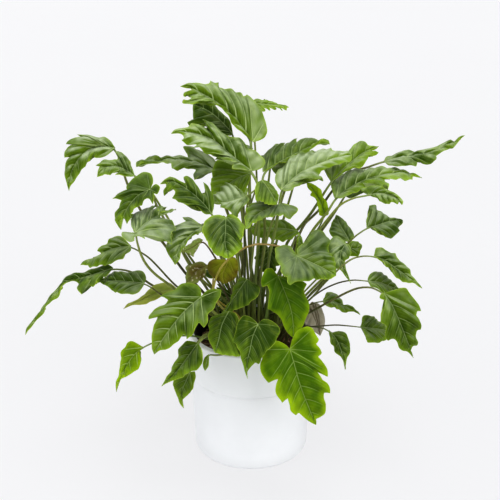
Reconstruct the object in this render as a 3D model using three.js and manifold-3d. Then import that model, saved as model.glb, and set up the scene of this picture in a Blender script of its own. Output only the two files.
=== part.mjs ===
// Philodendron xanadu, a bushy lobed-leaf aroid, growing in its round pot.
// Units are millimetres. +Z is up. The origin is the centre of the pot's underside, which stands on Z = 0.
// The side at -Y is the front. Every leaf is one solid: its blade and its stalk grew together.
import * as THREE from "three";
import { mergeVertices } from "three/addons/utils/BufferGeometryUtils.js";
import Module from "manifold-3d";

// ---- driving dimensions -------------------------------------------------------------------------
const POT_HEIGHT = 229; // floor to rim
const POT_RIM_RADIUS = 110; // outside, at the rim
const POT_FOOT_RADIUS = 99; // outside, where the wall meets the rounded foot
const POT_FOOT_FILLET = 10; // rounded edge between wall and underside
const POT_WALL = 8;
const POT_FLOOR = 10;
const BAND_BOTTOM = 150; // the upper band stands proud of the wall from here to the rim
const BAND_PROUD = 2;
const BAND_ROUND = 3; // rounding of the band's lower edge
const LINER_RADIUS = 99; // the black growing pot inside, outside radius at its rim
const LINER_FOOT_RADIUS = 84;
const LINER_RIM_Z = 222;
const LINER_WALL = 2;
const SOIL_TOP = 199.6; // surface of the bark mix
const SOIL_CLEAR = 0.4; // gap between neighbouring solids
const BLADE_THICKNESS = 1.3;
const STALK_RADIUS = 2.1;
const STALK_SIDES = 4;
const STALK_TURN = 0.47; // angle of the section's first corner
const STALK_STEPS = 6;
const STALK_THROUGH = 1.2; // how far the stalk runs on past the blade's base
const RIB_ROOT = 2.6; // half width of the blade where the stalk joins it
const RIB_HEEL = 2.4; // how far the blade reaches back over the end of the stalk
const RIB_TIP = 0.9; // half width of the drip tip
const ROUND_SEGMENTS = 28;
const JOIN_TOLERANCES = [0.05, 0.03, 0.08, 0.02, 0.012];

const wasm = await Module();
wasm.setup();

// ---- helpers ------------------------------------------------------------------------------------
const bare = (geometry) => {
  const g = geometry.index ? geometry.toNonIndexed() : geometry.clone();
  for (const name of Object.keys(g.attributes)) if (name !== "position") g.deleteAttribute(name);
  return g;
};
const solid = (geometry) => {
  const merged = mergeVertices(bare(geometry), 1e-3);
  return new wasm.Manifold(
    new wasm.Mesh({
      numProp: 3,
      vertProperties: new Float32Array(merged.attributes.position.array),
      triVerts: new Uint32Array(merged.index.array),
    }),
  );
};
const geometryOf = (manifold) => {
  const m = manifold.getMesh();
  const g = new THREE.BufferGeometry();
  g.setAttribute("position", new THREE.BufferAttribute(new Float32Array(m.vertProperties), m.numProp));
  g.setIndex(new THREE.BufferAttribute(new Uint32Array(m.triVerts), 1));
  const flat = g.toNonIndexed();
  flat.computeVertexNormals();
  return flat;
};
const points = (flat) => {
  const out = [];
  for (let i = 0; i < flat.length; i += 3) out.push(new THREE.Vector3(flat[i], flat[i + 1], flat[i + 2]));
  return out;
};
// A lathe profile is a list of [radius, height] that starts and ends on the axis.
const lathe = (profile, segments = ROUND_SEGMENTS) => {
  const g = new THREE.LatheGeometry(
    profile.map(([r, z]) => new THREE.Vector2(r, z)),
    segments,
  );
  g.rotateX(Math.PI / 2);
  return g;
};
const arc = (cr, cz, radius, from, to, steps) => {
  const out = [];
  for (let i = 0; i <= steps; i++) {
    const a = THREE.MathUtils.degToRad(from + ((to - from) * i) / steps);
    out.push([cr + radius * Math.cos(a), cz + radius * Math.sin(a)]);
  }
  return out;
};
const outerRadius = (z) => POT_FOOT_RADIUS + ((POT_RIM_RADIUS - BAND_PROUD - POT_FOOT_RADIUS) * z) / POT_HEIGHT;

// A blade is a box bent to the leaf: two strips run from the stalk to the tip, one each side of the midrib.
const blade = ({ left, rib, right }) => {
  const l = points(left), m = points(rib), r = points(right);
  const rows = m.length - 1;
  const box = new THREE.BoxGeometry(2, 1, rows, 2, 1, rows);
  const across = [], up = [];
  for (let i = 0; i <= rows; i++) {
    const along = new THREE.Vector3().subVectors(m[Math.min(i + 1, rows)], m[Math.max(i - 1, 0)]);
    const j = Math.min(Math.max(i, 1), rows - 1);
    const side = new THREE.Vector3().subVectors(r[j], l[j]);
    up.push(new THREE.Vector3().crossVectors(side, along).normalize());
    across.push(side.normalize());
  }
  const heel = new THREE.Vector3().subVectors(m[1], m[0]).normalize();
  const place = (i, column) => {
    if (column === 0) return m[i].clone();
    const half = i === 0 ? RIB_ROOT : i === rows ? RIB_TIP : 0;
    if (half) {
      const v = m[i].clone().addScaledVector(across[i], column * half);
      return i ? v : v.addScaledVector(heel, -RIB_HEEL);
    }
    return (column < 0 ? l[i] : r[i]).clone();
  };
  const p = box.attributes.position;
  for (let k = 0; k < p.count; k++) {
    const column = Math.round(p.getX(k)), side = Math.sign(p.getY(k)), i = Math.round(p.getZ(k) + rows / 2);
    const v = place(i, column).addScaledVector(up[i], (side * BLADE_THICKNESS) / 2);
    p.setXYZ(k, v.x, v.y, v.z);
  }
  return box;
};
// A stalk is a tube along a smooth curve through its points, run on just through the blade.
const stalk = ({ stalk: flat }) => {
  const path = points(flat), end = path.length - 1;
  const arriving = new THREE.Vector3().subVectors(path[end], path[end - 1]).normalize();
  path[end].addScaledVector(arriving, STALK_THROUGH);
  const section = new THREE.Shape(
    Array.from({ length: STALK_SIDES }, (_, i) => {
      const a = STALK_TURN + (2 * Math.PI * i) / STALK_SIDES;
      return new THREE.Vector2(STALK_RADIUS * Math.cos(a), STALK_RADIUS * Math.sin(a));
    }),
  );
  return new THREE.ExtrudeGeometry(section, {
    steps: STALK_STEPS,
    bevelEnabled: false,
    extrudePath: new THREE.CatmullRomCurve3(path, false, "centripetal"),
  });
};
const facingOut = (manifold) => {
  if (manifold.volume() >= 0) return manifold;
  throw new Error("a leaf's surface is turned inwards");
};
const flipped = (geometry) => {
  const g = geometry.index ? geometry.toNonIndexed() : geometry.clone();
  const p = g.attributes.position;
  for (let i = 0; i < p.count; i += 3) {
    const a = new THREE.Vector3().fromBufferAttribute(p, i + 1), b = new THREE.Vector3().fromBufferAttribute(p, i + 2);
    p.setXYZ(i + 1, b.x, b.y, b.z);
    p.setXYZ(i + 2, a.x, a.y, a.z);
  }
  return g;
};
const outward = (geometry) => {
  const s = solid(geometry);
  return s.volume() > 0 ? s : facingOut(solid(flipped(geometry)));
};
// Joining leaves points a few thousandths of a millimetre apart. They are drawn together, and the triangles that
// collapse are dropped, by the first tolerance that still gives one closed solid.
const tidy = (manifold) => {
  for (const tolerance of JOIN_TOLERANCES) {
    const merged = mergeVertices(bare(geometryOf(manifold)), tolerance);
    const index = Array.from(merged.index.array), kept = [];
    for (let i = 0; i < index.length; i += 3) {
      const [a, b, c] = index.slice(i, i + 3);
      if (a !== b && b !== c && a !== c) kept.push(a, b, c);
    }
    try {
      const drawn = new wasm.Manifold(
        new wasm.Mesh({
          numProp: 3,
          vertProperties: new Float32Array(merged.attributes.position.array),
          triVerts: new Uint32Array(kept),
        }),
      );
      if (drawn.decompose().length === 1 && drawn.volume() > 0) return drawn;
    } catch {
      // not closed at this tolerance: the next one is tried
    }
  }
  return manifold;
};
const leaf = (leaves) => {
  let whole = null;
  for (const one of leaves) {
    const grown = outward(blade(one)).add(outward(stalk(one)));
    whole = whole ? whole.add(grown) : grown;
  }
  return geometryOf(tidy(whole));
};

// ---- leaves -------------------------------------------------------------------------------------
// For each leaf: the stalk's centre line from the soil to the blade, then the blade's left edge, midrib and
// right edge from the stalk to the tip, point by point, as x, y, z. Several leaves in one entry grow from one base.
const LEAVES = {
  leaf_crown_top: [
    { stalk: [20.2,28.0,200.4,20.2,28.0,207.4,15.5,28.5,260.8,2.0,30.1,319.9,-0.6,31.0,380.2,-1.2,31.0,440.9,-2.8,30.7,501.5,3.0,30.0,561.5],
      left: [3.0,30.0,561.5,-8.7,34.2,570.6,-30.3,44.6,588.0,-57.1,53.3,603.5,-83.8,62.0,619.0,-98.9,67.2,626.1,-113.9,68.9,629.0,-112.4,74.2,632.5,-99.3,80.7,634.0,-101.0,84.3,636.3,-119.5,85.1,640.4],
      rib: [3.0,30.0,561.5,-1.8,34.5,567.1,-10.2,42.3,576.7,-26.1,55.5,592.7,-46.3,67.7,608.8,-59.4,73.8,617.5,-80.0,80.8,628.1,-87.0,82.6,631.3,-93.5,84.2,634.2,-105.7,85.8,638.3,-119.5,85.1,640.4],
      right: [3.0,30.0,561.5,21.4,40.4,564.9,26.5,50.1,572.0,16.5,78.1,599.6,-7.1,97.2,623.4,-18.9,94.5,624.3,-54.3,96.1,636.1,-62.8,104.5,644.9,-71.1,97.1,641.1,-101.2,93.2,644.9,-119.5,85.1,640.4] },
  ],
  leaf_top_shaded: [
    { stalk: [-11.1,31.7,200.4,-11.1,31.7,207.4,-11.4,32.4,261.8,-11.1,31.8,323.2,-11.2,31.9,384.6,-13.1,36.2,445.8,-19.2,49.5,505.3,-30.8,75.0,559.8],
      left: [-30.8,75.0,559.8,-44.4,72.9,555.1,-63.3,86.4,561.2,-89.3,103.3,566.1,-104.9,107.3,563.0,-110.3,116.2,567.2,-100.3,132.0,581.7,-100.7,144.5,590.3],
      rib: [-30.8,75.0,559.8,-35.7,80.9,563.3,-43.8,90.8,569.0,-59.4,108.4,578.1,-68.8,118.4,582.8,-76.6,125.2,585.1,-89.9,135.9,587.9,-100.7,144.5,590.3],
      right: [-30.8,75.0,559.8,-33.4,85.9,567.7,-36.1,96.7,575.6,-51.7,115.5,585.4,-59.6,125.3,590.3,-67.5,135.0,595.2,-83.3,143.8,595.9,-100.7,144.5,590.3] },
  ],
  leaf_top_broad: [
    { stalk: [4.0,-13.0,200.4,4.0,-13.0,207.4,4.7,-13.9,255.0,6.6,-16.9,309.6,10.0,-18.2,364.1,12.5,-17.5,418.6,12.3,-15.3,473.2,1.3,-12.0,525.9],
      left: [1.3,-12.0,525.9,-31.5,-19.3,533.9,-28.3,-9.7,539.1,-59.4,-12.3,548.8,-51.4,-6.1,550.0,-66.0,-9.4,553.0,-99.0,-2.3,563.4,-89.3,3.0,565.0,-115.7,8.2,571.0,-114.4,18.2,577.9,-132.6,20.0,579.9],
      rib: [1.3,-12.0,525.9,-9.0,-8.2,532.7,-12.7,-6.8,535.1,-25.6,-1.1,543.9,-29.8,1.0,546.8,-40.6,6.6,554.4,-62.4,17.5,568.8,-76.8,21.0,574.1,-103.9,23.3,580.6,-119.0,21.9,580.7,-132.6,20.0,579.9],
      right: [1.3,-12.0,525.9,19.5,-5.8,530.6,22.8,1.6,538.4,4.6,11.6,554.0,-3.7,11.8,555.7,-18.6,23.6,570.8,-38.5,24.7,573.9,-65.1,38.5,593.6,-99.8,33.6,592.7,-121.2,25.5,586.7,-132.6,20.0,579.9] },
  ],
  leaf_top_left_long: [
    { stalk: [-24.2,16.9,200.4,-24.2,16.9,207.4,-22.8,17.0,252.8,-18.9,17.3,305.0,-14.0,17.8,357.1,-29.9,27.1,405.6,-46.6,42.8,452.7,-59.9,61.6,499.7],
      left: [-59.9,61.6,499.7,-58.8,88.7,502.3,-91.3,138.4,507.1,-119.3,137.9,507.2,-109.6,112.7,504.5,-173.4,107.5,505.4,-196.1,86.8,504.9,-196.4,66.3,503.4],
      rib: [-59.9,61.6,499.7,-67.0,69.0,500.3,-79.0,81.5,501.2,-97.0,90.9,502.2,-124.7,98.7,503.2,-154.3,94.2,503.6,-178.4,79.4,503.5,-196.4,66.3,503.4],
      right: [-59.9,61.6,499.7,-78.3,48.0,499.5,-95.0,18.0,498.4,-93.9,59.7,500.5,-135.1,67.0,502.2,-137.4,80.2,502.8,-170.2,83.2,503.4,-196.4,66.3,503.4] },
  ],
  leaf_top_right_arched: [
    { stalk: [-1.6,15.2,200.4,-1.6,15.2,207.4,1.1,9.9,254.9,7.6,-3.5,307.5,17.7,-23.9,357.5,22.4,-21.9,411.7,20.0,-4.8,463.4,19.8,22.0,511.2],
      left: [19.8,22.0,511.2,18.3,53.7,515.4,21.9,81.4,519.6,51.8,124.8,528.6,56.6,106.4,526.9,76.2,128.9,531.7,91.5,120.1,532.1,103.8,126.3,534.5,118.9,112.9,533.8,127.8,119.8,534.9,135.5,100.4,532.7],
      rib: [19.8,22.0,511.2,30.0,32.6,514.0,41.3,43.8,517.1,60.3,60.3,521.7,68.1,66.9,523.4,79.9,76.7,525.9,88.1,83.4,527.6,94.5,88.5,528.8,107.1,98.4,531.2,121.5,99.8,532.0,135.5,100.4,532.7],
      right: [19.8,22.0,511.2,31.6,29.8,513.6,45.2,43.6,517.4,60.5,46.9,518.8,68.3,54.8,520.9,76.1,62.6,522.9,84.7,68.4,524.4,93.4,74.2,525.9,104.1,88.1,529.0,119.8,94.3,530.9,135.5,100.4,532.7] },
  ],
  leaf_top_right_broad: [
    { stalk: [28.0,-7.5,200.4,28.0,-7.5,207.4,28.1,-9.2,251.3,28.2,-13.2,302.0,28.5,-19.5,352.5,35.8,-25.0,402.5,43.8,-31.3,452.4,48.8,-38.1,502.5],
      left: [48.8,-38.1,502.5,42.4,-27.4,505.4,39.3,-11.3,509.7,46.4,19.0,517.7,69.0,51.3,525.3,96.8,74.0,529.6,122.9,86.3,530.6,136.6,87.3,530.2,137.8,76.9,527.6,165.5,82.8,526.4,171.7,71.9,523.1],
      rib: [48.8,-38.1,502.5,53.3,-31.0,504.5,57.5,-24.4,506.2,65.7,-11.5,509.7,77.9,3.7,513.4,99.9,25.9,518.0,114.1,37.8,520.2,122.0,43.5,520.9,144.1,58.8,522.9,163.8,68.1,523.1,171.7,71.9,523.1],
      right: [48.8,-38.1,502.5,66.8,-37.2,500.4,70.3,-29.6,502.7,80.4,-22.9,503.6,85.6,-12.5,506.6,121.1,2.2,506.3,113.1,12.4,511.3,118.5,21.8,513.9,153.4,48.4,517.4,169.3,59.0,518.8,171.7,71.9,523.1] },
  ],
  leaf_right_back_tall: [
    { stalk: [43.4,26.7,200.4,43.4,26.7,207.4,45.5,28.7,251.3,49.4,33.2,301.9,56.7,40.8,351.7,80.2,46.4,395.6,110.2,51.1,436.5,136.1,55.9,480.1],
      left: [136.1,55.9,480.1,124.9,76.7,494.0,141.0,92.0,501.1,158.9,106.6,506.7,181.4,138.2,521.0,190.6,145.1,523.2,207.7,137.7,515.7,223.9,141.6,514.3],
      rib: [136.1,55.9,480.1,143.6,65.3,484.8,159.7,84.6,494.1,176.3,102.6,501.9,195.4,121.4,509.0,203.5,127.2,510.5,212.4,133.5,512.2,223.9,141.6,514.3],
      right: [136.1,55.9,480.1,146.7,64.4,484.1,178.8,87.9,493.4,200.7,107.7,500.8,215.4,119.3,503.9,223.0,127.9,507.2,208.9,128.0,509.9,223.9,141.6,514.3] },
  ],
  leaf_right_long: [
    { stalk: [36.5,15.6,200.4,36.5,15.6,207.4,41.8,15.0,248.4,51.7,13.7,295.6,68.3,11.0,340.8,90.1,8.8,383.8,116.0,14.8,423.7,141.7,24.9,463.1],
      left: [141.7,24.9,463.1,137.5,43.9,468.3,136.7,63.7,473.3,144.5,82.1,477.2,156.9,89.7,478.0,179.3,115.9,482.9,221.9,124.5,481.5,255.2,124.4,478.7,272.4,119.7,475.8,283.8,110.0,472.1,297.1,103.2,469.1],
      rib: [141.7,24.9,463.1,147.5,32.2,464.5,161.4,49.5,467.8,172.0,60.4,469.6,183.1,71.9,471.5,202.3,86.7,473.5,223.3,99.9,474.9,244.5,108.5,475.1,274.8,112.0,473.4,284.7,108.6,471.6,297.1,103.2,469.1],
      right: [141.7,24.9,463.1,151.8,24.3,463.4,181.9,46.0,467.5,193.0,59.2,469.6,210.9,69.8,471.0,236.9,71.8,470.2,229.2,83.3,472.2,246.6,84.5,471.7,280.8,97.0,469.6,281.6,105.0,471.2,297.1,103.2,469.1] },
  ],
  leaf_right_far_long: [
    { stalk: [54.2,19.7,200.4,54.2,19.7,207.4,58.1,14.3,271.2,65.6,3.6,341.1,85.6,23.2,404.3,126.2,71.0,436.3,169.4,115.4,470.4,233.2,137.0,488.0],
      left: [233.2,137.0,488.0,237.3,145.4,491.4,247.9,146.8,494.7,258.7,150.9,498.8,270.8,150.2,501.9,292.5,140.7,505.3,309.7,140.2,510.1,325.0,137.7,513.8,337.8,144.8,519.6,369.1,147.6,529.7,374.4,149.4,531.9],
      rib: [233.2,137.0,488.0,240.5,137.0,490.0,249.5,137.0,492.4,266.8,134.2,496.4,275.9,132.3,498.4,291.2,129.9,502.0,304.8,128.3,505.4,317.0,128.7,509.0,329.5,130.0,513.0,356.4,140.8,524.1,374.4,149.4,531.9],
      right: [233.2,137.0,488.0,242.2,119.1,485.4,253.7,111.5,486.4,285.3,101.0,492.2,288.2,113.8,496.6,296.1,106.2,496.7,309.2,100.6,498.8,319.8,104.3,502.9,320.9,115.2,506.3,350.8,123.1,517.2,374.4,149.4,531.9] },
  ],
  leaf_right_drooping: [
    { stalk: [37.9,-28.5,200.4,37.9,-28.5,207.4,45.4,-27.0,257.3,59.1,-24.1,312.9,82.0,-17.8,365.1,111.2,-13.0,414.3,144.5,-13.5,461.0,195.3,-15.7,484.8],
      left: [195.3,-15.7,484.8,184.7,-1.4,485.3,181.8,6.1,487.8,200.6,-5.5,496.8,212.8,-16.2,501.0,234.9,-45.5,500.2,247.0,-66.9,493.9,244.5,-69.5,488.8],
      rib: [195.3,-15.7,484.8,199.8,-18.5,487.2,205.0,-21.5,489.9,209.4,-24.8,491.8,220.1,-35.1,494.4,234.6,-50.9,495.3,241.7,-64.3,490.7,244.5,-69.5,488.8],
      right: [195.3,-15.7,484.8,201.1,-25.5,485.1,208.5,-34.9,486.2,211.3,-42.0,484.7,223.2,-55.0,485.5,231.0,-57.5,488.3,237.7,-64.8,487.8,244.5,-69.5,488.8] },
  ],
  leaf_young_upright: [
    { stalk: [24.7,16.3,200.4,24.7,16.3,207.4,30.9,17.1,242.5,41.5,18.5,283.7,57.9,21.0,322.9,82.2,25.0,357.6,107.0,28.3,392.1,125.5,25.5,429.9],
      left: [125.5,25.5,429.9,115.1,22.2,433.1,113.4,28.8,446.9,110.0,33.4,456.1,99.8,35.4,463.5,103.3,40.3,467.9,96.6,43.8,473.8,93.3,50.8,482.0],
      rib: [125.5,25.5,429.9,124.3,26.8,433.8,121.0,30.3,444.1,117.1,34.0,452.7,113.4,37.3,460.2,108.8,40.4,465.9,99.6,46.5,475.8,93.3,50.8,482.0],
      right: [125.5,25.5,429.9,132.1,23.4,434.5,130.3,26.6,446.0,126.9,30.5,457.2,121.8,33.7,461.4,118.4,37.4,472.7,101.6,46.6,481.8,93.3,50.8,482.0] },
  ],
  leaf_centre_grey: [
    { stalk: [-5.8,-19.0,200.4,-5.8,-19.0,207.4,-4.5,-20.6,257.6,-2.1,-23.7,314.6,1.6,-27.9,371.6,7.2,-33.5,428.2,13.8,-41.0,484.5,-6.9,-52.0,497.5],
      left: [-6.9,-52.0,497.5,-15.1,-35.3,499.7,-26.8,-15.9,500.9,-38.7,2.8,497.1,-48.7,5.9,492.3,-55.3,-0.1,487.5,-61.8,-12.6,481.8,-62.3,-27.5,477.1],
      rib: [-6.9,-52.0,497.5,-10.2,-51.9,496.3,-21.3,-51.4,492.1,-36.9,-48.3,485.8,-44.9,-42.2,483.0,-50.2,-37.7,481.2,-54.8,-33.9,479.6,-62.3,-27.5,477.1],
      right: [-6.9,-52.0,497.5,-2.0,-62.2,494.6,-21.5,-70.0,483.8,-22.2,-85.6,476.2,-34.5,-68.4,477.9,-49.4,-54.6,476.6,-50.4,-43.2,479.9,-62.3,-27.5,477.1] },
  ],
  leaf_centre_small: [
    { stalk: [7.9,-2.0,200.4,7.9,-2.0,207.4,6.3,-5.7,256.1,2.3,-7.0,311.7,-2.4,-7.8,367.3,-4.5,-11.9,422.9,1.1,-24.6,476.7,17.5,-48.6,524.1],
      left: [17.5,-48.6,524.1,9.3,-59.8,523.3,6.1,-74.2,518.5,7.6,-88.4,510.4,12.4,-92.8,505.2,22.1,-90.7,500.9,31.7,-88.8,496.7,41.5,-82.4,495.0],
      rib: [17.5,-48.6,524.1,19.5,-51.2,522.1,22.8,-55.5,518.8,27.9,-62.4,513.3,31.7,-67.7,508.8,35.5,-73.3,503.7,39.0,-78.6,498.6,41.5,-82.4,495.0],
      right: [17.5,-48.6,524.1,27.3,-45.3,521.1,35.4,-49.4,515.8,41.9,-56.0,509.6,43.4,-61.9,505.9,44.9,-67.8,502.1,43.2,-75.1,498.5,41.5,-82.4,495.0] },
  ],
  leaf_centre_back: [
    { stalk: [-3.3,3.8,200.4,-3.3,3.8,207.4,-17.5,6.8,252.6,-24.2,2.2,306.2,-22.9,-7.5,359.5,-15.4,-15.8,412.6,-6.1,-12.0,465.6,-2.0,13.8,512.5],
      left: [-2.0,13.8,512.5,-12.0,21.0,516.9,-32.2,26.8,516.5,-50.7,29.0,512.1,-60.8,30.5,509.7,-62.4,20.1,497.5,-65.6,9.9,483.6,-63.9,1.0,472.7],
      rib: [-2.0,13.8,512.5,-8.1,13.2,510.0,-15.1,12.5,507.1,-23.9,11.4,503.1,-30.7,10.0,498.9,-40.4,7.9,492.7,-53.7,4.0,481.6,-63.9,1.0,472.7],
      right: [-2.0,13.8,512.5,-3.7,1.4,499.5,-7.8,-3.8,492.5,-12.0,-8.9,485.6,-22.0,-5.6,485.2,-32.0,-2.3,484.8,-48.8,1.6,481.5,-63.9,1.0,472.7] },
  ],
  leaf_centre_flat: [
    { stalk: [12.6,-22.5,200.4,12.6,-22.5,207.4,12.5,-30.0,249.3,13.5,-34.6,298.5,16.5,-37.1,347.8,22.7,-40.0,396.8,33.3,-46.9,444.5,48.4,-61.6,489.1],
      left: [48.4,-61.6,489.1,35.5,-55.6,491.1,17.5,-60.6,488.7,-0.4,-63.6,486.4,-10.1,-67.8,484.6,-11.7,-80.9,479.5,-12.5,-94.8,473.1,-10.0,-109.5,465.3],
      rib: [48.4,-61.6,489.1,44.0,-64.3,488.1,37.5,-68.2,486.5,31.0,-72.2,485.0,24.4,-76.1,483.1,16.0,-81.1,480.6,3.4,-93.3,474.2,-10.0,-109.5,465.3],
      right: [48.4,-61.6,489.1,69.4,-67.2,489.6,75.5,-81.1,486.6,71.9,-94.0,483.2,47.8,-98.6,479.9,38.2,-91.9,480.6,17.3,-96.7,475.6,-10.0,-109.5,465.3] },
  ],
  leaf_centre_folded: [
    { stalk: [16.8,-10.8,200.4,16.8,-10.8,207.4,18.4,-7.3,237.7,25.1,-4.2,274.4,36.5,-1.9,310.0,50.9,-0.5,344.6,66.1,-0.3,378.8,79.0,-1.9,413.9],
      left: [79.0,-1.9,413.9,69.1,8.6,416.8,62.6,21.5,420.5,52.6,30.2,422.4,32.1,31.8,420.8,18.5,36.8,420.6,6.5,32.0,417.0,-0.3,15.3,410.3],
      rib: [79.0,-1.9,413.9,72.6,0.1,414.2,67.1,1.9,414.5,58.0,4.7,414.9,40.8,8.6,414.4,25.0,11.6,413.3,9.8,13.8,411.5,-0.3,15.3,410.3],
      right: [79.0,-1.9,413.9,73.7,-11.2,408.8,65.1,-20.2,403.5,51.8,-16.4,403.7,35.1,-9.9,404.5,18.2,-6.4,403.0,3.1,0.9,403.5,-0.3,15.3,410.3] },
  ],
  leaf_left_lobed: [
    { stalk: [-11.6,-4.6,200.4,-11.6,-4.6,207.4,-14.2,-7.2,247.3,-18.2,-11.3,293.9,-24.5,-17.7,340.0,-33.9,-27.3,385.0,-47.2,-40.8,428.0,-64.1,-58.0,468.3],
      left: [-64.1,-58.0,468.3,-75.4,-63.8,470.7,-93.4,-57.5,482.2,-104.5,-62.7,484.3,-114.3,-60.7,488.8,-128.4,-51.5,496.5,-124.7,-43.4,499.4,-128.1,-38.2,502.6,-143.7,-38.4,502.7,-140.0,-27.8,509.1,-149.8,-28.6,509.4],
      rib: [-64.1,-58.0,468.3,-68.6,-54.1,472.5,-76.5,-47.2,480.0,-82.7,-42.7,485.0,-88.9,-38.8,489.4,-98.1,-33.1,495.9,-108.6,-28.6,501.5,-115.5,-25.5,505.2,-131.2,-22.0,511.0,-139.7,-24.1,510.9,-149.8,-28.6,509.4],
      right: [-64.1,-58.0,468.3,-61.0,-46.0,477.5,-62.9,-33.2,488.2,-71.3,-18.7,502.0,-80.1,-32.1,493.1,-84.4,-25.3,499.3,-97.8,-12.5,512.8,-106.1,-10.8,515.7,-117.3,-19.4,511.1,-133.9,-15.0,518.2,-149.8,-28.6,509.4] },
  ],
  leaf_centre_round: [
    { stalk: [-9.6,-37.0,200.4,-9.6,-37.0,207.4,-10.4,-43.1,251.0,-13.0,-49.1,301.5,-17.7,-57.1,351.5,-24.4,-69.6,400.4,-32.3,-89.8,446.4,-40.2,-118.0,488.0],
      left: [-40.2,-118.0,488.0,-49.7,-115.7,490.5,-71.8,-124.1,487.1,-76.4,-134.0,481.0,-76.9,-145.7,472.2,-68.0,-162.8,457.4,-60.0,-169.5,450.0,-34.9,-173.0,440.4],
      rib: [-40.2,-118.0,488.0,-40.2,-119.4,487.0,-40.3,-122.6,484.9,-40.5,-130.3,479.5,-40.8,-139.5,473.0,-40.6,-157.7,457.0,-38.3,-163.8,450.5,-34.9,-173.0,440.4],
      right: [-40.2,-118.0,488.0,-32.2,-116.5,490.8,-22.6,-123.4,488.5,-13.0,-141.1,478.8,-13.0,-152.3,469.9,-17.7,-167.0,452.4,-24.0,-170.2,446.9,-34.9,-173.0,440.4] },
  ],
  leaf_left_pale: [
    { stalk: [-17.2,-26.2,200.4,-17.2,-26.2,207.4,-20.6,-29.6,246.3,-26.1,-35.3,291.8,-34.5,-43.8,336.4,-46.0,-55.5,379.5,-60.8,-70.5,420.6,-78.1,-88.0,459.7],
      left: [-78.1,-88.0,459.7,-101.4,-66.4,466.4,-106.2,-72.4,461.9,-128.9,-75.7,454.5,-127.8,-105.5,437.3,-135.2,-103.8,436.6,-133.7,-121.9,425.3,-121.8,-140.2,414.2],
      rib: [-78.1,-88.0,459.7,-84.1,-91.2,456.4,-91.0,-94.9,452.7,-98.7,-99.8,447.8,-111.8,-111.2,437.2,-114.8,-116.7,432.9,-118.7,-126.9,424.8,-121.8,-140.2,414.2],
      right: [-78.1,-88.0,459.7,-81.0,-99.7,454.2,-90.7,-102.1,449.9,-98.7,-102.6,446.6,-108.0,-117.3,435.5,-112.6,-123.9,429.6,-114.0,-132.6,423.0,-121.8,-140.2,414.2] },
  ],
  leaf_left_far_arched: [
    { stalk: [-49.8,16.7,200.4,-49.8,16.7,207.4,-67.6,17.0,264.4,-106.5,17.7,318.3,-144.0,18.3,373.5,-179.5,18.9,430.0,-207.2,19.4,490.6,-226.2,20.0,554.5],
      left: [-226.2,20.0,554.5,-235.3,33.2,563.0,-246.2,43.4,566.4,-271.0,56.0,563.8,-299.1,62.8,555.2,-291.8,56.3,552.1,-314.3,53.8,535.1,-305.2,46.0,530.8,-313.3,36.5,514.6,-312.7,26.1,502.4,-305.1,9.4,482.0],
      rib: [-226.2,20.0,554.5,-233.9,24.6,554.1,-240.8,28.6,553.6,-257.2,35.9,550.0,-265.2,38.1,546.9,-277.5,39.6,539.9,-289.0,36.9,528.9,-294.7,32.9,520.1,-301.0,27.1,508.6,-303.7,18.2,495.0,-305.1,9.4,482.0],
      right: [-226.2,20.0,554.5,-234.3,15.1,547.5,-244.4,13.6,541.9,-260.2,20.4,537.6,-263.2,26.3,539.8,-268.9,21.2,531.1,-279.2,19.0,519.4,-287.9,18.0,510.9,-291.3,15.0,503.1,-301.7,11.6,488.3,-305.1,9.4,482.0] },
  ],
  leaf_left_upper: [
    { stalk: [-46.7,4.2,200.4,-46.7,4.2,207.4,-58.3,5.4,261.7,-85.9,8.7,317.3,-115.3,5.7,372.1,-140.0,-8.8,427.7,-160.3,-28.4,483.3,-188.3,-52.3,532.5],
      left: [-188.3,-52.3,532.5,-204.1,-9.1,549.3,-220.4,10.7,554.4,-223.6,8.6,551.6,-219.2,-8.0,543.7,-241.7,2.3,539.9,-249.6,-4.3,533.5,-253.6,-20.8,518.7],
      rib: [-188.3,-52.3,532.5,-200.1,-38.7,535.1,-206.7,-31.7,536.1,-213.7,-25.2,536.4,-218.7,-20.6,536.6,-240.1,-11.4,531.6,-247.1,-16.3,524.9,-253.6,-20.8,518.7],
      right: [-188.3,-52.3,532.5,-196.5,-52.2,530.7,-206.7,-46.8,530.4,-215.9,-33.1,533.0,-225.8,-32.6,530.2,-239.9,-24.9,523.8,-248.4,-22.6,520.3,-253.6,-20.8,518.7] },
  ],
  leaf_left_dark: [
    { stalk: [-16.9,6.2,200.4,-16.9,6.2,207.4,-34.0,3.6,261.0,-72.0,-1.1,310.7,-107.6,-11.4,361.2,-125.2,-33.4,417.8,-142.2,-59.9,472.6,-161.8,-89.9,524.7],
      left: [-161.8,-89.9,524.7,-157.2,-84.5,531.2,-163.0,-63.7,542.1,-174.9,-56.0,540.9,-202.5,-62.1,521.6,-198.6,-74.1,515.1,-218.5,-70.4,506.6,-207.8,-84.4,502.7,-218.6,-96.4,487.7,-217.9,-108.4,478.8,-207.3,-124.8,468.4],
      rib: [-161.8,-89.9,524.7,-163.7,-89.8,523.7,-166.0,-89.7,522.4,-167.6,-89.6,521.5,-173.5,-89.3,518.4,-180.3,-90.0,513.9,-190.0,-94.3,505.1,-196.3,-99.4,497.3,-203.1,-109.5,484.8,-204.5,-114.6,479.2,-207.3,-124.8,468.4],
      right: [-161.8,-89.9,524.7,-145.2,-97.6,531.2,-149.6,-107.8,523.3,-154.7,-102.4,522.9,-154.2,-112.6,518.4,-169.0,-107.0,512.7,-183.7,-106.7,502.3,-188.1,-114.9,493.6,-198.5,-122.3,477.7,-202.2,-113.4,482.6,-207.3,-124.8,468.4] },
  ],
  leaf_left_upturned: [
    { stalk: [-40.0,-22.4,200.4,-40.0,-22.4,207.4,-53.3,-35.7,253.5,-79.2,-62.7,295.3,-110.2,-91.0,333.2,-143.4,-111.9,374.0,-172.2,-129.8,418.7,-183.4,-144.9,471.9],
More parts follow.
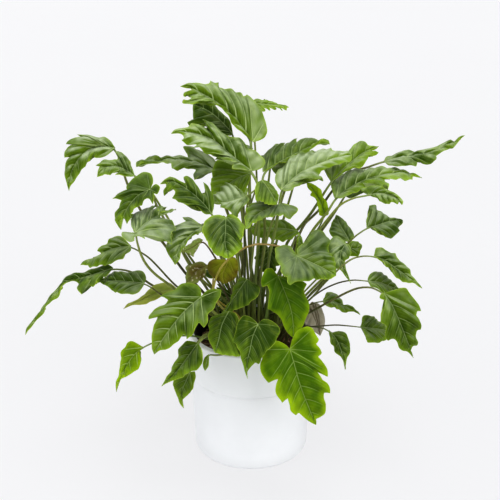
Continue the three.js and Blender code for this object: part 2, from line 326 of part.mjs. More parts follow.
      left: [-183.4,-144.9,471.9,-190.9,-128.2,475.1,-194.2,-105.2,479.2,-188.8,-90.5,481.8,-180.4,-96.2,480.6,-173.3,-81.1,483.1,-165.9,-69.4,485.3,-155.0,-62.2,485.9,-149.4,-74.4,483.8,-142.7,-79.7,482.5,-122.0,-72.1,482.9],
      rib: [-183.4,-144.9,471.9,-180.8,-139.5,472.8,-177.7,-133.3,473.9,-175.6,-128.8,474.7,-172.6,-122.8,475.8,-168.8,-116.5,476.8,-164.5,-111.0,477.7,-157.7,-102.3,479.1,-148.1,-94.2,480.2,-137.3,-86.9,481.1,-122.0,-72.1,482.9],
      right: [-183.4,-144.9,471.9,-189.4,-171.4,468.0,-175.1,-151.5,471.3,-166.4,-163.9,469.8,-167.9,-140.4,473.4,-157.2,-135.4,474.7,-123.4,-179.1,469.7,-124.9,-146.4,474.2,-119.5,-126.7,476.1,-143.5,-94.9,480.1,-122.0,-72.1,482.9] },
  ],
  leaf_left_outer: [
    { stalk: [-56.4,-2.6,200.4,-56.4,-2.6,207.4,-66.8,-6.3,242.4,-86.6,-13.4,280.3,-115.4,-23.8,311.3,-142.5,-33.1,344.1,-167.8,-41.3,378.7,-199.3,-50.0,407.5],
      left: [-199.3,-50.0,407.5,-211.8,-35.4,415.6,-224.0,-28.0,417.9,-239.1,-30.7,409.9,-257.2,-40.4,394.2,-250.1,-45.2,392.6,-275.6,-46.0,380.2,-285.6,-48.9,372.4],
      rib: [-199.3,-50.0,407.5,-205.9,-48.7,406.3,-213.0,-47.3,405.0,-228.3,-46.0,400.5,-245.9,-46.2,393.5,-260.5,-47.6,386.2,-273.7,-48.4,379.1,-285.6,-48.9,372.4],
      right: [-199.3,-50.0,407.5,-198.6,-60.4,403.1,-211.1,-72.9,394.2,-229.5,-73.7,387.3,-241.5,-69.6,383.7,-267.4,-63.9,373.8,-271.3,-57.5,375.4,-285.6,-48.9,372.4] },
  ],
  leaf_left_trailing: [
    { stalk: [-49.4,-14.1,200.4,-49.4,-14.1,207.4,-64.8,-17.7,241.1,-89.6,-23.5,276.6,-124.0,-31.1,302.6,-159.8,-39.7,326.5,-191.7,-49.9,354.8,-229.4,-62.1,372.9],
      left: [-229.4,-62.1,372.9,-238.5,-52.5,375.0,-279.7,-48.0,359.1,-301.0,-40.1,353.6,-311.3,-40.6,348.2,-322.2,-52.7,335.4,-332.0,-58.9,327.2,-347.7,-74.8,308.9,-353.8,-83.0,300.0,-374.4,-100.5,277.2,-375.5,-107.1,271.2],
      rib: [-229.4,-62.1,372.9,-240.1,-61.4,368.8,-263.1,-59.5,359.8,-278.5,-57.7,353.8,-290.5,-55.2,349.6,-313.1,-53.6,339.3,-325.0,-58.3,330.4,-339.2,-70.2,315.9,-350.0,-80.1,304.1,-361.1,-91.8,289.9,-375.5,-107.1,271.2],
      right: [-229.4,-62.1,372.9,-241.8,-76.2,361.2,-252.5,-69.3,359.8,-261.4,-84.9,348.9,-282.3,-76.9,343.2,-297.9,-55.3,345.9,-315.1,-55.9,336.9,-322.1,-72.1,324.3,-342.1,-78.9,309.1,-343.1,-86.7,303.7,-375.5,-107.1,271.2] },
  ],
  leaf_left_oval: [
    { stalk: [-45.0,-33.2,200.4,-45.0,-33.2,207.4,-55.7,-39.8,237.0,-72.1,-49.8,270.7,-96.1,-64.5,297.3,-123.4,-81.3,319.4,-150.0,-97.5,342.7,-174.6,-112.0,369.0],
      left: [-174.6,-112.0,369.0,-171.6,-105.6,375.0,-177.3,-92.3,380.5,-189.5,-83.1,379.0,-201.5,-79.1,373.5,-231.6,-59.4,364.4,-241.9,-60.3,356.5,-255.9,-57.5,346.9],
      rib: [-174.6,-112.0,369.0,-177.7,-110.2,368.4,-182.6,-107.3,367.5,-191.7,-101.8,365.7,-201.7,-95.3,363.4,-221.9,-81.4,358.2,-236.4,-71.2,353.4,-255.9,-57.5,346.9],
      right: [-174.6,-112.0,369.0,-181.9,-128.3,358.8,-190.2,-128.3,355.2,-200.5,-121.0,353.5,-212.6,-114.3,350.2,-223.4,-103.7,348.8,-236.6,-84.4,348.7,-255.9,-57.5,346.9] },
  ],
  leaf_left_yellow_tip: [
    { stalk: [-30.6,-12.7,200.4,-30.6,-12.7,207.4,-38.2,-17.3,229.5,-51.3,-26.4,255.7,-68.1,-38.3,278.6,-86.8,-51.1,299.6,-106.0,-63.5,320.2,-124.9,-74.3,342.0],
      left: [-124.9,-74.3,342.0,-135.2,-65.1,346.8,-147.0,-63.9,346.2,-158.6,-66.0,343.6,-174.9,-75.3,335.1,-184.5,-83.3,327.9,-205.9,-88.9,319.6,-212.2,-95.3,313.5],
      rib: [-124.9,-74.3,342.0,-132.1,-75.3,340.6,-142.4,-76.7,338.7,-152.8,-79.0,335.9,-168.0,-82.9,331.0,-179.5,-86.1,326.6,-197.3,-91.1,319.5,-212.2,-95.3,313.5],
      right: [-124.9,-74.3,342.0,-129.6,-82.3,336.6,-142.8,-84.3,333.9,-154.2,-89.4,329.0,-165.7,-92.7,325.1,-175.6,-94.2,322.2,-190.7,-93.2,319.9,-212.2,-95.3,313.5] },
  ],
  leaf_front_left_broad: [
    { stalk: [-20.9,-40.0,200.4,-20.9,-40.0,207.4,-26.1,-50.3,234.0,-35.1,-68.2,263.8,-46.2,-90.2,289.8,-58.2,-113.9,314.0,-69.9,-137.3,338.7,-80.4,-158.0,366.0],
      left: [-80.4,-158.0,366.0,-86.9,-146.9,382.0,-112.9,-140.9,380.9,-124.2,-143.6,371.6,-148.6,-143.1,360.6,-133.9,-149.3,356.5,-160.0,-151.7,337.9,-164.8,-154.5,330.3,-151.7,-160.5,326.1,-159.9,-167.4,306.1,-156.7,-181.5,274.5],
      rib: [-80.4,-158.0,366.0,-83.4,-158.6,363.7,-86.9,-159.4,360.9,-92.0,-160.4,357.0,-97.9,-161.8,352.0,-104.6,-163.7,345.6,-115.2,-166.8,334.6,-122.6,-169.2,325.4,-128.2,-171.0,318.4,-140.9,-175.6,300.9,-156.7,-181.5,274.5],
      right: [-80.4,-158.0,366.0,-56.2,-159.9,381.1,-48.2,-163.4,381.9,-59.2,-179.3,355.2,-68.8,-181.6,347.5,-75.0,-194.6,329.2,-87.9,-189.5,326.5,-100.7,-195.5,308.2,-109.0,-185.8,313.9,-126.9,-188.5,293.7,-156.7,-181.5,274.5] },
  ],
  leaf_left_low_young: [
    { stalk: [-33.1,-38.7,200.4,-33.1,-38.7,207.4,-49.9,-50.0,224.7,-73.0,-65.5,242.3,-97.8,-82.0,256.4,-124.1,-99.8,265.2,-151.1,-118.6,266.8,-177.7,-138.0,265.1],
      left: [-177.7,-138.0,265.1,-191.3,-129.6,270.0,-198.1,-126.5,270.2,-204.9,-125.8,266.1,-214.2,-129.1,252.9,-217.5,-141.1,225.7,-223.5,-147.7,204.9,-223.6,-153.3,189.2],
      rib: [-177.7,-138.0,265.1,-181.8,-138.3,261.3,-188.0,-138.9,255.6,-192.3,-139.4,251.1,-199.2,-141.3,241.7,-209.0,-145.0,225.0,-216.9,-149.2,207.2,-223.6,-153.3,189.2],
      right: [-177.7,-138.0,265.1,-181.0,-139.7,260.5,-181.4,-153.0,243.5,-185.6,-155.6,235.6,-192.4,-155.1,227.9,-201.0,-153.4,220.4,-214.9,-149.2,210.5,-223.6,-153.3,189.2] },
  ],
  leaf_pair_front_left: [
    { stalk: [-19.9,-52.2,200.4,-19.9,-52.2,207.4,-25.3,-62.4,226.9,-33.9,-78.7,249.8,-44.4,-99.2,268.1,-56.8,-122.2,281.7,-72.0,-146.1,289.8,-85.9,-172.0,290.4],
      left: [-85.9,-172.0,290.4,-105.5,-164.3,290.0,-120.3,-166.2,275.5,-118.6,-171.7,266.5,-128.5,-175.5,248.4,-130.2,-177.7,242.2,-138.6,-177.5,231.0,-147.1,-179.0,214.2],
      rib: [-85.9,-172.0,290.4,-89.8,-173.6,285.1,-96.1,-176.1,276.9,-100.3,-177.6,271.2,-110.8,-180.5,256.5,-121.3,-181.7,242.8,-135.4,-180.9,226.5,-147.1,-179.0,214.2],
      right: [-85.9,-172.0,290.4,-80.8,-180.3,285.7,-77.4,-189.9,278.1,-77.3,-196.5,270.8,-88.7,-199.4,256.0,-111.7,-192.6,239.4,-135.2,-184.0,223.5,-147.1,-179.0,214.2] },
    { stalk: [-21.9,-51.9,200.8,-21.9,-51.9,207.8,-35.4,-53.9,225.9,-53.9,-60.9,246.9,-76.8,-75.2,255.6,-93.0,-96.7,245.3,-100.0,-122.7,234.6,-100.7,-150.0,225.0],
      left: [-100.7,-150.0,225.0,-114.0,-150.3,221.5,-125.6,-151.6,214.7,-129.0,-154.0,204.7,-125.7,-157.7,193.6,-120.8,-161.3,182.4,-117.6,-164.1,172.7,-111.1,-166.1,165.3],
      rib: [-100.7,-150.0,225.0,-102.6,-151.2,221.0,-104.7,-152.5,216.5,-108.1,-154.7,208.8,-111.3,-156.5,200.9,-113.6,-159.5,188.9,-112.4,-162.7,177.7,-111.1,-166.1,165.3],
      right: [-100.7,-150.0,225.0,-92.4,-152.0,228.0,-90.7,-155.9,220.8,-94.0,-159.7,209.8,-95.7,-163.0,200.4,-102.5,-163.1,191.0,-110.9,-162.3,182.1,-111.1,-166.1,165.3] },
  ],
  leaf_pair_rim_left: [
    { stalk: [-7.3,-50.0,200.4,-7.3,-50.0,207.4,-11.0,-63.2,220.1,-23.3,-84.7,228.8,-36.6,-106.0,236.7,-49.2,-127.5,245.2,-60.1,-149.0,255.7,-68.4,-170.0,269.3],
      left: [-68.4,-170.0,269.3,-74.9,-170.8,264.2,-78.2,-172.6,256.0,-78.3,-174.5,247.8,-75.1,-176.2,241.3],
      rib: [-68.4,-170.0,269.3,-70.2,-171.6,263.2,-71.9,-173.2,257.0,-73.3,-174.5,250.1,-75.1,-176.2,241.3],
      right: [-68.4,-170.0,269.3,-68.4,-172.6,261.5,-68.9,-174.0,255.8,-69.3,-175.4,250.2,-75.1,-176.2,241.3] },
    { stalk: [-9.3,-49.7,200.8,-9.3,-49.7,207.8,-10.7,-57.5,225.6,-14.1,-72.9,247.0,-18.5,-91.2,265.7,-24.0,-110.0,283.6,-30.2,-126.6,303.4,-36.2,-132.0,328.1],
      left: [-36.2,-132.0,328.1,-45.9,-133.6,327.1,-54.8,-137.1,324.3,-63.7,-140.6,321.5,-70.0,-150.3,313.7,-68.2,-162.9,302.0,-64.8,-174.3,289.8,-58.3,-184.0,278.6],
      rib: [-36.2,-132.0,328.1,-38.2,-135.5,325.3,-41.9,-142.0,320.1,-47.1,-151.0,312.9,-50.1,-161.9,302.7,-52.7,-170.7,294.1,-55.7,-177.9,285.8,-58.3,-184.0,278.6],
      right: [-36.2,-132.0,328.1,-24.7,-142.1,324.1,-19.7,-161.5,312.2,-16.5,-180.0,296.5,-14.8,-197.3,280.3,-26.0,-195.8,277.7,-42.1,-188.9,279.4,-58.3,-184.0,278.6] },
  ],
  leaf_front_heart: [
    { stalk: [10.3,-54.4,200.4,10.3,-54.4,207.4,8.6,-69.4,222.2,6.4,-88.2,242.2,4.6,-107.6,261.7,4.1,-127.5,280.8,6.0,-146.8,300.3,10.9,-164.5,320.9],
      left: [10.9,-164.5,320.9,-8.4,-156.8,333.2,-18.1,-161.3,330.1,-28.4,-180.3,311.1,-29.2,-188.7,301.0,-16.4,-199.0,284.8,-11.6,-213.9,262.2,-6.0,-219.6,250.8],
      rib: [10.9,-164.5,320.9,9.3,-167.2,318.2,8.5,-168.7,316.7,5.0,-174.8,310.6,2.5,-179.7,305.4,-1.2,-191.2,292.3,-6.4,-213.0,261.2,-6.0,-219.6,250.8],
      right: [10.9,-164.5,320.9,30.2,-162.1,328.7,39.7,-168.6,324.8,46.0,-180.0,316.3,42.7,-188.7,308.2,33.1,-196.1,297.7,-3.6,-213.8,262.1,-6.0,-219.6,250.8] },
  ],
  leaf_front_upper: [
    { stalk: [10.4,-35.0,200.4,10.4,-35.0,207.4,9.5,-37.6,229.1,8.0,-41.9,257.6,5.6,-48.5,285.6,2.4,-57.6,312.7,-1.9,-69.6,338.6,-6.9,-84.0,363.1],
      left: [-6.9,-84.0,363.1,-15.2,-80.2,364.9,-21.8,-84.1,361.3,-30.0,-91.9,354.0,-33.2,-103.8,343.3,-36.4,-112.4,334.8,-46.2,-122.7,321.6,-49.4,-129.2,313.0],
      rib: [-6.9,-84.0,363.1,-8.5,-85.8,361.5,-11.1,-88.9,358.8,-15.8,-94.5,354.0,-22.2,-101.7,346.9,-28.5,-108.4,339.7,-40.1,-120.1,325.0,-49.4,-129.2,313.0],
      right: [-6.9,-84.0,363.1,1.3,-91.6,361.2,11.1,-104.7,356.5,12.7,-116.8,349.7,6.1,-122.7,343.4,-3.6,-125.6,337.7,-28.1,-125.8,326.8,-49.4,-129.2,313.0] },
  ],
  leaf_front_bright: [
    { stalk: [19.2,-45.6,200.4,19.2,-45.6,207.4,20.6,-49.9,233.4,23.2,-57.4,265.8,27.0,-68.3,297.2,31.8,-82.1,327.2,37.4,-98.4,355.7,43.4,-116.0,383.5],
      left: [43.4,-116.0,383.5,33.7,-111.7,395.8,23.9,-114.3,395.2,15.8,-126.9,379.6,28.7,-133.9,365.1,25.4,-150.5,340.9,40.0,-149.5,333.2,68.5,-158.8,291.7],
      rib: [43.4,-116.0,383.5,47.3,-120.6,375.7,48.5,-122.1,373.1,51.1,-125.2,367.9,56.2,-131.3,356.4,61.6,-137.6,343.4,66.0,-145.5,325.9,68.5,-158.8,291.7],
      right: [43.4,-116.0,383.5,82.2,-121.6,377.2,90.3,-124.1,373.0,85.4,-129.1,362.8,93.5,-138.1,345.6,93.5,-143.3,333.7,83.8,-152.9,311.4,68.5,-158.8,291.7] },
  ],
  leaf_front_right_broad: [
    { stalk: [24.2,-34.9,200.4,24.2,-34.9,207.4,1.1,-54.1,256.7,-35.1,-83.7,300.3,-61.8,-106.8,351.5,-37.4,-108.1,409.2,18.1,-99.9,432.6,74.0,-108.0,415.5],
      left: [74.0,-108.0,415.5,74.3,-95.6,422.4,94.7,-70.5,429.1,110.3,-46.5,436.7,131.8,-53.1,421.5,127.8,-68.9,414.1,138.6,-92.1,392.2,138.0,-108.7,380.1],
      rib: [74.0,-108.0,415.5,76.5,-108.2,414.3,79.0,-108.4,413.2,82.1,-108.7,411.8,90.8,-109.5,407.8,104.0,-109.4,401.1,129.7,-108.9,385.5,138.0,-108.7,380.1],
      right: [74.0,-108.0,415.5,38.3,-108.4,429.8,38.2,-123.2,422.3,47.4,-147.4,407.0,59.9,-163.1,395.0,99.2,-138.7,388.8,129.3,-119.1,379.6,138.0,-108.7,380.1] },
  ],
  leaf_right_grey: [
    { stalk: [35.6,-17.1,200.4,35.6,-17.1,207.4,45.4,-19.0,240.2,66.0,-23.2,275.3,92.7,-28.4,306.3,119.3,-32.4,337.6,143.5,-36.6,370.4,157.7,-40.5,408.8],
      left: [157.7,-40.5,408.8,148.1,-30.9,415.5,139.8,-29.5,416.7,131.2,-37.0,412.7,127.4,-49.1,405.3,130.2,-63.0,397.0,134.6,-76.1,388.4,139.3,-84.3,383.2,145.7,-87.1,380.8,162.9,-107.0,364.8],
      rib: [157.7,-40.5,408.8,156.0,-43.4,407.1,153.4,-48.1,404.3,149.4,-55.2,400.2,148.4,-62.6,395.7,148.1,-70.7,390.7,149.9,-79.4,385.0,152.7,-85.4,380.6,155.4,-91.1,376.4,162.9,-107.0,364.8],
      right: [157.7,-40.5,408.8,164.0,-47.7,406.5,165.0,-59.6,400.9,161.3,-69.1,394.3,154.5,-72.8,390.6,155.1,-79.0,386.2,155.7,-85.1,381.7,157.9,-91.0,377.3,160.1,-97.0,372.8,162.9,-107.0,364.8] },
  ],
  leaf_front_lobed: [
    { stalk: [29.5,-51.8,200.4,29.5,-51.8,207.4,33.2,-65.9,220.0,39.3,-88.7,231.2,45.5,-112.1,241.1,51.7,-135.5,251.3,57.6,-157.6,263.8,62.5,-176.0,281.6],
      left: [62.5,-176.0,281.6,33.4,-176.2,298.1,15.6,-185.7,290.4,12.4,-199.0,270.4,23.6,-212.1,241.1,38.1,-219.1,218.5,49.4,-221.4,206.0,59.1,-213.9,214.6,63.9,-221.5,195.0,78.6,-219.2,188.1,104.8,-218.0,164.9],
      rib: [62.5,-176.0,281.6,63.6,-177.8,278.1,64.3,-179.0,275.9,65.4,-180.6,272.7,68.9,-186.3,261.7,71.6,-190.3,252.5,77.9,-198.7,232.3,84.6,-205.3,213.8,89.2,-208.6,202.8,96.1,-213.1,186.0,104.8,-218.0,164.9],
      right: [62.5,-176.0,281.6,73.8,-164.9,308.5,91.5,-161.9,315.1,109.2,-171.2,296.4,114.0,-181.1,277.0,107.5,-183.3,271.8,123.7,-196.2,241.4,127.1,-203.8,216.2,117.4,-206.4,208.4,119.2,-212.9,184.3,104.8,-218.0,164.9] },
  ],
  leaf_right_inner: [
    { stalk: [46.9,10.0,200.4,46.9,10.0,207.4,57.5,8.6,237.5,80.1,5.5,268.8,106.6,2.2,297.1,131.8,-0.5,326.6,152.3,-3.3,359.5,167.0,-6.0,395.5],
      left: [167.0,-6.0,395.5,155.3,-3.0,396.0,142.0,2.3,397.4,132.6,19.1,403.1,136.7,34.8,409.4,142.5,49.0,414.5,146.4,59.8,418.4],
      rib: [167.0,-6.0,395.5,164.7,0.1,397.9,161.3,9.3,401.5,155.5,24.3,406.9,151.3,36.5,411.0,148.7,49.0,415.0,146.4,59.8,418.4],
      right: [167.0,-6.0,395.5,174.3,4.1,400.3,171.7,19.7,406.5,164.0,34.3,411.4,159.3,42.8,413.9,154.6,51.4,416.3,146.4,59.8,418.4] },
  ],
  leaf_pair_right_inner: [
    { stalk: [43.8,-5.4,200.4,43.8,-5.4,207.4,52.9,-6.5,237.4,69.1,-8.5,272.0,90.4,-11.1,303.7,114.6,-14.1,333.2,139.5,-17.1,362.2,162.8,-20.0,392.4],
      left: [162.8,-20.0,392.4,164.6,-16.0,396.2,166.4,-12.0,399.9,176.9,-7.8,398.1,185.5,-7.3,393.3,187.1,-11.0,388.4],
      rib: [162.8,-20.0,392.4,164.9,-19.8,391.6,167.7,-19.6,390.5,175.5,-17.8,388.4,183.2,-13.3,388.4,187.1,-11.0,388.4],
      right: [162.8,-20.0,392.4,164.2,-30.1,380.4,174.5,-27.1,379.0,181.4,-24.8,378.0,183.4,-17.7,384.1,187.1,-11.0,388.4] },
    { stalk: [41.8,-5.1,200.8,41.8,-5.1,207.8,44.8,-8.3,242.3,48.4,-13.4,283.7,52.7,-21.0,324.5,59.0,-32.0,364.3,67.6,-47.1,402.2,78.3,-66.0,437.9],
      left: [78.3,-66.0,437.9,83.3,-67.7,429.7,85.0,-72.0,415.4,80.1,-76.4,404.8,75.1,-78.5,401.3],
      rib: [78.3,-66.0,437.9,78.3,-68.4,430.9,77.8,-72.6,418.8,76.1,-76.3,407.9,75.1,-78.5,401.3],
      right: [78.3,-66.0,437.9,75.0,-69.6,430.5,73.4,-74.0,418.1,71.8,-77.3,408.8,75.1,-78.5,401.3] },
  ],
  leaf_right_wedge: [
    { stalk: [59.9,-11.5,200.4,59.9,-11.5,207.4,68.7,-13.4,245.1,88.8,-18.0,285.6,115.3,-22.3,322.5,139.0,-26.1,361.1,160.1,-29.9,401.2,192.3,-34.0,433.1],
      left: [192.3,-34.0,433.1,191.1,-23.8,441.5,199.5,2.6,452.2,198.0,7.2,456.6,209.0,17.7,453.3,217.7,16.9,444.5,233.7,18.9,430.8,259.8,37.6,417.5],
      rib: [192.3,-34.0,433.1,198.7,-27.4,432.0,207.9,-17.8,430.5,211.7,-13.9,429.8,227.1,4.0,427.2,233.7,11.7,426.1,244.6,22.6,422.6,259.8,37.6,417.5],
      right: [192.3,-34.0,433.1,207.9,-29.5,424.9,225.2,-27.5,414.0,234.1,-22.7,410.1,250.2,5.5,410.8,250.9,14.6,414.2,257.2,26.5,414.7,259.8,37.6,417.5] },
  ],
  leaf_right_narrow: [
    { stalk: [48.9,-16.2,200.4,48.9,-16.2,207.4,57.6,-28.4,250.0,72.5,-55.0,291.2,92.8,-89.2,324.4,122.7,-97.7,364.7,160.2,-84.8,395.7,203.4,-58.0,392.9],
      left: [203.4,-58.0,392.9,207.5,-44.8,402.5,224.5,-43.4,396.4,241.6,-40.7,391.6,242.9,-46.5,385.9,262.8,-55.8,368.2,267.5,-61.9,360.0,283.9,-72.6,340.2],
      rib: [203.4,-58.0,392.9,211.7,-58.0,389.4,221.2,-58.3,385.1,228.4,-60.0,380.5,236.3,-61.9,375.3,257.6,-66.7,360.4,267.6,-69.0,352.9,283.9,-72.6,340.2],
      right: [203.4,-58.0,392.9,216.5,-63.4,384.5,222.9,-69.3,378.1,229.8,-67.5,375.5,237.4,-79.4,364.5,259.6,-77.4,352.7,272.0,-71.3,348.9,283.9,-72.6,340.2] },
  ],
  leaf_right_small: [
    { stalk: [50.2,-28.7,200.4,50.2,-28.7,207.4,58.4,-31.5,237.9,73.3,-36.6,273.1,95.6,-44.4,303.7,123.2,-52.2,329.5,156.8,-58.9,346.9,194.3,-66.0,350.9],
      left: [194.3,-66.0,350.9,195.6,-57.5,355.2,204.2,-43.2,356.8,215.3,-33.0,354.0,225.8,-31.0,345.6,236.4,-30.8,336.2,245.1,-31.5,327.2,252.0,-35.3,317.7],
      rib: [194.3,-66.0,350.9,197.2,-64.1,349.7,204.6,-59.0,346.6,211.6,-54.2,343.6,221.8,-49.3,337.6,235.5,-43.0,329.1,244.3,-38.9,323.0,252.0,-35.3,317.7],
      right: [194.3,-66.0,350.9,197.1,-75.2,345.2,209.3,-70.9,338.5,218.0,-69.5,332.3,228.6,-66.2,325.2,241.7,-53.5,319.0,246.8,-44.4,318.4,252.0,-35.3,317.7] },
  ],
  leaf_right_hanging: [
    { stalk: [-1.6,-60.4,200.4,-1.6,-60.4,207.4,17.3,-68.7,245.2,49.8,-84.1,278.7,88.4,-100.9,304.9,127.2,-110.8,334.2,169.4,-116.2,359.6,216.2,-118.9,354.3],
      left: [216.2,-118.9,354.3,208.6,-125.4,348.4,217.8,-124.3,344.2,210.9,-136.7,326.8,209.1,-143.7,314.0,217.5,-143.6,306.7,223.5,-151.0,283.0,234.5,-146.3,283.4,246.6,-147.9,263.9,255.2,-145.5,260.8,266.5,-144.5,248.2],
      rib: [216.2,-118.9,354.3,219.9,-120.3,349.3,222.5,-121.4,345.7,231.5,-125.7,331.0,234.9,-127.7,324.2,238.7,-130.0,316.3,246.2,-134.4,299.4,250.4,-136.9,289.6,258.3,-140.7,269.6,261.5,-142.2,261.2,266.5,-144.5,248.2],
      right: [216.2,-118.9,354.3,242.6,-113.2,360.6,252.5,-112.1,360.0,275.9,-119.7,331.1,279.3,-122.5,322.4,269.4,-125.3,317.5,278.0,-129.1,301.1,271.5,-132.8,291.9,271.9,-139.1,268.5,262.0,-142.4,261.9,266.5,-144.5,248.2] },
  ],
  leaf_right_curled: [
    { stalk: [1.6,28.8,200.4,1.6,28.8,207.4,12.8,21.7,225.9,29.5,10.7,247.4,49.5,-4.7,262.6,71.4,-20.2,275.0,95.3,-31.4,288.1,122.0,-35.6,299.0],
      left: [122.0,-35.6,299.0,125.9,-22.7,304.1,131.4,-12.9,306.0,142.1,-7.1,302.3,155.8,-13.5,288.2,159.1,-18.2,282.9,171.8,-9.3,278.5,188.4,-14.3,261.8],
      rib: [122.0,-35.6,299.0,126.3,-32.8,297.7,132.6,-28.8,295.7,140.2,-25.0,292.7,150.1,-22.7,286.9,157.7,-20.8,282.3,169.6,-17.6,275.0,188.4,-14.3,261.8],
      right: [122.0,-35.6,299.0,125.3,-39.6,294.4,135.7,-37.4,288.6,144.6,-31.5,285.7,148.0,-34.3,281.4,158.5,-32.4,274.7,169.5,-22.1,272.4,188.4,-14.3,261.8] },
  ],
  leaf_right_low_wide: [
    { stalk: [47.5,-42.0,200.4,47.5,-42.0,207.4,57.6,-45.4,226.7,75.4,-52.3,248.4,99.8,-58.8,261.8,128.5,-60.8,265.3,157.5,-60.3,265.0,186.1,-57.9,260.9],
      left: [186.1,-57.9,260.9,188.4,-47.7,267.2,190.5,-38.9,272.2,199.7,-31.2,270.3,208.7,-27.8,264.7,217.7,-26.1,258.1,228.5,-23.7,249.2,235.3,-29.1,238.5],
      rib: [186.1,-57.9,260.9,189.0,-56.4,259.8,191.3,-55.2,258.8,195.2,-53.0,257.2,202.7,-48.9,254.1,212.8,-42.7,249.8,226.3,-34.6,243.2,235.3,-29.1,238.5],
      right: [186.1,-57.9,260.9,191.0,-63.9,254.5,193.9,-72.9,247.7,197.1,-78.0,242.8,209.6,-71.3,237.4,220.8,-61.1,233.9,232.3,-46.4,232.0,235.3,-29.1,238.5] },
  ],
  leaf_right_low_oval: [
    { stalk: [35.8,-40.5,200.4,35.8,-40.5,207.4,42.9,-42.3,220.1,55.1,-44.9,237.7,70.6,-47.8,252.2,90.4,-51.3,259.6,111.7,-54.7,259.1,132.0,-58.0,255.3],
      left: [132.0,-58.0,255.3,132.5,-67.3,248.6,134.7,-78.5,239.3,139.7,-80.9,234.9,142.9,-87.7,227.0,151.4,-90.0,220.6,155.4,-96.2,212.5,157.8,-103.4,203.1],
      rib: [132.0,-58.0,255.3,137.6,-63.0,249.6,142.9,-67.7,244.2,145.7,-71.7,239.8,150.3,-78.9,231.7,153.1,-86.1,223.3,154.9,-92.9,215.4,157.8,-103.4,203.1],
      right: [132.0,-58.0,255.3,150.8,-57.5,253.1,159.2,-59.1,250.1,164.1,-65.1,243.7,167.2,-73.5,234.8,166.9,-83.4,224.8,161.6,-89.8,218.6,157.8,-103.4,203.1] },
  ],
  leaf_old_yellow: [
    { stalk: [-0.5,-29.2,200.4,-0.5,-29.2,207.4,-7.9,-33.7,239.0,-23.0,-41.8,274.5,-48.3,-54.1,302.5,-63.6,-67.7,335.5,-58.7,-78.9,373.0,-36.3,-91.2,402.5],
      left: [-36.3,-91.2,402.5,-48.6,-89.7,401.8,-60.9,-88.2,401.2,-70.7,-89.6,394.6,-70.7,-95.1,380.9,-60.9,-100.2,372.5,-44.5,-104.7,363.8],
      rib: [-36.3,-91.2,402.5,-37.3,-92.0,400.3,-38.2,-92.7,398.5,-40.2,-94.3,394.3,-45.0,-98.9,381.5,-45.6,-101.6,373.1,-44.5,-104.7,363.8],
      right: [-36.3,-91.2,402.5,-26.5,-90.9,406.0,-21.6,-95.8,397.4,-21.6,-101.3,385.6,-26.5,-103.6,374.1,-36.3,-104.5,367.3,-44.5,-104.7,363.8] },
  ],
  leaf_pair_withered: [
    { stalk: [-18.3,-14.4,200.4,-18.3,-14.4,207.4,-21.7,-17.3,232.2,-27.6,-22.4,263.4,-36.2,-29.8,293.6,-47.1,-39.2,322.4,-59.7,-50.2,349.8,-73.3,-62.0,376.6],
      left: [-73.3,-62.0,376.6,-80.1,-55.2,380.8,-92.0,-49.6,378.2,-102.2,-47.6,371.8,-109.0,-45.1,368.8,-108.9,-59.6,342.4],
      rib: [-73.3,-62.0,376.6,-77.6,-61.0,374.1,-83.8,-59.6,370.4,-90.0,-58.7,365.9,-96.5,-59.0,357.8,-108.9,-59.6,342.4],
      right: [-73.3,-62.0,376.6,-74.9,-68.7,365.0,-80.0,-69.2,358.8,-85.0,-69.6,352.6,-96.9,-66.0,345.4,-108.9,-59.6,342.4] },
    { stalk: [-20.3,-14.1,200.8,-20.3,-14.1,207.8,-22.6,-16.7,240.0,-27.4,-20.9,278.9,-36.0,-26.9,316.9,-47.6,-35.2,353.6,-62.3,-45.8,388.6,-79.5,-58.0,421.9],
      left: [-79.5,-58.0,421.9,-86.2,-52.9,423.2,-97.9,-51.8,415.6,-103.8,-51.5,410.9,-109.7,-51.3,406.3,-114.7,-54.3,397.6],
      rib: [-79.5,-58.0,421.9,-84.3,-58.2,418.1,-92.2,-58.5,411.8,-98.0,-57.6,408.1,-106.5,-55.9,402.7,-114.7,-54.3,397.6],
      right: [-79.5,-58.0,421.9,-84.4,-62.4,413.0,-91.0,-65.8,403.7,-96.0,-68.7,396.0,-106.2,-59.4,399.0,-114.7,-54.3,397.6] },
  ],
  leaf_dried_tan: [
    { stalk: [35.1,2.3,200.4,35.1,2.3,207.4,44.8,0.7,216.3,61.2,-1.5,227.0,76.6,-3.3,239.3,91.5,-5.1,252.0,103.6,-7.8,267.1,104.5,-12.2,285.7],
      left: [104.5,-12.2,285.7,94.0,-21.1,278.6,88.7,-31.1,264.5,97.4,-33.9,250.6,109.6,-33.1,238.6,118.4,-32.4,230.5],
      rib: [104.5,-12.2,285.7,106.1,-14.5,280.2,109.0,-18.5,270.4,113.2,-23.7,256.2,116.6,-29.0,240.7,118.4,-32.4,230.5],
      right: [104.5,-12.2,285.7,116.5,-13.8,282.7,123.4,-19.0,269.9,126.9,-24.2,255.2,123.5,-29.3,240.5,118.4,-32.4,230.5] },
  ],
  shoot_back_right: [
    { stalk: [14.1,46.0,200.4,14.1,46.0,207.4,13.6,49.3,268.9,12.9,53.6,337.3,11.8,60.9,405.4,9.9,74.1,472.6,6.4,96.8,537.1,1.4,130.0,596.8],
      left: [1.4,130.0,596.8,4.9,139.7,600.0,18.7,142.8,600.8,32.5,136.8,598.2,47.9,130.0,595.0,65.0,124.7,591.4],
      rib: [1.4,130.0,596.8,6.8,129.3,596.5,14.9,128.2,596.0,28.3,127.3,595.1,50.7,125.9,593.1,65.0,124.7,591.4],
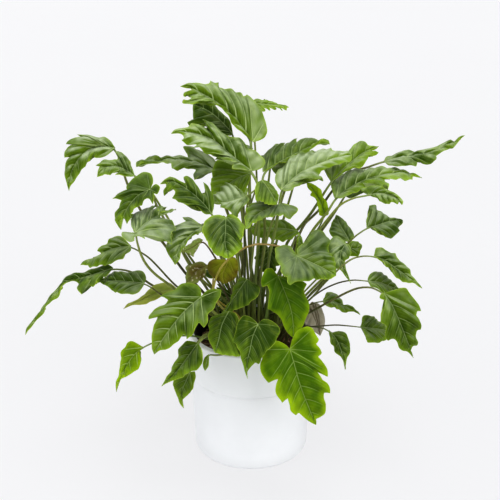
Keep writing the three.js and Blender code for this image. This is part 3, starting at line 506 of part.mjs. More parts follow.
      right: [1.4,130.0,596.8,8.3,116.4,592.3,16.8,107.1,589.1,28.8,114.7,591.1,56.2,115.4,589.0,65.0,124.7,591.4] },
    { stalk: [12.1,46.3,200.8,12.1,46.3,207.8,26.6,41.0,225.3,48.6,68.3,234.8,66.1,99.2,242.8,79.4,131.7,252.1,87.6,165.1,263.8,89.1,198.1,279.0],
      left: [89.1,198.1,279.0,57.1,187.2,284.6,53.8,236.2,272.0,68.1,270.3,254.7,82.5,259.3,256.5,103.9,278.0,239.3,160.8,294.7,198.8],
      rib: [89.1,198.1,279.0,91.7,201.9,277.2,96.7,209.4,273.7,109.6,228.3,264.4,115.1,236.0,259.0,130.9,257.6,242.4,160.8,294.7,198.8],
      right: [89.1,198.1,279.0,96.5,166.3,291.6,141.4,185.0,288.9,164.2,211.9,274.0,146.9,223.3,267.0,162.0,245.2,249.5,160.8,294.7,198.8] },
    { stalk: [15.4,44.5,201.2,15.4,44.5,208.2,19.6,55.7,247.1,28.1,74.1,290.0,39.8,97.8,329.5,53.2,124.7,366.3,66.9,152.3,402.4,79.9,178.3,440.0],
      left: [79.9,178.3,440.0,54.4,173.5,432.6,53.9,211.7,440.8,73.0,237.2,445.6,107.6,248.1,446.4,119.6,263.8,444.0,159.8,267.1,438.2],
      rib: [79.9,178.3,440.0,82.5,181.5,440.9,87.4,187.3,442.4,95.9,197.5,445.2,115.2,219.6,447.5,132.7,238.8,446.0,159.8,267.1,438.2],
      right: [79.9,178.3,440.0,79.3,150.4,438.0,113.6,157.6,453.7,109.1,171.1,451.6,129.8,190.0,456.3,155.0,220.5,454.7,159.8,267.1,438.2] },
    { stalk: [14.2,48.0,201.6,14.2,48.0,208.6,15.3,51.9,252.3,17.2,60.4,302.5,20.2,73.6,351.5,24.2,91.7,398.9,29.2,114.6,444.0,35.1,141.2,487.0],
      left: [35.1,141.2,487.0,21.9,123.6,486.5,-2.9,136.5,479.8,6.6,181.3,471.1,1.1,205.5,460.0,14.9,207.2,462.0,45.1,248.7,442.5],
      rib: [35.1,141.2,487.0,35.2,145.1,486.1,35.4,150.9,484.8,36.3,174.4,479.0,37.8,196.3,471.5,39.9,214.9,462.6,45.1,248.7,442.5],
      right: [35.1,141.2,487.0,51.3,122.5,496.6,71.4,154.3,501.9,75.0,182.1,495.7,75.2,209.1,484.1,54.6,225.8,464.1,45.1,248.7,442.5] },
  ],
  shoot_back_right_low: [
    { stalk: [26.5,32.0,200.4,26.5,32.0,207.4,33.2,33.6,221.7,44.8,39.2,240.6,57.5,47.1,257.9,70.1,56.6,274.5,80.7,66.6,292.1,85.2,75.2,312.6],
      left: [85.2,75.2,312.6,57.5,69.1,313.5,50.3,96.1,316.5,68.7,104.8,315.0,86.6,128.5,308.8,110.7,163.5,288.2,147.5,163.6,267.5],
      rib: [85.2,75.2,312.6,87.4,78.4,312.2,89.8,81.8,311.7,98.7,94.5,310.1,115.4,118.3,302.4,132.3,142.3,288.1,147.5,163.6,267.5],
      right: [85.2,75.2,312.6,86.8,50.2,313.8,117.0,51.3,317.7,145.7,84.1,312.4,147.2,114.6,300.2,150.4,135.7,287.6,147.5,163.6,267.5] },
    { stalk: [24.5,32.2,200.8,24.5,32.2,207.8,37.1,37.4,248.3,59.2,51.5,290.3,86.4,70.6,327.2,115.8,91.5,361.4,144.7,111.6,396.3,170.0,127.5,435.9],
      left: [170.0,127.5,435.9,147.3,127.8,426.8,144.9,162.2,440.3,156.0,173.9,445.9,178.7,175.7,448.6,211.8,201.9,444.2,247.8,198.9,433.5],
      rib: [170.0,127.5,435.9,172.8,130.3,437.4,176.4,133.9,439.3,189.3,146.5,445.8,200.8,157.2,447.5,218.0,173.0,446.6,247.8,198.9,433.5],
      right: [170.0,127.5,435.9,179.2,98.1,433.5,203.7,101.8,448.6,215.0,131.9,453.3,240.0,140.8,455.4,229.9,149.3,453.1,247.8,198.9,433.5] },
    { stalk: [27.8,30.4,201.2,27.8,30.4,208.2,28.6,33.2,251.4,30.4,35.7,301.6,34.2,39.3,351.7,41.2,46.0,401.0,53.3,57.5,448.4,71.1,74.4,492.2],
      left: [71.1,74.4,492.2,48.1,66.1,485.1,33.9,90.8,495.4,52.5,100.8,500.8,63.9,126.8,505.6,89.3,164.2,498.9,125.9,173.5,484.9],
      rib: [71.1,74.4,492.2,72.8,77.6,493.3,75.3,82.2,494.9,81.8,93.9,498.9,89.3,107.6,501.2,103.1,132.6,500.6,125.9,173.5,484.9],
      right: [71.1,74.4,492.2,79.8,50.8,486.6,111.9,60.5,501.1,129.0,84.8,507.6,115.5,94.0,505.7,136.8,110.9,506.3,125.9,173.5,484.9] },
  ],
  shoot_back_centre: [
    { stalk: [-1.0,50.0,200.4,-1.0,50.0,207.4,-9.2,73.5,226.3,-20.6,106.4,242.2,-32.4,140.5,255.1,-44.1,174.3,268.6,-55.2,206.5,286.0,-64.4,233.1,311.6],
      left: [-64.4,233.1,311.6,-95.1,219.6,319.2,-109.5,248.9,319.5,-93.4,251.3,315.0,-110.3,279.6,308.3,-100.6,302.7,289.5,-62.7,330.6,238.0],
      rib: [-64.4,233.1,311.6,-64.2,237.5,310.4,-63.8,243.6,308.6,-63.1,254.7,305.4,-62.4,268.8,299.8,-61.8,286.1,289.8,-62.7,330.6,238.0],
      right: [-64.4,233.1,311.6,-47.5,213.2,314.1,-18.3,239.4,311.1,-17.7,260.8,304.1,-31.9,275.4,296.8,-19.8,288.3,288.1,-62.7,330.6,238.0] },
    { stalk: [-3.0,50.3,200.8,-3.0,50.3,207.8,-5.1,62.6,239.9,-9.8,84.0,274.8,-16.6,110.8,305.6,-24.0,139.8,334.1,-31.3,168.4,363.0,-37.9,194.1,394.8],
      left: [-37.9,194.1,394.8,-46.2,167.7,394.6,-80.9,186.1,394.1,-97.2,212.6,387.8,-102.9,238.9,377.4,-83.0,265.7,368.2,-77.9,293.2,350.5],
      rib: [-37.9,194.1,394.8,-39.6,198.1,394.2,-42.1,203.7,393.4,-47.1,215.0,391.7,-55.1,233.7,386.4,-66.5,262.1,373.4,-77.9,293.2,350.5],
      right: [-37.9,194.1,394.8,-7.2,192.4,400.7,-3.6,220.0,404.2,-17.2,220.6,400.5,-13.1,253.6,398.2,-39.0,265.7,384.9,-77.9,293.2,350.5] },
    { stalk: [0.2,48.4,201.2,0.2,48.4,208.2,-2.7,55.6,255.6,-6.1,66.0,309.5,-10.9,80.9,362.2,-17.2,100.9,413.0,-25.1,125.8,461.4,-34.0,154.1,507.6],
      left: [-34.0,154.1,507.6,-53.8,130.4,517.5,-76.0,151.2,523.2,-81.2,182.9,515.3,-97.6,200.3,512.0,-85.6,208.7,504.8,-83.3,256.8,472.4],
      rib: [-34.0,154.1,507.6,-35.8,158.4,507.2,-38.3,164.5,506.6,-44.9,180.7,504.9,-55.9,204.9,498.9,-65.6,224.6,491.0,-83.3,256.8,472.4],
      right: [-34.0,154.1,507.6,-8.6,144.3,504.0,4.3,180.1,500.6,-13.0,183.1,501.9,-23.5,231.2,489.1,-56.8,239.8,484.5,-83.3,256.8,472.4] },
  ],
  shoot_back_left: [
    { stalk: [-15.9,44.8,200.4,-15.9,44.8,207.4,-18.4,47.0,218.1,-24.7,52.5,234.2,-32.3,59.1,249.3,-40.9,66.6,263.4,-49.8,74.4,277.2,-58.2,81.6,291.6],
      left: [-58.2,81.6,291.6,-77.2,59.8,300.1,-85.4,87.7,302.2,-109.8,107.1,305.1,-96.7,112.4,298.6,-110.6,147.8,279.7,-100.8,172.8,252.1],
      rib: [-58.2,81.6,291.6,-59.5,85.5,291.4,-62.3,93.6,291.0,-70.0,114.2,288.5,-74.2,124.2,285.5,-87.7,151.9,271.7,-100.8,172.8,252.1],
      right: [-58.2,81.6,291.6,-38.9,68.2,287.1,-24.9,101.7,285.6,-45.5,128.8,282.9,-47.0,150.3,274.0,-74.6,159.8,267.2,-100.8,172.8,252.1] },
    { stalk: [-17.9,45.1,200.8,-17.9,45.1,207.8,-21.0,48.3,233.3,-27.3,54.2,265.1,-37.2,62.5,295.3,-49.7,72.8,324.0,-63.7,84.4,351.4,-78.1,96.3,378.5],
      left: [-78.1,96.3,378.5,-93.7,70.2,388.4,-121.5,87.0,383.3,-137.3,110.0,370.4,-124.1,122.2,363.7,-150.3,156.7,331.6,-135.3,186.7,302.8],
      rib: [-78.1,96.3,378.5,-80.3,100.0,376.7,-83.3,104.9,374.3,-90.5,117.0,368.2,-97.5,128.4,361.3,-118.2,161.2,334.2,-135.3,186.7,302.8],
      right: [-78.1,96.3,378.5,-55.4,86.6,385.0,-42.9,115.3,380.5,-60.9,125.2,373.6,-60.3,157.5,360.4,-91.6,180.1,334.0,-135.3,186.7,302.8] },
    { stalk: [-14.6,43.3,201.2,-14.6,43.3,208.2,-16.7,45.2,243.4,-18.6,46.9,285.6,-21.3,48.9,327.8,-26.9,53.0,369.5,-37.4,60.8,409.7,-53.7,72.9,446.7],
      left: [-53.7,72.9,446.7,-64.0,50.8,448.2,-93.0,66.0,436.7,-93.5,97.1,424.8,-102.7,114.9,411.5,-96.8,136.8,399.6,-77.9,165.1,385.7],
      rib: [-53.7,72.9,446.7,-54.8,76.0,445.3,-56.8,81.9,442.7,-61.6,96.3,436.5,-65.5,109.7,429.0,-71.1,130.6,415.5,-77.9,165.1,385.7],
      right: [-53.7,72.9,446.7,-34.8,64.1,457.8,-27.0,95.4,458.2,-36.6,97.8,452.0,-30.4,125.3,447.9,-43.6,144.5,429.9,-77.9,165.1,385.7] },
  ],
  shoot_back_left_low: [
    { stalk: [-27.2,30.4,200.4,-27.2,30.4,207.4,-31.2,41.2,212.6,-38.5,56.4,218.6,-48.3,69.8,225.0,-62.1,70.8,235.1,-73.9,60.5,243.6,-83.5,47.1,250.7],
      left: [-83.5,47.1,250.7,-84.8,17.6,254.1,-111.6,20.2,247.4,-132.9,32.7,233.1,-127.2,45.2,231.6,-144.3,49.2,215.5,-143.3,92.4,173.7],
      rib: [-83.5,47.1,250.7,-87.3,49.5,248.7,-91.9,52.6,246.1,-108.7,63.8,235.0,-121.1,72.6,222.8,-128.6,78.6,211.1,-143.3,92.4,173.7],
      right: [-83.5,47.1,250.7,-61.2,59.2,259.9,-76.1,84.6,256.1,-102.2,92.2,237.5,-120.6,104.0,212.9,-129.9,95.0,202.7,-143.3,92.4,173.7] },
    { stalk: [-29.2,30.7,200.8,-29.2,30.7,207.8,-39.8,41.4,230.7,-54.2,48.3,260.4,-71.6,51.1,289.2,-90.6,51.9,317.2,-109.2,53.6,345.3,-125.1,59.7,374.5],
      left: [-125.1,59.7,374.5,-112.2,41.5,368.8,-137.3,28.3,388.4,-163.7,31.6,401.1,-165.1,45.5,398.6,-187.9,41.0,408.0,-228.6,81.9,406.9],
      rib: [-125.1,59.7,374.5,-128.2,60.4,376.0,-132.3,61.4,378.1,-149.8,65.7,387.0,-160.1,68.0,390.9,-174.4,71.2,396.3,-228.6,81.9,406.9],
      right: [-125.1,59.7,374.5,-107.7,72.2,365.0,-108.7,83.7,366.5,-141.4,101.4,386.3,-156.1,92.8,391.4,-174.5,104.4,397.9,-228.6,81.9,406.9] },
  ],
  shoot_centre_low: [
    { stalk: [-37.9,19.0,200.4,-37.9,19.0,207.4,-41.8,16.4,213.2,-47.9,12.9,224.9,-44.8,16.3,237.8,-38.8,22.2,248.7,-32.4,29.1,259.0,-28.2,35.7,270.3],
      left: [-28.2,35.7,270.3,-19.9,32.6,261.9,-28.6,24.7,250.3,-36.1,26.7,255.3,-47.9,22.9,248.1,-58.5,26.7,251.8,-80.2,44.7,269.2],
      rib: [-28.2,35.7,270.3,-29.8,35.7,270.4,-32.2,35.7,270.5,-35.1,35.6,270.7,-40.6,35.6,271.1,-54.3,37.0,271.2,-80.2,44.7,269.2],
      right: [-28.2,35.7,270.3,-19.1,40.1,279.3,-30.7,43.1,293.5,-35.0,40.4,285.7,-44.7,44.8,297.8,-57.7,42.8,286.2,-80.2,44.7,269.2] },
    { stalk: [-39.9,19.3,200.8,-39.9,19.3,207.8,-44.4,17.9,213.9,-48.5,29.2,220.9,-46.9,42.9,225.4,-41.5,55.6,230.0,-33.5,66.7,235.0,-23.1,75.4,240.1],
      left: [-23.1,75.4,240.1,-37.1,78.4,240.5,-38.2,84.7,258.2,-27.2,83.7,259.7,-21.3,90.1,274.3,-7.3,92.3,277.0,30.9,96.2,269.7],
      rib: [-23.1,75.4,240.1,-21.5,75.7,241.2,-18.9,76.1,243.0,-15.8,76.7,245.1,-9.9,77.7,249.1,3.9,82.1,257.4,30.9,96.2,269.7],
      right: [-23.1,75.4,240.1,-25.2,68.6,226.1,-4.8,61.1,225.7,-6.1,66.9,234.4,11.9,61.9,232.4,17.4,74.0,248.3,30.9,96.2,269.7] },
  ],
  leaf_centre_inner: [
    { stalk: [-12.3,19.7,200.4,-12.3,19.7,207.4,-13.2,21.8,230.8,-9.1,20.6,261.0,-0.6,17.0,290.0,10.5,12.7,318.1,21.8,10.2,346.3,29.3,13.8,375.5],
      left: [29.3,13.8,375.5,36.7,15.8,384.3,48.8,8.4,378.4,44.4,6.5,370.7,52.0,0.2,360.8,44.2,2.4,359.9,48.4,-2.1,349.9,30.3,-1.6,323.9],
      rib: [29.3,13.8,375.5,29.3,13.2,374.0,29.3,12.2,371.6,29.2,11.0,368.7,29.2,8.6,363.0,29.3,7.1,358.7,29.4,4.2,349.9,30.3,-1.6,323.9],
      right: [29.3,13.8,375.5,20.0,18.7,382.9,7.6,14.0,371.2,15.3,11.9,367.9,4.2,9.0,357.6,14.5,7.6,356.3,15.3,4.4,346.0,30.3,-1.6,323.9] },
  ],};
const TONE = {
  leaf_old_yellow: 0x7a6a1e,
  leaf_pair_withered: 0x7c6a3a,
  leaf_dried_tan: 0xa8967c,
  leaf_left_yellow_tip: 0x8f9a2c,
  leaf_young_upright: 0x7fa81e,
  leaf_front_bright: 0x6d9c22,
  leaf_front_lobed: 0x6f9a26,
  leaf_left_low_young: 0x7c9c22,
};
const LEAF_GREEN = 0x4a7a2a;

// ---- pot, growing pot and bark mix ----------------------------------------------------------------
const wallAt = (z) => outerRadius(z) - POT_WALL;
const potProfile = [
  [0, 0],
  [POT_FOOT_RADIUS - POT_FOOT_FILLET, 0],
  ...arc(POT_FOOT_RADIUS - POT_FOOT_FILLET, POT_FOOT_FILLET, POT_FOOT_FILLET, -68, 0, 3),
  [outerRadius(BAND_BOTTOM), BAND_BOTTOM],
  [outerRadius(BAND_BOTTOM) + BAND_PROUD * 0.6, BAND_BOTTOM + 0.4],
  [outerRadius(BAND_BOTTOM) + BAND_PROUD, BAND_BOTTOM + BAND_ROUND],
  [POT_RIM_RADIUS, POT_HEIGHT - 2],
  [POT_RIM_RADIUS - 2, POT_HEIGHT],
  [wallAt(POT_HEIGHT) + 1.5, POT_HEIGHT],
  [wallAt(POT_HEIGHT), POT_HEIGHT - 1.5],
  [wallAt(POT_FLOOR + 6), POT_FLOOR + 6],
  [wallAt(POT_FLOOR + 6) - 6, POT_FLOOR],
  [0, POT_FLOOR],
];
const linerOuter = (z) => LINER_FOOT_RADIUS + ((LINER_RADIUS - LINER_FOOT_RADIUS) * (z - POT_FLOOR)) / (LINER_RIM_Z - POT_FLOOR);
const LINER_BASE = POT_FLOOR + SOIL_CLEAR;
const linerProfile = [
  [0, LINER_BASE],
  [linerOuter(LINER_BASE), LINER_BASE],
  [linerOuter(LINER_RIM_Z), LINER_RIM_Z],
  [linerOuter(LINER_RIM_Z) - LINER_WALL, LINER_RIM_Z],
  [linerOuter(LINER_BASE + LINER_WALL) - LINER_WALL, LINER_BASE + LINER_WALL],
  [0, LINER_BASE + LINER_WALL],
];
const SOIL_BASE = LINER_BASE + LINER_WALL + SOIL_CLEAR;
const soilEdge = (z) => linerOuter(z) - LINER_WALL - SOIL_CLEAR;
const soilProfile = [
  [0, SOIL_BASE],
  [soilEdge(SOIL_BASE), SOIL_BASE],
  [soilEdge(SOIL_TOP), SOIL_TOP],
  [0, SOIL_TOP],
];

// ---- the whole ------------------------------------------------------------------------------------
const group = new THREE.Group();
const addMesh = (name, geometry, color, roughness) => {
  const mesh = new THREE.Mesh(geometry, new THREE.MeshStandardMaterial({ color, roughness, metalness: 0 }));
  mesh.name = name;
  group.add(mesh);
};
addMesh("pot", geometryOf(outward(lathe(potProfile, 36))), 0xf2f2f0, 0.75);
addMesh("growing_pot", geometryOf(outward(lathe(linerProfile))), 0x161616, 0.6);
addMesh("bark_mix", geometryOf(outward(lathe(soilProfile))), 0x3a2a1e, 0.95);
for (const [name, leaves] of Object.entries(LEAVES)) addMesh(name, leaf(leaves), TONE[name] ?? LEAF_GREEN, 0.45);

export default group;
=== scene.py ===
"""Philodendron xanadu in its pot: the finished surfaces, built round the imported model. Blender 4.5, metres.

The leaves are grown from the same curves as the solids: stalk, left edge, midrib and right edge. Rows of the surface
follow the side veins, so the lobes, the swelling between the veins and the vein colours all share one pattern.
"""

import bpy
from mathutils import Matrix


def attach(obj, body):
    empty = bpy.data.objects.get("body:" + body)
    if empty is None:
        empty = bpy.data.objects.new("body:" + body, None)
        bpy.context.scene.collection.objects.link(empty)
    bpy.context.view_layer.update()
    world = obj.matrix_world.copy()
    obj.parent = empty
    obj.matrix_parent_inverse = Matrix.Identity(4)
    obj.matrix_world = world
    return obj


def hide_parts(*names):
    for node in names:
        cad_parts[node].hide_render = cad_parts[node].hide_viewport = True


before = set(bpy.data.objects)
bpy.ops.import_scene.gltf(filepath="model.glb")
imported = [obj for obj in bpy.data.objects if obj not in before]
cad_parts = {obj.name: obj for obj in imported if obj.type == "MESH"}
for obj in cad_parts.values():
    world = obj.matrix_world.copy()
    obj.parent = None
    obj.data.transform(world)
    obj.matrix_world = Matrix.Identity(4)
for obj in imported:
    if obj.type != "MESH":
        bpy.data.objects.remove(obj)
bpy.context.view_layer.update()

import math

import bpy
import numpy as np
from mathutils import Matrix, Vector

MM = 0.001

# ---- the camera --------------------------------------------------------------------------------
ELEVATION = math.radians(24.0)
AIM = Vector((-0.002, 0.0, 0.378))
DISTANCE = 2.4
FOCAL = 36.0 * 1413.0 / 500.0  # millimetres on a 36 mm square frame

camera_data = bpy.data.cameras.new("camera")
camera_data.sensor_width = 36.0
camera_data.sensor_height = 36.0
camera_data.sensor_fit = "AUTO"
camera_data.lens = FOCAL
camera_data.clip_start = 0.05
camera_data.clip_end = 60.0
camera = bpy.data.objects.new("camera", camera_data)
bpy.context.scene.collection.objects.link(camera)
looking = Vector((0, math.cos(ELEVATION), -math.sin(ELEVATION)))
camera.location = AIM - looking * DISTANCE
camera.rotation_euler = looking.to_track_quat("-Z", "Y").to_euler()
bpy.context.scene.camera = camera

# For each piece, its leaves. For each leaf: its kind and tone, then the stalk's centre line from the bark to the blade, and the blade's
# left edge, midrib and right edge from the stalk to the tip, point by point, as x, y, z in millimetres.
LEAVES = {
    "leaf_crown_top": [
        ("green", 0.34, [20.2,28.0,200.4,19.0,28.1,226.5,16.7,28.4,252.4,13.0,28.8,278.0,5.9,29.6,303.4,-0.1,30.4,328.8,-1.1,30.7,354.5,-0.6,31.0,380.5,-0.3,31.1,406.6,-0.8,31.0,432.6,-2.1,31.0,458.6,-2.8,30.8,484.6,-2.8,30.6,510.6,-2.7,30.3,536.8,3.0,30.0,561.5],
         [3.0,30.0,561.5,-8.7,34.2,570.6,-30.3,44.6,588.0,-43.8,58.8,602.6,-62.3,68.6,615.1,-74.0,70.0,619.9,-83.8,62.0,619.0,-100.3,57.3,620.5,-115.3,59.9,624.0,-98.9,67.2,626.1,-105.7,72.6,629.5,-113.9,68.9,629.0,-112.4,74.2,632.5,-99.3,80.7,634.0,-101.0,84.3,636.3,-119.5,85.1,640.4],
         [3.0,30.0,561.5,-13.7,45.5,580.7,-32.1,60.4,598.5,-55.7,72.6,615.5,-80.9,81.1,628.6,-101.1,86.0,637.5,-119.5,85.1,640.4],
         [3.0,30.0,561.5,11.3,33.5,562.0,21.4,40.4,564.9,26.5,50.1,572.0,23.2,66.6,587.6,16.5,78.1,599.6,8.1,86.4,609.3,-2.0,93.9,619.2,-7.1,97.2,623.4,-13.8,89.7,618.8,-18.9,94.5,624.3,-27.3,95.7,627.5,-37.5,97.2,632.2,-47.6,97.1,634.9,-54.3,96.1,636.1,-62.8,104.5,644.9,-69.5,103.6,646.0,-71.1,97.1,641.1,-86.2,94.1,642.0,-101.2,93.2,644.9,-109.5,89.7,643.4,-119.5,85.1,640.4]),
    ],
    "leaf_top_shaded": [
        ("green", 0.12, [-11.1,31.7,200.4,-11.4,32.3,234.2,-11.4,32.4,266.2,-11.3,32.1,296.7,-11.1,31.7,325.7,-11.0,31.6,353.3,-11.1,31.7,379.6,-11.5,32.6,404.9,-12.3,34.2,429.1,-13.5,37.0,452.5,-15.3,41.0,475.0,-17.9,46.6,496.9,-21.2,54.0,518.3,-25.5,63.4,539.2,-30.8,75.0,559.8],
         [-30.8,75.0,559.8,-44.4,72.9,555.1,-63.3,86.4,561.2,-75.4,94.5,563.8,-89.3,103.3,566.1,-104.9,107.3,563.0,-110.3,116.2,567.2,-105.2,118.7,570.8,-100.0,117.7,572.1,-100.3,132.0,581.7,-100.7,144.5,590.3],
         [-30.8,75.0,559.8,-49.8,98.2,573.3,-70.7,120.5,583.8,-100.7,144.5,590.3],
         [-30.8,75.0,559.8,-36.1,96.7,575.6,-51.7,115.5,585.4,-67.5,135.0,595.2,-83.3,143.8,595.9,-100.7,144.5,590.3]),
    ],
    "leaf_top_broad": [
        ("green", 0.36, [4.0,-13.0,200.4,4.2,-13.2,223.9,4.6,-13.7,247.3,5.1,-14.4,270.8,5.9,-15.8,294.2,7.0,-17.4,317.6,8.3,-18.1,341.0,10.1,-18.2,364.4,11.5,-18.2,387.8,12.3,-17.8,411.2,12.9,-17.0,434.7,12.9,-16.1,458.1,12.0,-14.8,481.6,10.2,-13.5,505.2,1.3,-12.0,525.9],
         [1.3,-12.0,525.9,-11.9,-15.3,528.9,-23.4,-18.0,531.7,-31.5,-19.3,533.9,-28.3,-9.7,539.1,-38.2,-10.0,542.7,-48.0,-10.8,545.6,-59.4,-12.3,548.8,-51.4,-6.1,550.0,-66.0,-9.4,553.0,-79.2,-7.1,557.3,-90.8,-3.4,561.2,-99.0,-2.3,563.4,-89.3,3.0,565.0,-100.8,3.8,567.3,-115.7,8.2,571.0,-111.0,13.9,574.2,-114.4,18.2,577.9,-132.6,20.0,579.9],
         [1.3,-12.0,525.9,-18.5,-4.7,539.0,-38.3,5.4,552.8,-59.9,16.9,567.9,-83.1,22.5,576.4,-107.9,23.4,581.4,-132.6,20.0,579.9],
         [1.3,-12.0,525.9,11.2,-10.1,526.9,19.5,-5.8,530.6,22.8,1.6,538.4,14.5,7.2,546.9,4.6,11.6,554.0,-3.7,11.8,555.7,-11.9,19.3,565.3,-18.6,23.6,570.8,-26.9,22.9,571.0,-38.5,24.7,573.9,-53.4,31.4,583.8,-65.1,38.5,593.6,-76.8,41.6,599.6,-81.7,39.5,598.5,-75.1,36.7,592.5,-73.3,31.2,585.7,-84.9,33.1,590.2,-99.8,33.6,592.7,-104.7,29.0,587.3,-121.2,25.5,586.7,-127.7,23.5,584.8,-132.6,20.0,579.9]),
    ],
    "leaf_top_left_long": [
        ("green", 0.22, [-24.2,16.9,200.4,-23.8,16.9,222.8,-23.1,17.0,245.3,-22.1,17.1,267.7,-20.6,17.2,290.1,-18.0,17.3,312.8,-15.4,17.5,335.2,-14.0,17.8,357.1,-17.6,19.9,378.2,-27.1,25.2,398.7,-35.3,31.0,419.1,-42.2,37.7,439.3,-48.8,45.3,459.5,-54.7,53.2,479.6,-59.9,61.6,499.7],
         [-59.9,61.6,499.7,-70.0,54.7,499.6,-78.3,48.0,499.5,-86.3,32.9,498.9,-95.0,18.0,498.4,-93.9,59.7,500.5,-112.8,64.9,501.2,-135.1,67.0,502.2,-137.4,80.2,502.8,-156.6,85.8,503.4,-170.2,83.2,503.4,-185.3,77.8,503.6,-196.4,66.3,503.4],
         [-59.9,61.6,499.7,-79.2,81.7,501.3,-101.9,93.4,502.4,-131.5,100.3,503.5,-160.4,92.5,503.6,-196.4,66.3,503.4],
         [-59.9,61.6,499.7,-58.8,88.7,502.3,-73.2,116.5,504.9,-91.3,138.4,507.1,-107.3,146.1,508.0,-119.3,137.9,507.2,-111.8,124.4,505.7,-109.6,112.7,504.5,-130.5,116.0,505.1,-149.4,111.2,505.0,-160.8,98.3,504.2,-173.4,107.5,505.4,-183.1,96.4,504.9,-196.1,86.8,504.9,-196.4,66.3,503.4]),
    ],
    "leaf_top_right_arched": [
        ("green", 0.25, [-1.6,15.2,200.4,-0.9,13.8,224.1,0.5,11.0,247.5,2.4,7.5,270.4,4.8,2.5,292.9,8.9,-6.5,314.8,13.6,-16.6,336.4,17.8,-24.2,358.2,20.3,-26.2,380.7,22.1,-23.5,404.1,23.0,-18.8,427.3,21.9,-11.9,449.2,19.0,-1.4,470.4,18.2,9.8,491.1,19.8,22.0,511.2],
         [19.8,22.0,511.2,18.3,53.7,515.4,21.9,81.4,519.6,28.9,94.3,522.2,35.8,98.1,523.5,42.9,109.5,525.8,51.8,124.8,528.6,58.8,125.0,529.4,56.6,106.4,526.9,67.4,122.9,530.2,76.2,128.9,531.7,81.4,127.8,532.1,79.1,108.9,529.7,91.5,120.1,532.1,103.8,126.3,534.5,112.3,121.0,534.5,118.9,112.9,533.8,127.8,119.8,534.9,132.8,115.5,534.7,135.5,100.4,532.7],
         [19.8,22.0,511.2,38.4,41.3,516.4,60.8,60.8,521.8,85.1,81.0,527.0,108.0,99.1,531.4,135.5,100.4,532.7],
         [19.8,22.0,511.2,31.6,29.8,513.6,45.2,43.6,517.4,60.5,46.9,518.8,76.1,62.6,522.9,93.4,74.2,525.9,104.1,88.1,529.0,113.1,98.9,531.5,123.9,109.0,533.3,135.5,100.4,532.7]),
    ],
    "leaf_top_right_broad": [
        ("green", 0.42, [28.0,-7.5,200.4,28.0,-7.9,222.2,28.1,-8.8,244.0,28.1,-10.0,265.8,28.2,-11.6,287.5,28.2,-14.1,309.2,28.3,-16.9,330.9,28.5,-19.5,352.5,30.5,-21.8,374.0,34.5,-24.2,395.4,38.4,-26.7,416.8,42.3,-29.4,438.1,44.6,-32.2,459.5,47.1,-35.1,481.0,48.8,-38.1,502.5],
         [48.8,-38.1,502.5,42.4,-27.4,505.4,39.3,-11.3,509.7,41.2,5.0,514.1,46.4,19.0,517.7,58.4,33.6,521.1,69.0,51.3,525.3,82.8,64.1,527.8,96.8,74.0,529.6,108.9,79.8,530.2,122.9,86.3,530.6,136.6,87.3,530.2,137.8,76.9,527.6,153.3,79.2,526.8,165.5,82.8,526.4,171.7,71.9,523.1],
         [48.8,-38.1,502.5,65.8,-11.4,509.8,86.4,14.3,515.9,112.3,36.5,520.0,142.0,57.8,522.9,171.7,71.9,523.1],
         [48.8,-38.1,502.5,57.0,-38.9,501.1,66.8,-37.2,500.4,70.3,-29.6,502.7,80.4,-22.9,503.6,85.6,-12.5,506.6,95.7,-8.2,506.7,105.8,-3.6,506.7,121.1,2.2,506.3,113.1,12.4,511.3,118.5,21.8,513.9,135.9,34.3,515.5,153.4,48.4,517.4,169.3,59.0,518.8,171.7,71.9,523.1]),
    ],
    "leaf_right_back_tall": [
        ("green", 0.5, [43.4,26.7,200.4,43.9,27.2,222.3,45.0,28.3,244.1,46.4,29.6,265.8,48.1,31.4,287.5,50.2,34.2,309.6,53.0,37.6,331.5,56.8,41.0,352.5,62.4,43.6,372.0,75.3,45.7,389.7,89.4,47.7,407.0,102.5,49.8,424.3,114.0,51.8,442.6,125.2,53.9,461.3,136.1,55.9,480.1],
         [136.1,55.9,480.1,131.4,66.3,487.0,124.9,76.7,494.0,141.0,92.0,501.1,158.9,106.6,506.7,172.0,124.6,514.9,181.4,138.2,521.0,190.6,145.1,523.2,199.3,143.9,520.9,207.7,137.7,515.7,223.9,141.6,514.3],
         [136.1,55.9,480.1,152.4,76.4,490.5,172.4,98.7,500.4,194.5,120.8,508.9,223.9,141.6,514.3],
         [136.1,55.9,480.1,146.7,64.4,484.1,162.9,79.8,491.0,178.8,87.9,493.4,191.3,94.1,494.8,200.7,107.7,500.8,204.8,117.0,504.7,215.4,119.3,503.9,223.0,127.9,507.2,208.9,128.0,509.9,223.9,141.6,514.3]),
    ],
    "leaf_right_long": [
        ("green", 0.42, [36.5,15.6,200.4,37.9,15.5,221.3,40.7,15.1,242.0,44.3,14.7,262.3,48.4,14.2,282.3,53.3,13.5,302.0,60.1,12.3,321.4,68.2,11.0,340.6,77.4,9.7,359.5,87.0,8.8,378.0,96.7,8.7,396.1,107.5,12.2,413.4,120.4,16.1,429.1,132.7,20.4,445.1,141.7,24.9,463.1],
         [141.7,24.9,463.1,137.5,43.9,468.3,136.7,63.7,473.3,144.5,82.1,477.2,156.9,89.7,478.0,168.1,102.7,480.4,179.3,115.9,482.9,200.5,119.1,481.7,221.9,124.5,481.5,239.4,124.0,479.8,255.2,124.4,478.7,272.4,119.7,475.8,283.8,110.0,472.1,297.1,103.2,469.1],
         [141.7,24.9,463.1,161.7,49.7,467.8,187.3,76.1,472.2,218.2,97.8,474.9,252.4,111.7,475.2,277.0,112.0,473.2,297.1,103.2,469.1],
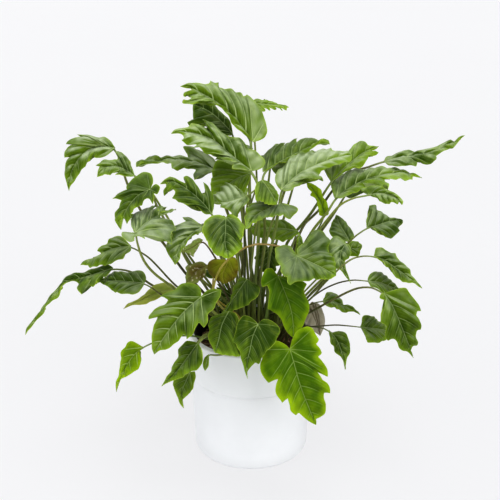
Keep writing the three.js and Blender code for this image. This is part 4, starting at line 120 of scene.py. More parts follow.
         [141.7,24.9,463.1,151.8,24.3,463.4,165.8,33.3,465.2,181.9,46.0,467.5,193.0,59.2,469.6,210.9,69.8,471.0,224.4,66.7,470.3,233.9,56.8,468.7,236.9,71.8,470.2,229.2,83.3,472.2,246.6,84.5,471.7,264.5,91.3,470.9,280.8,97.0,469.6,281.6,105.0,471.2,297.1,103.2,469.1]),
    ],
    "leaf_right_far_long": [
        ("green", 0.3, [54.2,19.7,200.4,54.5,19.2,211.1,54.9,18.7,221.8,55.3,18.1,232.5,56.0,17.2,243.2,56.8,16.2,253.8,57.5,15.1,264.5,58.5,13.8,275.1,59.4,12.5,285.7,60.4,11.1,296.2,61.5,9.3,306.8,62.5,7.6,317.3,63.7,5.4,327.5,65.0,3.9,337.0,66.3,3.3,346.0,67.8,3.5,354.6,69.6,4.2,362.7,71.5,5.7,370.5,73.7,8.0,378.1,76.4,11.1,385.6,79.1,14.6,392.9,82.9,19.7,400.1,87.3,25.6,407.2,92.4,32.1,413.8,100.8,40.9,418.2,109.2,49.5,422.7,117.1,58.2,427.6,123.7,67.5,433.8,130.2,76.3,440.2,136.9,84.9,446.6,143.9,93.2,452.9,150.8,100.7,459.5,158.6,107.7,465.1,167.4,114.2,469.3,176.1,119.6,474.0,185.7,124.6,475.8,195.7,129.6,476.6,205.4,132.4,478.2,214.7,133.1,481.7,223.8,133.9,485.3,233.2,137.0,488.0],
         [233.2,137.0,488.0,237.3,145.4,491.4,247.9,146.8,494.7,258.7,150.9,498.8,270.8,150.2,501.9,292.5,140.7,505.3,309.7,140.2,510.1,325.0,137.7,513.8,337.8,144.8,519.6,350.0,146.3,523.7,354.3,138.6,522.7,362.9,139.0,525.4,369.1,147.6,529.7,374.4,149.4,531.9],
         [233.2,137.0,488.0,254.1,137.0,493.6,281.2,131.1,499.5,308.5,127.8,506.3,334.5,130.5,514.6,374.4,149.4,531.9],
         [233.2,137.0,488.0,236.1,128.7,486.4,242.2,119.1,485.4,253.7,111.5,486.4,268.9,108.0,489.5,285.3,101.0,492.2,288.2,113.8,496.6,296.1,106.2,496.7,309.2,100.6,498.8,319.8,104.3,502.9,320.9,115.2,506.3,336.8,119.5,512.1,345.8,124.0,516.0,350.8,123.1,517.2,360.6,134.2,523.4,368.4,142.1,528.0,374.4,149.4,531.9]),
    ],
    "leaf_right_drooping": [
        ("green", 0.45, [37.9,-28.5,200.4,40.1,-28.1,225.4,43.9,-27.3,249.9,48.8,-26.3,273.9,54.4,-25.2,297.4,61.3,-23.5,320.2,70.7,-20.9,342.7,81.8,-17.9,364.7,94.2,-15.1,386.4,107.0,-13.1,407.6,119.9,-12.6,428.5,134.1,-13.0,448.6,149.9,-13.7,467.4,171.4,-14.7,479.1,195.3,-15.7,484.8],
         [195.3,-15.7,484.8,190.9,-5.5,487.9,184.7,-1.4,485.3,181.8,6.1,487.8,191.3,0.9,492.5,200.6,-5.5,496.8,212.8,-16.2,501.0,224.6,-32.6,500.4,234.9,-45.5,500.2,242.1,-56.9,497.8,247.0,-66.9,493.9,244.5,-69.5,488.8],
         [195.3,-15.7,484.8,207.7,-23.2,491.3,221.2,-36.2,494.7,234.6,-50.9,495.4,244.5,-69.5,488.8],
         [195.3,-15.7,484.8,201.1,-25.5,485.1,208.5,-34.9,486.2,211.3,-42.0,484.7,223.2,-55.0,485.5,231.0,-57.5,488.3,237.7,-64.8,487.8,240.3,-61.6,491.8,244.5,-69.5,488.8]),
    ],
    "leaf_young_upright": [
        ("young", 0.75, [24.7,16.3,200.4,26.3,16.5,219.0,29.8,16.9,237.3,33.7,17.5,255.3,38.3,18.1,272.8,43.4,18.8,289.8,49.2,19.6,306.3,57.3,20.9,322.0,67.2,22.6,337.3,78.1,24.4,352.3,89.4,26.1,367.2,100.5,27.6,382.2,110.6,28.6,397.5,119.0,29.0,413.3,125.5,25.5,429.9],
         [125.5,25.5,429.9,115.1,22.2,433.1,113.4,28.8,446.9,110.0,33.4,456.1,99.8,35.4,463.5,103.3,40.3,467.9,96.6,43.8,473.8,93.3,50.8,482.0],
         [125.5,25.5,429.9,120.3,31.0,446.0,113.5,37.2,460.0,105.1,42.9,470.5,93.3,50.8,482.0],
         [125.5,25.5,429.9,132.1,23.4,434.5,130.3,26.6,446.0,126.9,30.5,457.2,121.8,33.7,461.4,118.4,37.4,472.7,110.0,41.9,478.2,101.6,46.6,481.8,93.3,50.8,482.0]),
    ],
    "leaf_centre_grey": [
        ("green", 0.34, [-5.8,-19.0,200.4,-5.5,-19.4,225.2,-4.8,-20.2,249.9,-3.9,-21.3,274.6,-2.8,-22.7,299.2,-1.6,-24.3,323.8,-0.2,-26.0,348.6,2.0,-28.4,377.4,5.2,-31.5,409.3,8.7,-35.0,441.3,12.1,-38.8,470.7,15.1,-42.6,494.4,17.0,-46.2,509.6,14.9,-49.3,512.6,-6.9,-52.0,497.5],
         [-6.9,-52.0,497.5,-2.0,-62.2,494.6,-13.4,-69.8,487.2,-21.5,-70.0,483.8,-22.2,-85.6,476.2,-27.9,-84.3,473.9,-34.5,-68.4,477.9,-41.1,-61.3,478.5,-49.4,-54.6,476.6,-50.4,-43.2,479.9,-62.3,-27.5,477.1],
         [-6.9,-52.0,497.5,-21.6,-51.4,492.0,-38.0,-48.0,485.4,-62.3,-27.5,477.1],
         [-6.9,-52.0,497.5,-15.1,-35.3,499.7,-26.8,-15.9,500.9,-38.7,2.8,497.1,-48.7,5.9,492.3,-55.3,-0.1,487.5,-61.8,-12.6,481.8,-62.3,-27.5,477.1]),
    ],
    "leaf_centre_small": [
        ("green", 0.35, [7.9,-2.0,200.4,7.4,-4.4,230.8,6.1,-5.8,259.7,4.3,-6.6,287.1,2.2,-7.0,313.2,0,-7.2,338.1,-2.0,-7.6,361.8,-3.6,-8.4,384.5,-4.5,-9.9,406.4,-4.5,-12.4,427.4,-3.4,-16.1,447.7,-0.9,-21.3,467.4,3.3,-28.2,486.7,9.3,-37.2,505.5,17.5,-48.6,524.1],
         [17.5,-48.6,524.1,27.3,-45.3,521.1,35.4,-49.4,515.8,41.9,-56.0,509.6,44.9,-67.8,502.1,41.5,-82.4,495.0],
         [17.5,-48.6,524.1,25.5,-59.1,516.1,33.6,-70.3,506.6,41.5,-82.4,495.0],
         [17.5,-48.6,524.1,9.3,-59.8,523.3,6.1,-74.2,518.5,7.6,-88.4,510.4,12.4,-92.8,505.2,22.1,-90.7,500.9,31.7,-88.8,496.7,41.5,-82.4,495.0]),
    ],
    "leaf_centre_back": [
        ("green", 0.6, [-3.3,3.8,200.4,-12.3,6.6,229.7,-18.7,6.8,257.6,-22.6,5.0,284.1,-24.4,1.8,309.3,-24.5,-2.4,333.3,-23.2,-6.9,356.3,-20.9,-11.1,378.2,-17.7,-14.5,399.3,-14.2,-16.5,419.6,-10.6,-16.6,439.2,-7.3,-14.2,458.2,-4.5,-8.7,476.6,-2.6,0.5,494.7,-2.0,13.8,512.5],
         [-2.0,13.8,512.5,-3.7,1.4,499.5,-12.0,-8.9,485.6,-32.0,-2.3,484.8,-48.8,1.6,481.5,-63.9,1.0,472.7],
         [-2.0,13.8,512.5,-22.0,11.8,504.3,-42.1,7.5,491.7,-63.9,1.0,472.7],
         [-2.0,13.8,512.5,-12.0,23.6,519.5,-27.2,32.1,523.5,-42.3,39.2,526.2,-57.6,42.4,524.1,-64.3,36.4,514.7,-66.6,23.5,499.8,-67.3,10.5,483.3,-63.9,1.0,472.7]),
    ],
    "leaf_centre_flat": [
        ("green", 0.12, [12.6,-22.5,200.4,12.4,-27.1,227.5,12.5,-30.5,253.2,12.9,-33.0,277.7,13.6,-34.8,300.9,14.7,-36.0,323.1,16.2,-37.0,344.2,18.2,-37.9,364.5,20.7,-39.0,383.9,23.7,-40.5,402.6,27.3,-42.5,420.8,31.5,-45.5,438.4,36.5,-49.5,455.6,42.1,-54.8,472.5,48.4,-61.6,489.1],
         [48.4,-61.6,489.1,58.0,-69.6,488.0,67.7,-72.2,488.2,75.5,-79.9,487.0,73.7,-88.9,484.6,67.1,-96.2,482.4,62.1,-104.8,479.9,55.7,-101.3,480.1,51.1,-94.1,481.5,46.2,-98.5,479.9,41.4,-92.5,480.8,34.9,-97.7,478.6,30.1,-100.2,477.4,23.7,-95.7,477.8,17.3,-98.0,475.3,10.9,-99.0,473.9,6.0,-104.4,471.0,1.2,-104.6,470.2,-2.8,-111.1,466.9,-10.0,-114.4,463.9],
         [48.4,-61.6,489.1,30.4,-72.6,484.9,10.9,-84.5,479.2,-10.0,-114.4,463.9],
         [48.4,-61.6,489.1,41.9,-66.3,487.5,33.8,-61.4,489.0,24.1,-56.5,490.5,14.3,-60.5,488.7,4.5,-61.1,488.0,-3.6,-65.8,485.5,-9.3,-75.0,482.3,-6.8,-81.5,479.8,-10.9,-89.8,476.2,-10.0,-99.6,471.6,-10.0,-114.4,463.9]),
    ],
    "leaf_centre_folded": [
        ("green", 0.56, [16.8,-10.8,200.4,17.0,-9.1,220.4,18.6,-7.1,239.4,21.4,-5.6,257.4,25.2,-4.2,274.5,29.8,-3.0,290.8,35.1,-2.1,306.3,40.8,-1.3,321.2,46.9,-0.7,335.5,53.0,-0.3,349.3,59.1,-0.2,362.7,64.9,-0.3,375.8,70.3,-0.6,388.7,75.0,-1.1,401.3,79.0,-1.9,413.9],
         [79.0,-1.9,413.9,82.2,-8.0,411.0,73.7,-11.4,408.8,68.5,-17.8,405.2,60.2,-15.9,405.3,53.4,-19.1,403.0,43.4,-13.6,404.3,35.0,-15.2,402.3,28.3,-7.6,404.4,18.2,-7.6,402.6,11.5,-1.4,404.5,4.8,-0.7,403.3,1.4,6.8,406.5,-0.3,15.3,410.3],
         [79.0,-1.9,413.9,58.9,4.5,414.9,31.9,10.6,414.1,-0.3,15.3,410.3],
         [79.0,-1.9,413.9,72.5,8.2,416.9,64.2,16.4,419.0,59.3,24.2,421.2,49.1,26.8,421.1,42.4,32.6,422.3,32.1,30.4,420.5,25.3,35.3,421.2,16.8,35.8,420.1,9.9,30.1,416.9,4.8,27.4,415.3,1.4,22.2,412.9,-0.3,15.3,410.3]),
    ],
    "leaf_left_lobed": [
        ("green", 0.12, [-11.6,-4.6,200.4,-12.8,-5.8,225.5,-14.3,-7.3,249.3,-16.0,-9.1,271.9,-18.1,-11.2,293.4,-20.5,-13.7,313.8,-23.3,-16.5,333.3,-26.6,-19.8,352.0,-30.3,-23.6,370.0,-34.4,-27.8,387.3,-39.2,-32.6,404.2,-44.5,-38.0,420.6,-50.4,-44.0,436.6,-56.9,-50.7,452.5,-64.1,-58.0,468.3],
         [-64.1,-58.0,468.3,-75.4,-63.8,470.7,-85.2,-59.4,477.7,-93.4,-57.5,482.2,-104.5,-62.7,484.3,-114.3,-60.7,488.8,-122.6,-55.8,493.8,-128.4,-51.5,496.5,-124.7,-43.4,499.4,-128.1,-38.2,502.6,-136.4,-35.9,503.4,-142.5,-47.7,497.6,-143.7,-38.4,502.7,-139.8,-32.1,506.3,-140.0,-27.8,509.1,-149.8,-28.6,509.4],
         [-64.1,-58.0,468.3,-79.1,-45.0,482.4,-97.3,-33.5,495.4,-117.2,-24.8,506.1,-133.7,-21.5,511.9,-149.8,-28.6,509.4],
         [-64.1,-58.0,468.3,-61.0,-46.0,477.5,-62.9,-33.2,488.2,-67.9,-24.1,497.0,-71.3,-18.7,502.0,-79.7,-13.6,508.0,-76.2,-21.0,501.1,-76.1,-29.9,494.0,-80.1,-32.1,493.1,-84.4,-25.3,499.3,-91.1,-19.5,505.8,-97.8,-12.5,512.8,-106.1,-10.8,515.7,-112.6,-14.1,514.3,-105.9,-17.2,510.2,-109.1,-20.7,508.0,-117.3,-19.4,511.1,-125.6,-16.1,515.1,-133.9,-15.0,518.2,-141.8,-21.2,515.3,-149.8,-28.6,509.4]),
    ],
    "leaf_centre_round": [
        ("green", 0.14, [-9.6,-37.0,200.4,-9.8,-40.3,227.4,-10.4,-43.3,252.9,-11.4,-46.1,277.1,-12.9,-48.9,300.2,-14.6,-52.0,322.1,-16.7,-55.4,343.0,-19.1,-59.4,363.0,-21.6,-64.1,382.3,-24.4,-69.7,400.9,-27.4,-76.4,419.0,-30.5,-84.5,436.6,-33.7,-93.9,453.9,-36.9,-105.1,471.0,-40.2,-118.0,488.0],
         [-40.2,-118.0,488.0,-32.2,-115.7,491.3,-24.2,-120.5,489.9,-17.8,-127.6,486.9,-14.7,-133.0,484.0,-9.9,-139.5,480.7,-11.5,-145.6,475.6,-12.2,-152.3,469.9,-14.6,-157.3,465.3,-13.8,-162.0,458.7,-17.7,-166.9,452.3,-22.4,-169.7,447.5,-27.9,-171.2,443.9,-34.9,-173.0,440.4],
         [-40.2,-118.0,488.0,-40.7,-138.2,474.1,-41.4,-155.5,459.3,-34.9,-173.0,440.4],
         [-40.2,-118.0,488.0,-49.8,-114.9,491.0,-60.8,-117.3,490.3,-68.7,-122.9,487.5,-74.1,-127.4,485.0,-75.6,-134.5,480.3,-77.8,-140.0,476.6,-76.1,-146.9,471.0,-71.3,-152.6,465.8,-68.8,-157.9,460.3,-65.6,-165.4,455.1,-60.0,-169.0,450.7,-53.7,-172.6,445.4,-45.9,-172.5,443.6,-40.4,-174.1,440.9,-34.9,-173.0,440.4]),
    ],
    "leaf_left_pale": [
        ("green", 0.2, [-17.2,-26.2,200.4,-18.7,-27.8,224.7,-20.7,-29.8,247.7,-23.1,-32.2,269.5,-25.9,-35.0,290.2,-29.1,-38.3,309.9,-32.8,-42.0,328.7,-36.9,-46.2,346.8,-41.4,-50.8,364.1,-46.4,-55.9,380.9,-51.8,-61.4,397.2,-57.7,-67.4,413.1,-64.1,-73.8,428.8,-70.8,-80.7,444.2,-78.1,-88.0,459.7],
         [-78.1,-88.0,459.7,-81.0,-99.7,454.2,-90.7,-102.1,449.9,-98.7,-102.6,446.6,-101.8,-107.2,443.3,-108.0,-117.3,435.5,-112.6,-123.9,429.6,-114.0,-132.6,423.0,-121.8,-140.2,414.2],
         [-78.1,-88.0,459.7,-94.1,-96.5,451.0,-109.9,-107.6,440.0,-117.6,-122.0,428.8,-121.8,-140.2,414.2],
         [-78.1,-88.0,459.7,-89.7,-78.2,462.6,-101.4,-66.4,466.4,-113.1,-61.8,466.3,-106.2,-72.4,461.9,-115.9,-75.4,457.9,-128.9,-75.7,454.5,-133.7,-79.6,450.8,-128.5,-87.6,447.2,-127.8,-105.5,437.3,-135.2,-103.8,436.6,-137.3,-111.4,431.1,-133.7,-121.9,425.3,-126.9,-132.4,419.4,-121.8,-140.2,414.2]),
    ],
    "leaf_left_far_arched": [
        ("green", 0.38, [-49.8,16.7,200.4,-55.0,16.8,229.3,-63.4,16.9,256.2,-76.0,17.2,280.6,-94.1,17.5,303.2,-112.8,17.8,325.8,-128.8,18.1,349.6,-144.1,18.3,373.7,-159.9,18.5,397.5,-175.0,18.8,421.8,-188.8,19.0,446.9,-200.9,19.3,472.8,-210.4,19.5,499.7,-216.9,19.8,527.6,-226.2,20.0,554.5],
         [-226.2,20.0,554.5,-229.5,18.9,552.3,-234.3,15.1,547.5,-244.4,13.6,541.9,-260.2,20.4,537.6,-263.2,26.3,539.8,-268.9,21.2,531.1,-279.2,19.0,519.4,-287.9,18.0,510.9,-291.3,15.0,503.1,-296.5,12.9,495.0,-301.7,11.6,488.3,-305.1,9.4,482.0],
         [-226.2,20.0,554.5,-249.1,33.6,553.1,-273.7,40.5,543.5,-290.8,36.5,527.2,-302.4,25.8,506.1,-305.1,9.4,482.0],
         [-226.2,20.0,554.5,-229.9,26.5,559.2,-235.3,33.2,563.0,-246.2,43.4,566.4,-256.7,47.5,564.1,-271.0,56.0,563.8,-295.9,67.6,562.4,-283.3,59.6,559.9,-299.1,62.8,555.2,-309.7,64.2,550.2,-313.1,62.4,545.5,-302.5,60.8,550.5,-291.8,56.3,552.1,-300.5,56.5,546.7,-309.3,56.8,541.2,-314.3,53.8,535.1,-314.7,46.6,527.0,-305.2,46.0,530.8,-310.1,42.7,524.9,-313.3,36.5,514.6,-312.7,26.1,502.4,-308.9,17.1,491.5,-305.1,9.4,482.0]),
    ],
    "leaf_left_upper": [
        ("green", 0.24, [-46.7,4.2,200.4,-49.9,4.5,227.5,-55.7,5.1,253.5,-63.6,6.0,278.3,-76.2,7.7,301.8,-90.7,9.2,324.9,-103.8,9.6,348.4,-115.4,5.6,372.2,-126.3,0.3,396.1,-136.8,-6.3,419.9,-146.7,-13.8,443.6,-155.9,-22.5,467.2,-162.6,-31.6,491.9,-171.7,-41.5,514.3,-188.3,-52.3,532.5],
         [-188.3,-52.3,532.5,-196.5,-52.2,530.7,-206.7,-46.8,530.4,-222.0,-38.8,529.1,-215.9,-33.1,533.0,-225.8,-32.6,530.2,-239.9,-24.9,523.8,-248.4,-22.6,520.3,-253.6,-20.8,518.7],
         [-188.3,-52.3,532.5,-204.3,-34.0,536.0,-222.0,-17.6,536.7,-239.2,-10.8,532.5,-253.6,-20.8,518.7],
         [-188.3,-52.3,532.5,-192.3,-39.6,538.1,-198.2,-24.6,543.8,-204.1,-9.1,549.3,-213.2,3.1,552.7,-220.4,10.7,554.4,-223.6,8.6,551.6,-219.2,-8.0,543.7,-231.3,-2.3,541.6,-241.7,2.3,539.9,-250.1,2.8,537.9,-258.1,-3.3,531.4,-249.6,-4.3,533.5,-252.5,-11.1,527.3,-253.6,-20.8,518.7]),
    ],
    "leaf_left_dark": [
        ("green", 0.15, [-16.9,6.2,200.4,-22.2,5.4,227.8,-30.4,4.1,253.5,-41.5,2.6,276.7,-58.8,0.6,297.4,-78.6,-1.9,317.3,-95.9,-5.4,338.1,-107.7,-11.4,361.3,-116.5,-20.3,385.4,-123.2,-29.9,409.8,-129.4,-40.5,434.1,-136.3,-51.7,457.8,-145.2,-64.0,480.2,-153.5,-76.8,502.6,-161.8,-89.9,524.7],
         [-161.8,-89.9,524.7,-152.2,-87.7,532.4,-145.2,-97.6,531.2,-149.6,-107.8,523.3,-154.7,-102.4,522.9,-154.2,-112.6,518.4,-156.1,-123.2,512.4,-162.4,-109.4,515.4,-169.0,-107.0,512.7,-175.4,-109.5,506.9,-183.7,-106.7,502.3,-188.1,-114.9,493.6,-192.9,-119.1,485.0,-198.5,-122.3,477.7,-202.2,-113.4,482.6,-206.5,-108.6,484.1,-206.9,-117.6,475.7,-207.3,-124.8,468.4],
         [-161.8,-89.9,524.7,-178.1,-89.1,515.8,-192.5,-95.4,502.8,-201.8,-105.1,489.5,-207.3,-124.8,468.4],
         [-161.8,-89.9,524.7,-157.2,-84.5,531.2,-157.6,-74.7,537.7,-163.0,-63.7,542.1,-174.9,-56.0,540.9,-184.7,-57.0,534.3,-194.5,-58.6,528.0,-202.5,-62.1,521.6,-198.6,-74.1,515.1,-212.0,-69.5,510.6,-218.5,-70.4,506.6,-223.1,-76.5,500.4,-207.8,-84.4,502.7,-212.4,-90.4,495.6,-218.6,-96.4,487.7,-217.9,-108.4,478.8,-212.5,-118.0,472.4,-207.3,-124.8,468.4]),
    ],
    "leaf_left_upturned": [
        ("green", 0.14, [-40.0,-22.4,200.4,-44.4,-26.7,224.8,-50.7,-33.1,247.2,-58.8,-41.2,266.8,-69.9,-53.1,284.1,-83.1,-66.9,300.2,-97.0,-80.3,316.2,-110.3,-91.1,333.4,-124.0,-100.3,351.2,-138.5,-109.2,368.5,-153.6,-117.5,385.5,-166.4,-125.2,404.6,-175.2,-132.1,426.0,-180.0,-138.6,448.8,-183.4,-144.9,471.9],
         [-183.4,-144.9,471.9,-190.1,-128.2,475.1,-191.8,-105.2,479.2,-188.7,-91.9,481.5,-180.0,-88.7,481.9,-173.5,-76.8,483.9,-166.1,-66.4,485.8,-154.2,-61.7,486.0,-160.5,-78.0,483.6,-149.8,-67.4,484.8,-136.0,-66.6,484.5,-146.1,-75.4,483.4,-152.7,-88.7,481.3,-139.6,-76.4,482.9,-122.0,-73.0,482.7],
         [-183.4,-144.9,471.9,-170.9,-119.2,476.4,-154.5,-98.2,479.7,-139.0,-88.5,480.9,-122.0,-73.0,482.7],
         [-183.4,-144.9,471.9,-193.1,-142.3,472.5,-204.1,-142.4,472.5,-204.3,-150.9,471.0,-198.0,-161.0,469.4,-189.5,-169.9,468.2,-182.6,-168.7,468.5,-183.4,-156.9,470.2,-178.0,-155.7,470.5,-166.4,-165.3,469.6,-167.7,-143.4,472.9,-157.2,-135.4,474.7,-146.8,-151.1,472.8,-136.3,-170.8,470.3,-123.4,-179.1,469.7,-125.6,-149.4,473.8,-119.5,-128.2,475.9,-133.3,-106.0,478.6,-146.3,-102.4,479.2,-145.3,-90.4,480.8,-134.5,-80.7,482.1,-122.0,-73.0,482.7]),
    ],
    "leaf_left_outer": [
        ("green", 0.2, [-56.4,-2.6,200.4,-59.3,-3.6,219.4,-65.0,-5.6,237.5,-71.2,-7.9,254.5,-78.9,-10.7,270.0,-89.6,-14.5,284.3,-102.1,-19.0,297.8,-115.3,-23.8,311.1,-128.0,-28.2,324.8,-139.1,-32.0,339.3,-149.6,-35.5,354.3,-160.3,-39.0,369.3,-171.7,-42.6,383.6,-185.4,-46.3,395.7,-199.3,-50.0,407.5],
         [-199.3,-50.0,407.5,-198.6,-60.4,403.1,-206.6,-65.2,398.9,-211.1,-72.9,394.2,-219.6,-71.7,391.9,-229.5,-73.7,387.3,-241.5,-69.6,383.7,-253.5,-67.3,379.0,-267.4,-63.9,373.8,-271.3,-57.5,375.4,-285.6,-48.9,372.4],
         [-199.3,-50.0,407.5,-217.9,-46.4,404.1,-239.9,-45.6,396.5,-263.5,-47.9,384.8,-285.6,-48.9,372.4],
         [-199.3,-50.0,407.5,-206.3,-42.6,411.5,-211.8,-35.4,415.6,-224.0,-28.0,417.9,-232.4,-28.4,414.4,-239.1,-30.7,409.9,-242.2,-35.9,404.0,-252.3,-36.5,399.7,-257.2,-40.4,394.2,-250.1,-45.2,392.6,-253.2,-48.8,388.8,-265.3,-47.1,384.4,-275.6,-46.0,380.2,-285.6,-48.9,372.4]),
    ],
    "leaf_left_trailing": [
        ("green", 0.25, [-49.4,-14.1,200.4,-54.2,-15.2,219.2,-62.6,-17.2,236.9,-71.0,-19.2,253.1,-80.7,-21.5,267.4,-92.8,-24.2,279.9,-107.1,-27.3,291.2,-122.7,-30.8,301.8,-138.9,-34.5,312.2,-154.9,-38.4,322.8,-169.9,-42.4,334.1,-182.9,-46.7,346.9,-196.2,-51.5,358.9,-212.4,-56.7,367.0,-229.4,-62.1,372.9],
         [-229.4,-62.1,372.9,-235.6,-69.2,367.1,-241.8,-76.2,361.2,-245.6,-70.5,362.2,-252.5,-69.3,359.8,-255.0,-79.9,353.9,-261.4,-84.9,348.9,-268.9,-75.3,349.8,-275.6,-76.1,346.5,-282.3,-76.9,343.2,-279.3,-91.9,337.6,-287.3,-78.5,340.3,-288.6,-63.8,346.2,-297.9,-55.3,345.9,-306.7,-53.8,342.4,-315.1,-55.9,336.9,-317.7,-64.0,331.5,-322.1,-72.1,324.3,-333.8,-76.4,315.3,-342.1,-78.9,309.1,-343.1,-86.7,303.7,-351.2,-92.2,295.3,-359.6,-94.3,288.9,-365.8,-101.0,281.1,-370.7,-103.6,276.9,-375.5,-107.1,271.2],
         [-229.4,-62.1,372.9,-254.9,-60.5,363.1,-282.4,-57.2,352.3,-306.9,-51.2,344.0,-326.8,-59.0,329.1,-349.0,-79.0,305.4,-375.5,-107.1,271.2],
         [-229.4,-62.1,372.9,-238.5,-52.5,375.0,-252.2,-51.2,369.8,-267.7,-49.0,364.2,-279.7,-48.0,359.1,-290.2,-45.0,355.8,-301.0,-40.1,353.6,-311.3,-40.6,348.2,-317.8,-44.8,342.8,-322.2,-52.7,335.4,-332.0,-58.9,327.2,-339.8,-66.9,318.1,-347.7,-74.8,308.9,-353.8,-83.0,300.0,-361.9,-88.7,291.7,-370.0,-93.2,284.6,-374.4,-100.5,277.2,-375.5,-107.1,271.2]),
    ],
    "leaf_left_oval": [
        ("green", 0.25, [-45.0,-33.2,200.4,-48.0,-35.0,217.2,-54.2,-38.9,233.2,-60.2,-42.5,248.3,-66.8,-46.6,262.2,-74.5,-51.3,274.5,-83.9,-57.1,285.8,-94.8,-63.7,296.1,-106.5,-70.9,306.0,-118.8,-78.4,315.7,-131.0,-85.9,325.4,-142.8,-93.1,335.6,-153.7,-99.8,346.4,-163.6,-105.8,358.3,-174.6,-112.0,369.0],
         [-174.6,-112.0,369.0,-177.5,-120.6,364.1,-181.9,-128.3,358.8,-190.2,-128.3,355.2,-200.5,-121.0,353.5,-212.6,-114.3,350.2,-223.4,-103.7,348.8,-236.6,-84.4,348.7,-255.9,-57.5,346.9],
         [-174.6,-112.0,369.0,-195.3,-99.7,365.0,-219.9,-82.8,358.9,-255.9,-57.5,346.9],
         [-174.6,-112.0,369.0,-171.6,-105.6,375.0,-177.3,-92.3,380.5,-189.5,-83.1,379.0,-201.5,-79.1,373.5,-217.3,-69.2,368.9,-231.6,-59.4,364.4,-241.9,-60.3,356.5,-255.9,-57.5,346.9]),
    ],
    "leaf_left_yellow_tip": [
        ("fading", 0.45, [-30.6,-12.7,200.4,-31.9,-13.4,213.6,-36.7,-16.3,225.8,-41.3,-19.3,237.2,-46.6,-23.1,248.0,-52.8,-27.4,258.2,-59.6,-32.2,267.9,-66.9,-37.4,277.2,-74.7,-42.8,286.3,-82.8,-48.4,295.3,-91.1,-54.0,304.2,-99.6,-59.5,313.2,-108.1,-64.8,322.5,-116.6,-69.8,332.0,-124.9,-74.3,342.0],
         [-124.9,-74.3,342.0,-129.6,-82.3,336.6,-142.8,-84.3,333.9,-154.2,-89.4,329.0,-165.7,-92.7,325.1,-175.6,-94.2,322.2,-190.7,-93.2,319.9,-202.4,-92.8,317.8,-212.2,-95.3,313.5],
         [-124.9,-74.3,342.0,-146.4,-77.3,337.9,-171.1,-83.8,330.0,-212.2,-95.3,313.5],
         [-124.9,-74.3,342.0,-135.2,-65.1,346.8,-147.0,-63.9,346.2,-158.6,-66.0,343.6,-166.8,-69.9,339.9,-174.9,-75.3,335.1,-184.5,-83.3,327.9,-195.9,-87.8,322.8,-205.9,-88.9,319.6,-212.2,-95.3,313.5]),
    ],
    "leaf_front_left_broad": [
        ("green", 0.36, [-20.9,-40.0,200.4,-22.0,-42.2,215.8,-25.2,-48.5,230.1,-28.4,-54.9,243.5,-32.3,-62.6,256.1,-36.6,-71.2,268.0,-41.4,-80.6,279.3,-46.4,-90.6,290.2,-51.6,-100.9,300.9,-56.9,-111.3,311.3,-62.1,-121.7,321.8,-67.2,-131.7,332.4,-72.0,-141.3,343.2,-76.4,-150.1,354.4,-80.4,-158.0,366.0],
         [-80.4,-158.0,366.0,-73.9,-156.0,373.9,-67.5,-156.1,378.4,-56.2,-159.9,381.1,-48.2,-163.4,381.9,-49.7,-169.1,373.2,-56.1,-173.8,363.1,-59.2,-179.3,355.2,-68.8,-181.6,347.5,-68.6,-190.7,337.8,-75.0,-194.6,329.2,-83.2,-185.0,334.9,-87.9,-189.5,326.5,-91.1,-193.7,318.0,-100.7,-195.5,308.2,-109.0,-185.8,313.9,-117.1,-187.9,304.2,-126.9,-188.5,293.7,-135.1,-187.7,286.9,-146.7,-182.7,282.5,-156.7,-181.5,274.5],
         [-80.4,-158.0,366.0,-96.5,-161.4,353.4,-112.6,-165.9,337.8,-130.4,-171.7,315.6,-145.1,-177.1,294.9,-156.7,-181.5,274.5],
         [-80.4,-158.0,366.0,-80.4,-152.4,375.8,-86.9,-146.9,382.0,-98.3,-143.0,383.7,-112.9,-140.9,380.9,-124.2,-143.6,371.6,-138.8,-142.7,365.8,-148.6,-143.1,360.6,-133.9,-149.3,356.5,-140.3,-151.6,349.5,-151.8,-151.1,343.9,-160.0,-151.7,337.9,-164.8,-154.5,330.3,-164.8,-157.2,325.3,-156.7,-156.2,331.2,-150.1,-158.1,331.2,-151.7,-160.5,326.1,-156.6,-163.2,316.7,-159.9,-167.4,306.1,-160.7,-172.7,294.4,-159.9,-177.4,282.4,-156.7,-181.5,274.5]),
    ],
    "leaf_left_low_young": [
        ("young", 0.62, [-33.1,-38.7,200.4,-36.2,-40.7,212.0,-47.4,-48.3,222.5,-56.8,-54.6,230.8,-66.3,-60.9,237.7,-76.4,-67.7,244.5,-87.2,-74.9,251.0,-98.4,-82.4,256.6,-109.8,-90.0,261.3,-121.3,-97.8,264.7,-132.6,-105.6,266.6,-143.9,-113.4,266.8,-155.3,-121.5,266.7,-166.6,-129.7,266.6,-177.7,-138.0,265.1],
         [-177.7,-138.0,265.1,-181.0,-139.7,260.5,-184.3,-140.8,256.4,-180.7,-148.4,250.3,-181.4,-153.0,243.5,-185.6,-155.6,235.6,-192.4,-155.1,227.9,-201.0,-153.4,220.4,-214.9,-149.2,210.5,-218.3,-151.5,201.4,-223.6,-153.3,189.2],
         [-177.7,-138.0,265.1,-191.1,-139.1,252.7,-204.6,-142.8,234.2,-214.9,-148.0,212.6,-223.6,-153.3,189.2],
         [-177.7,-138.0,265.1,-184.4,-134.6,266.1,-191.3,-129.6,270.0,-198.1,-126.5,270.2,-204.9,-125.8,266.1,-208.2,-128.0,259.8,-214.2,-129.1,252.9,-215.8,-135.3,239.4,-217.5,-141.1,225.7,-220.0,-145.7,213.2,-223.5,-147.7,204.9,-223.6,-153.3,189.2]),
    ],
    "leaf_pair_front_left": [
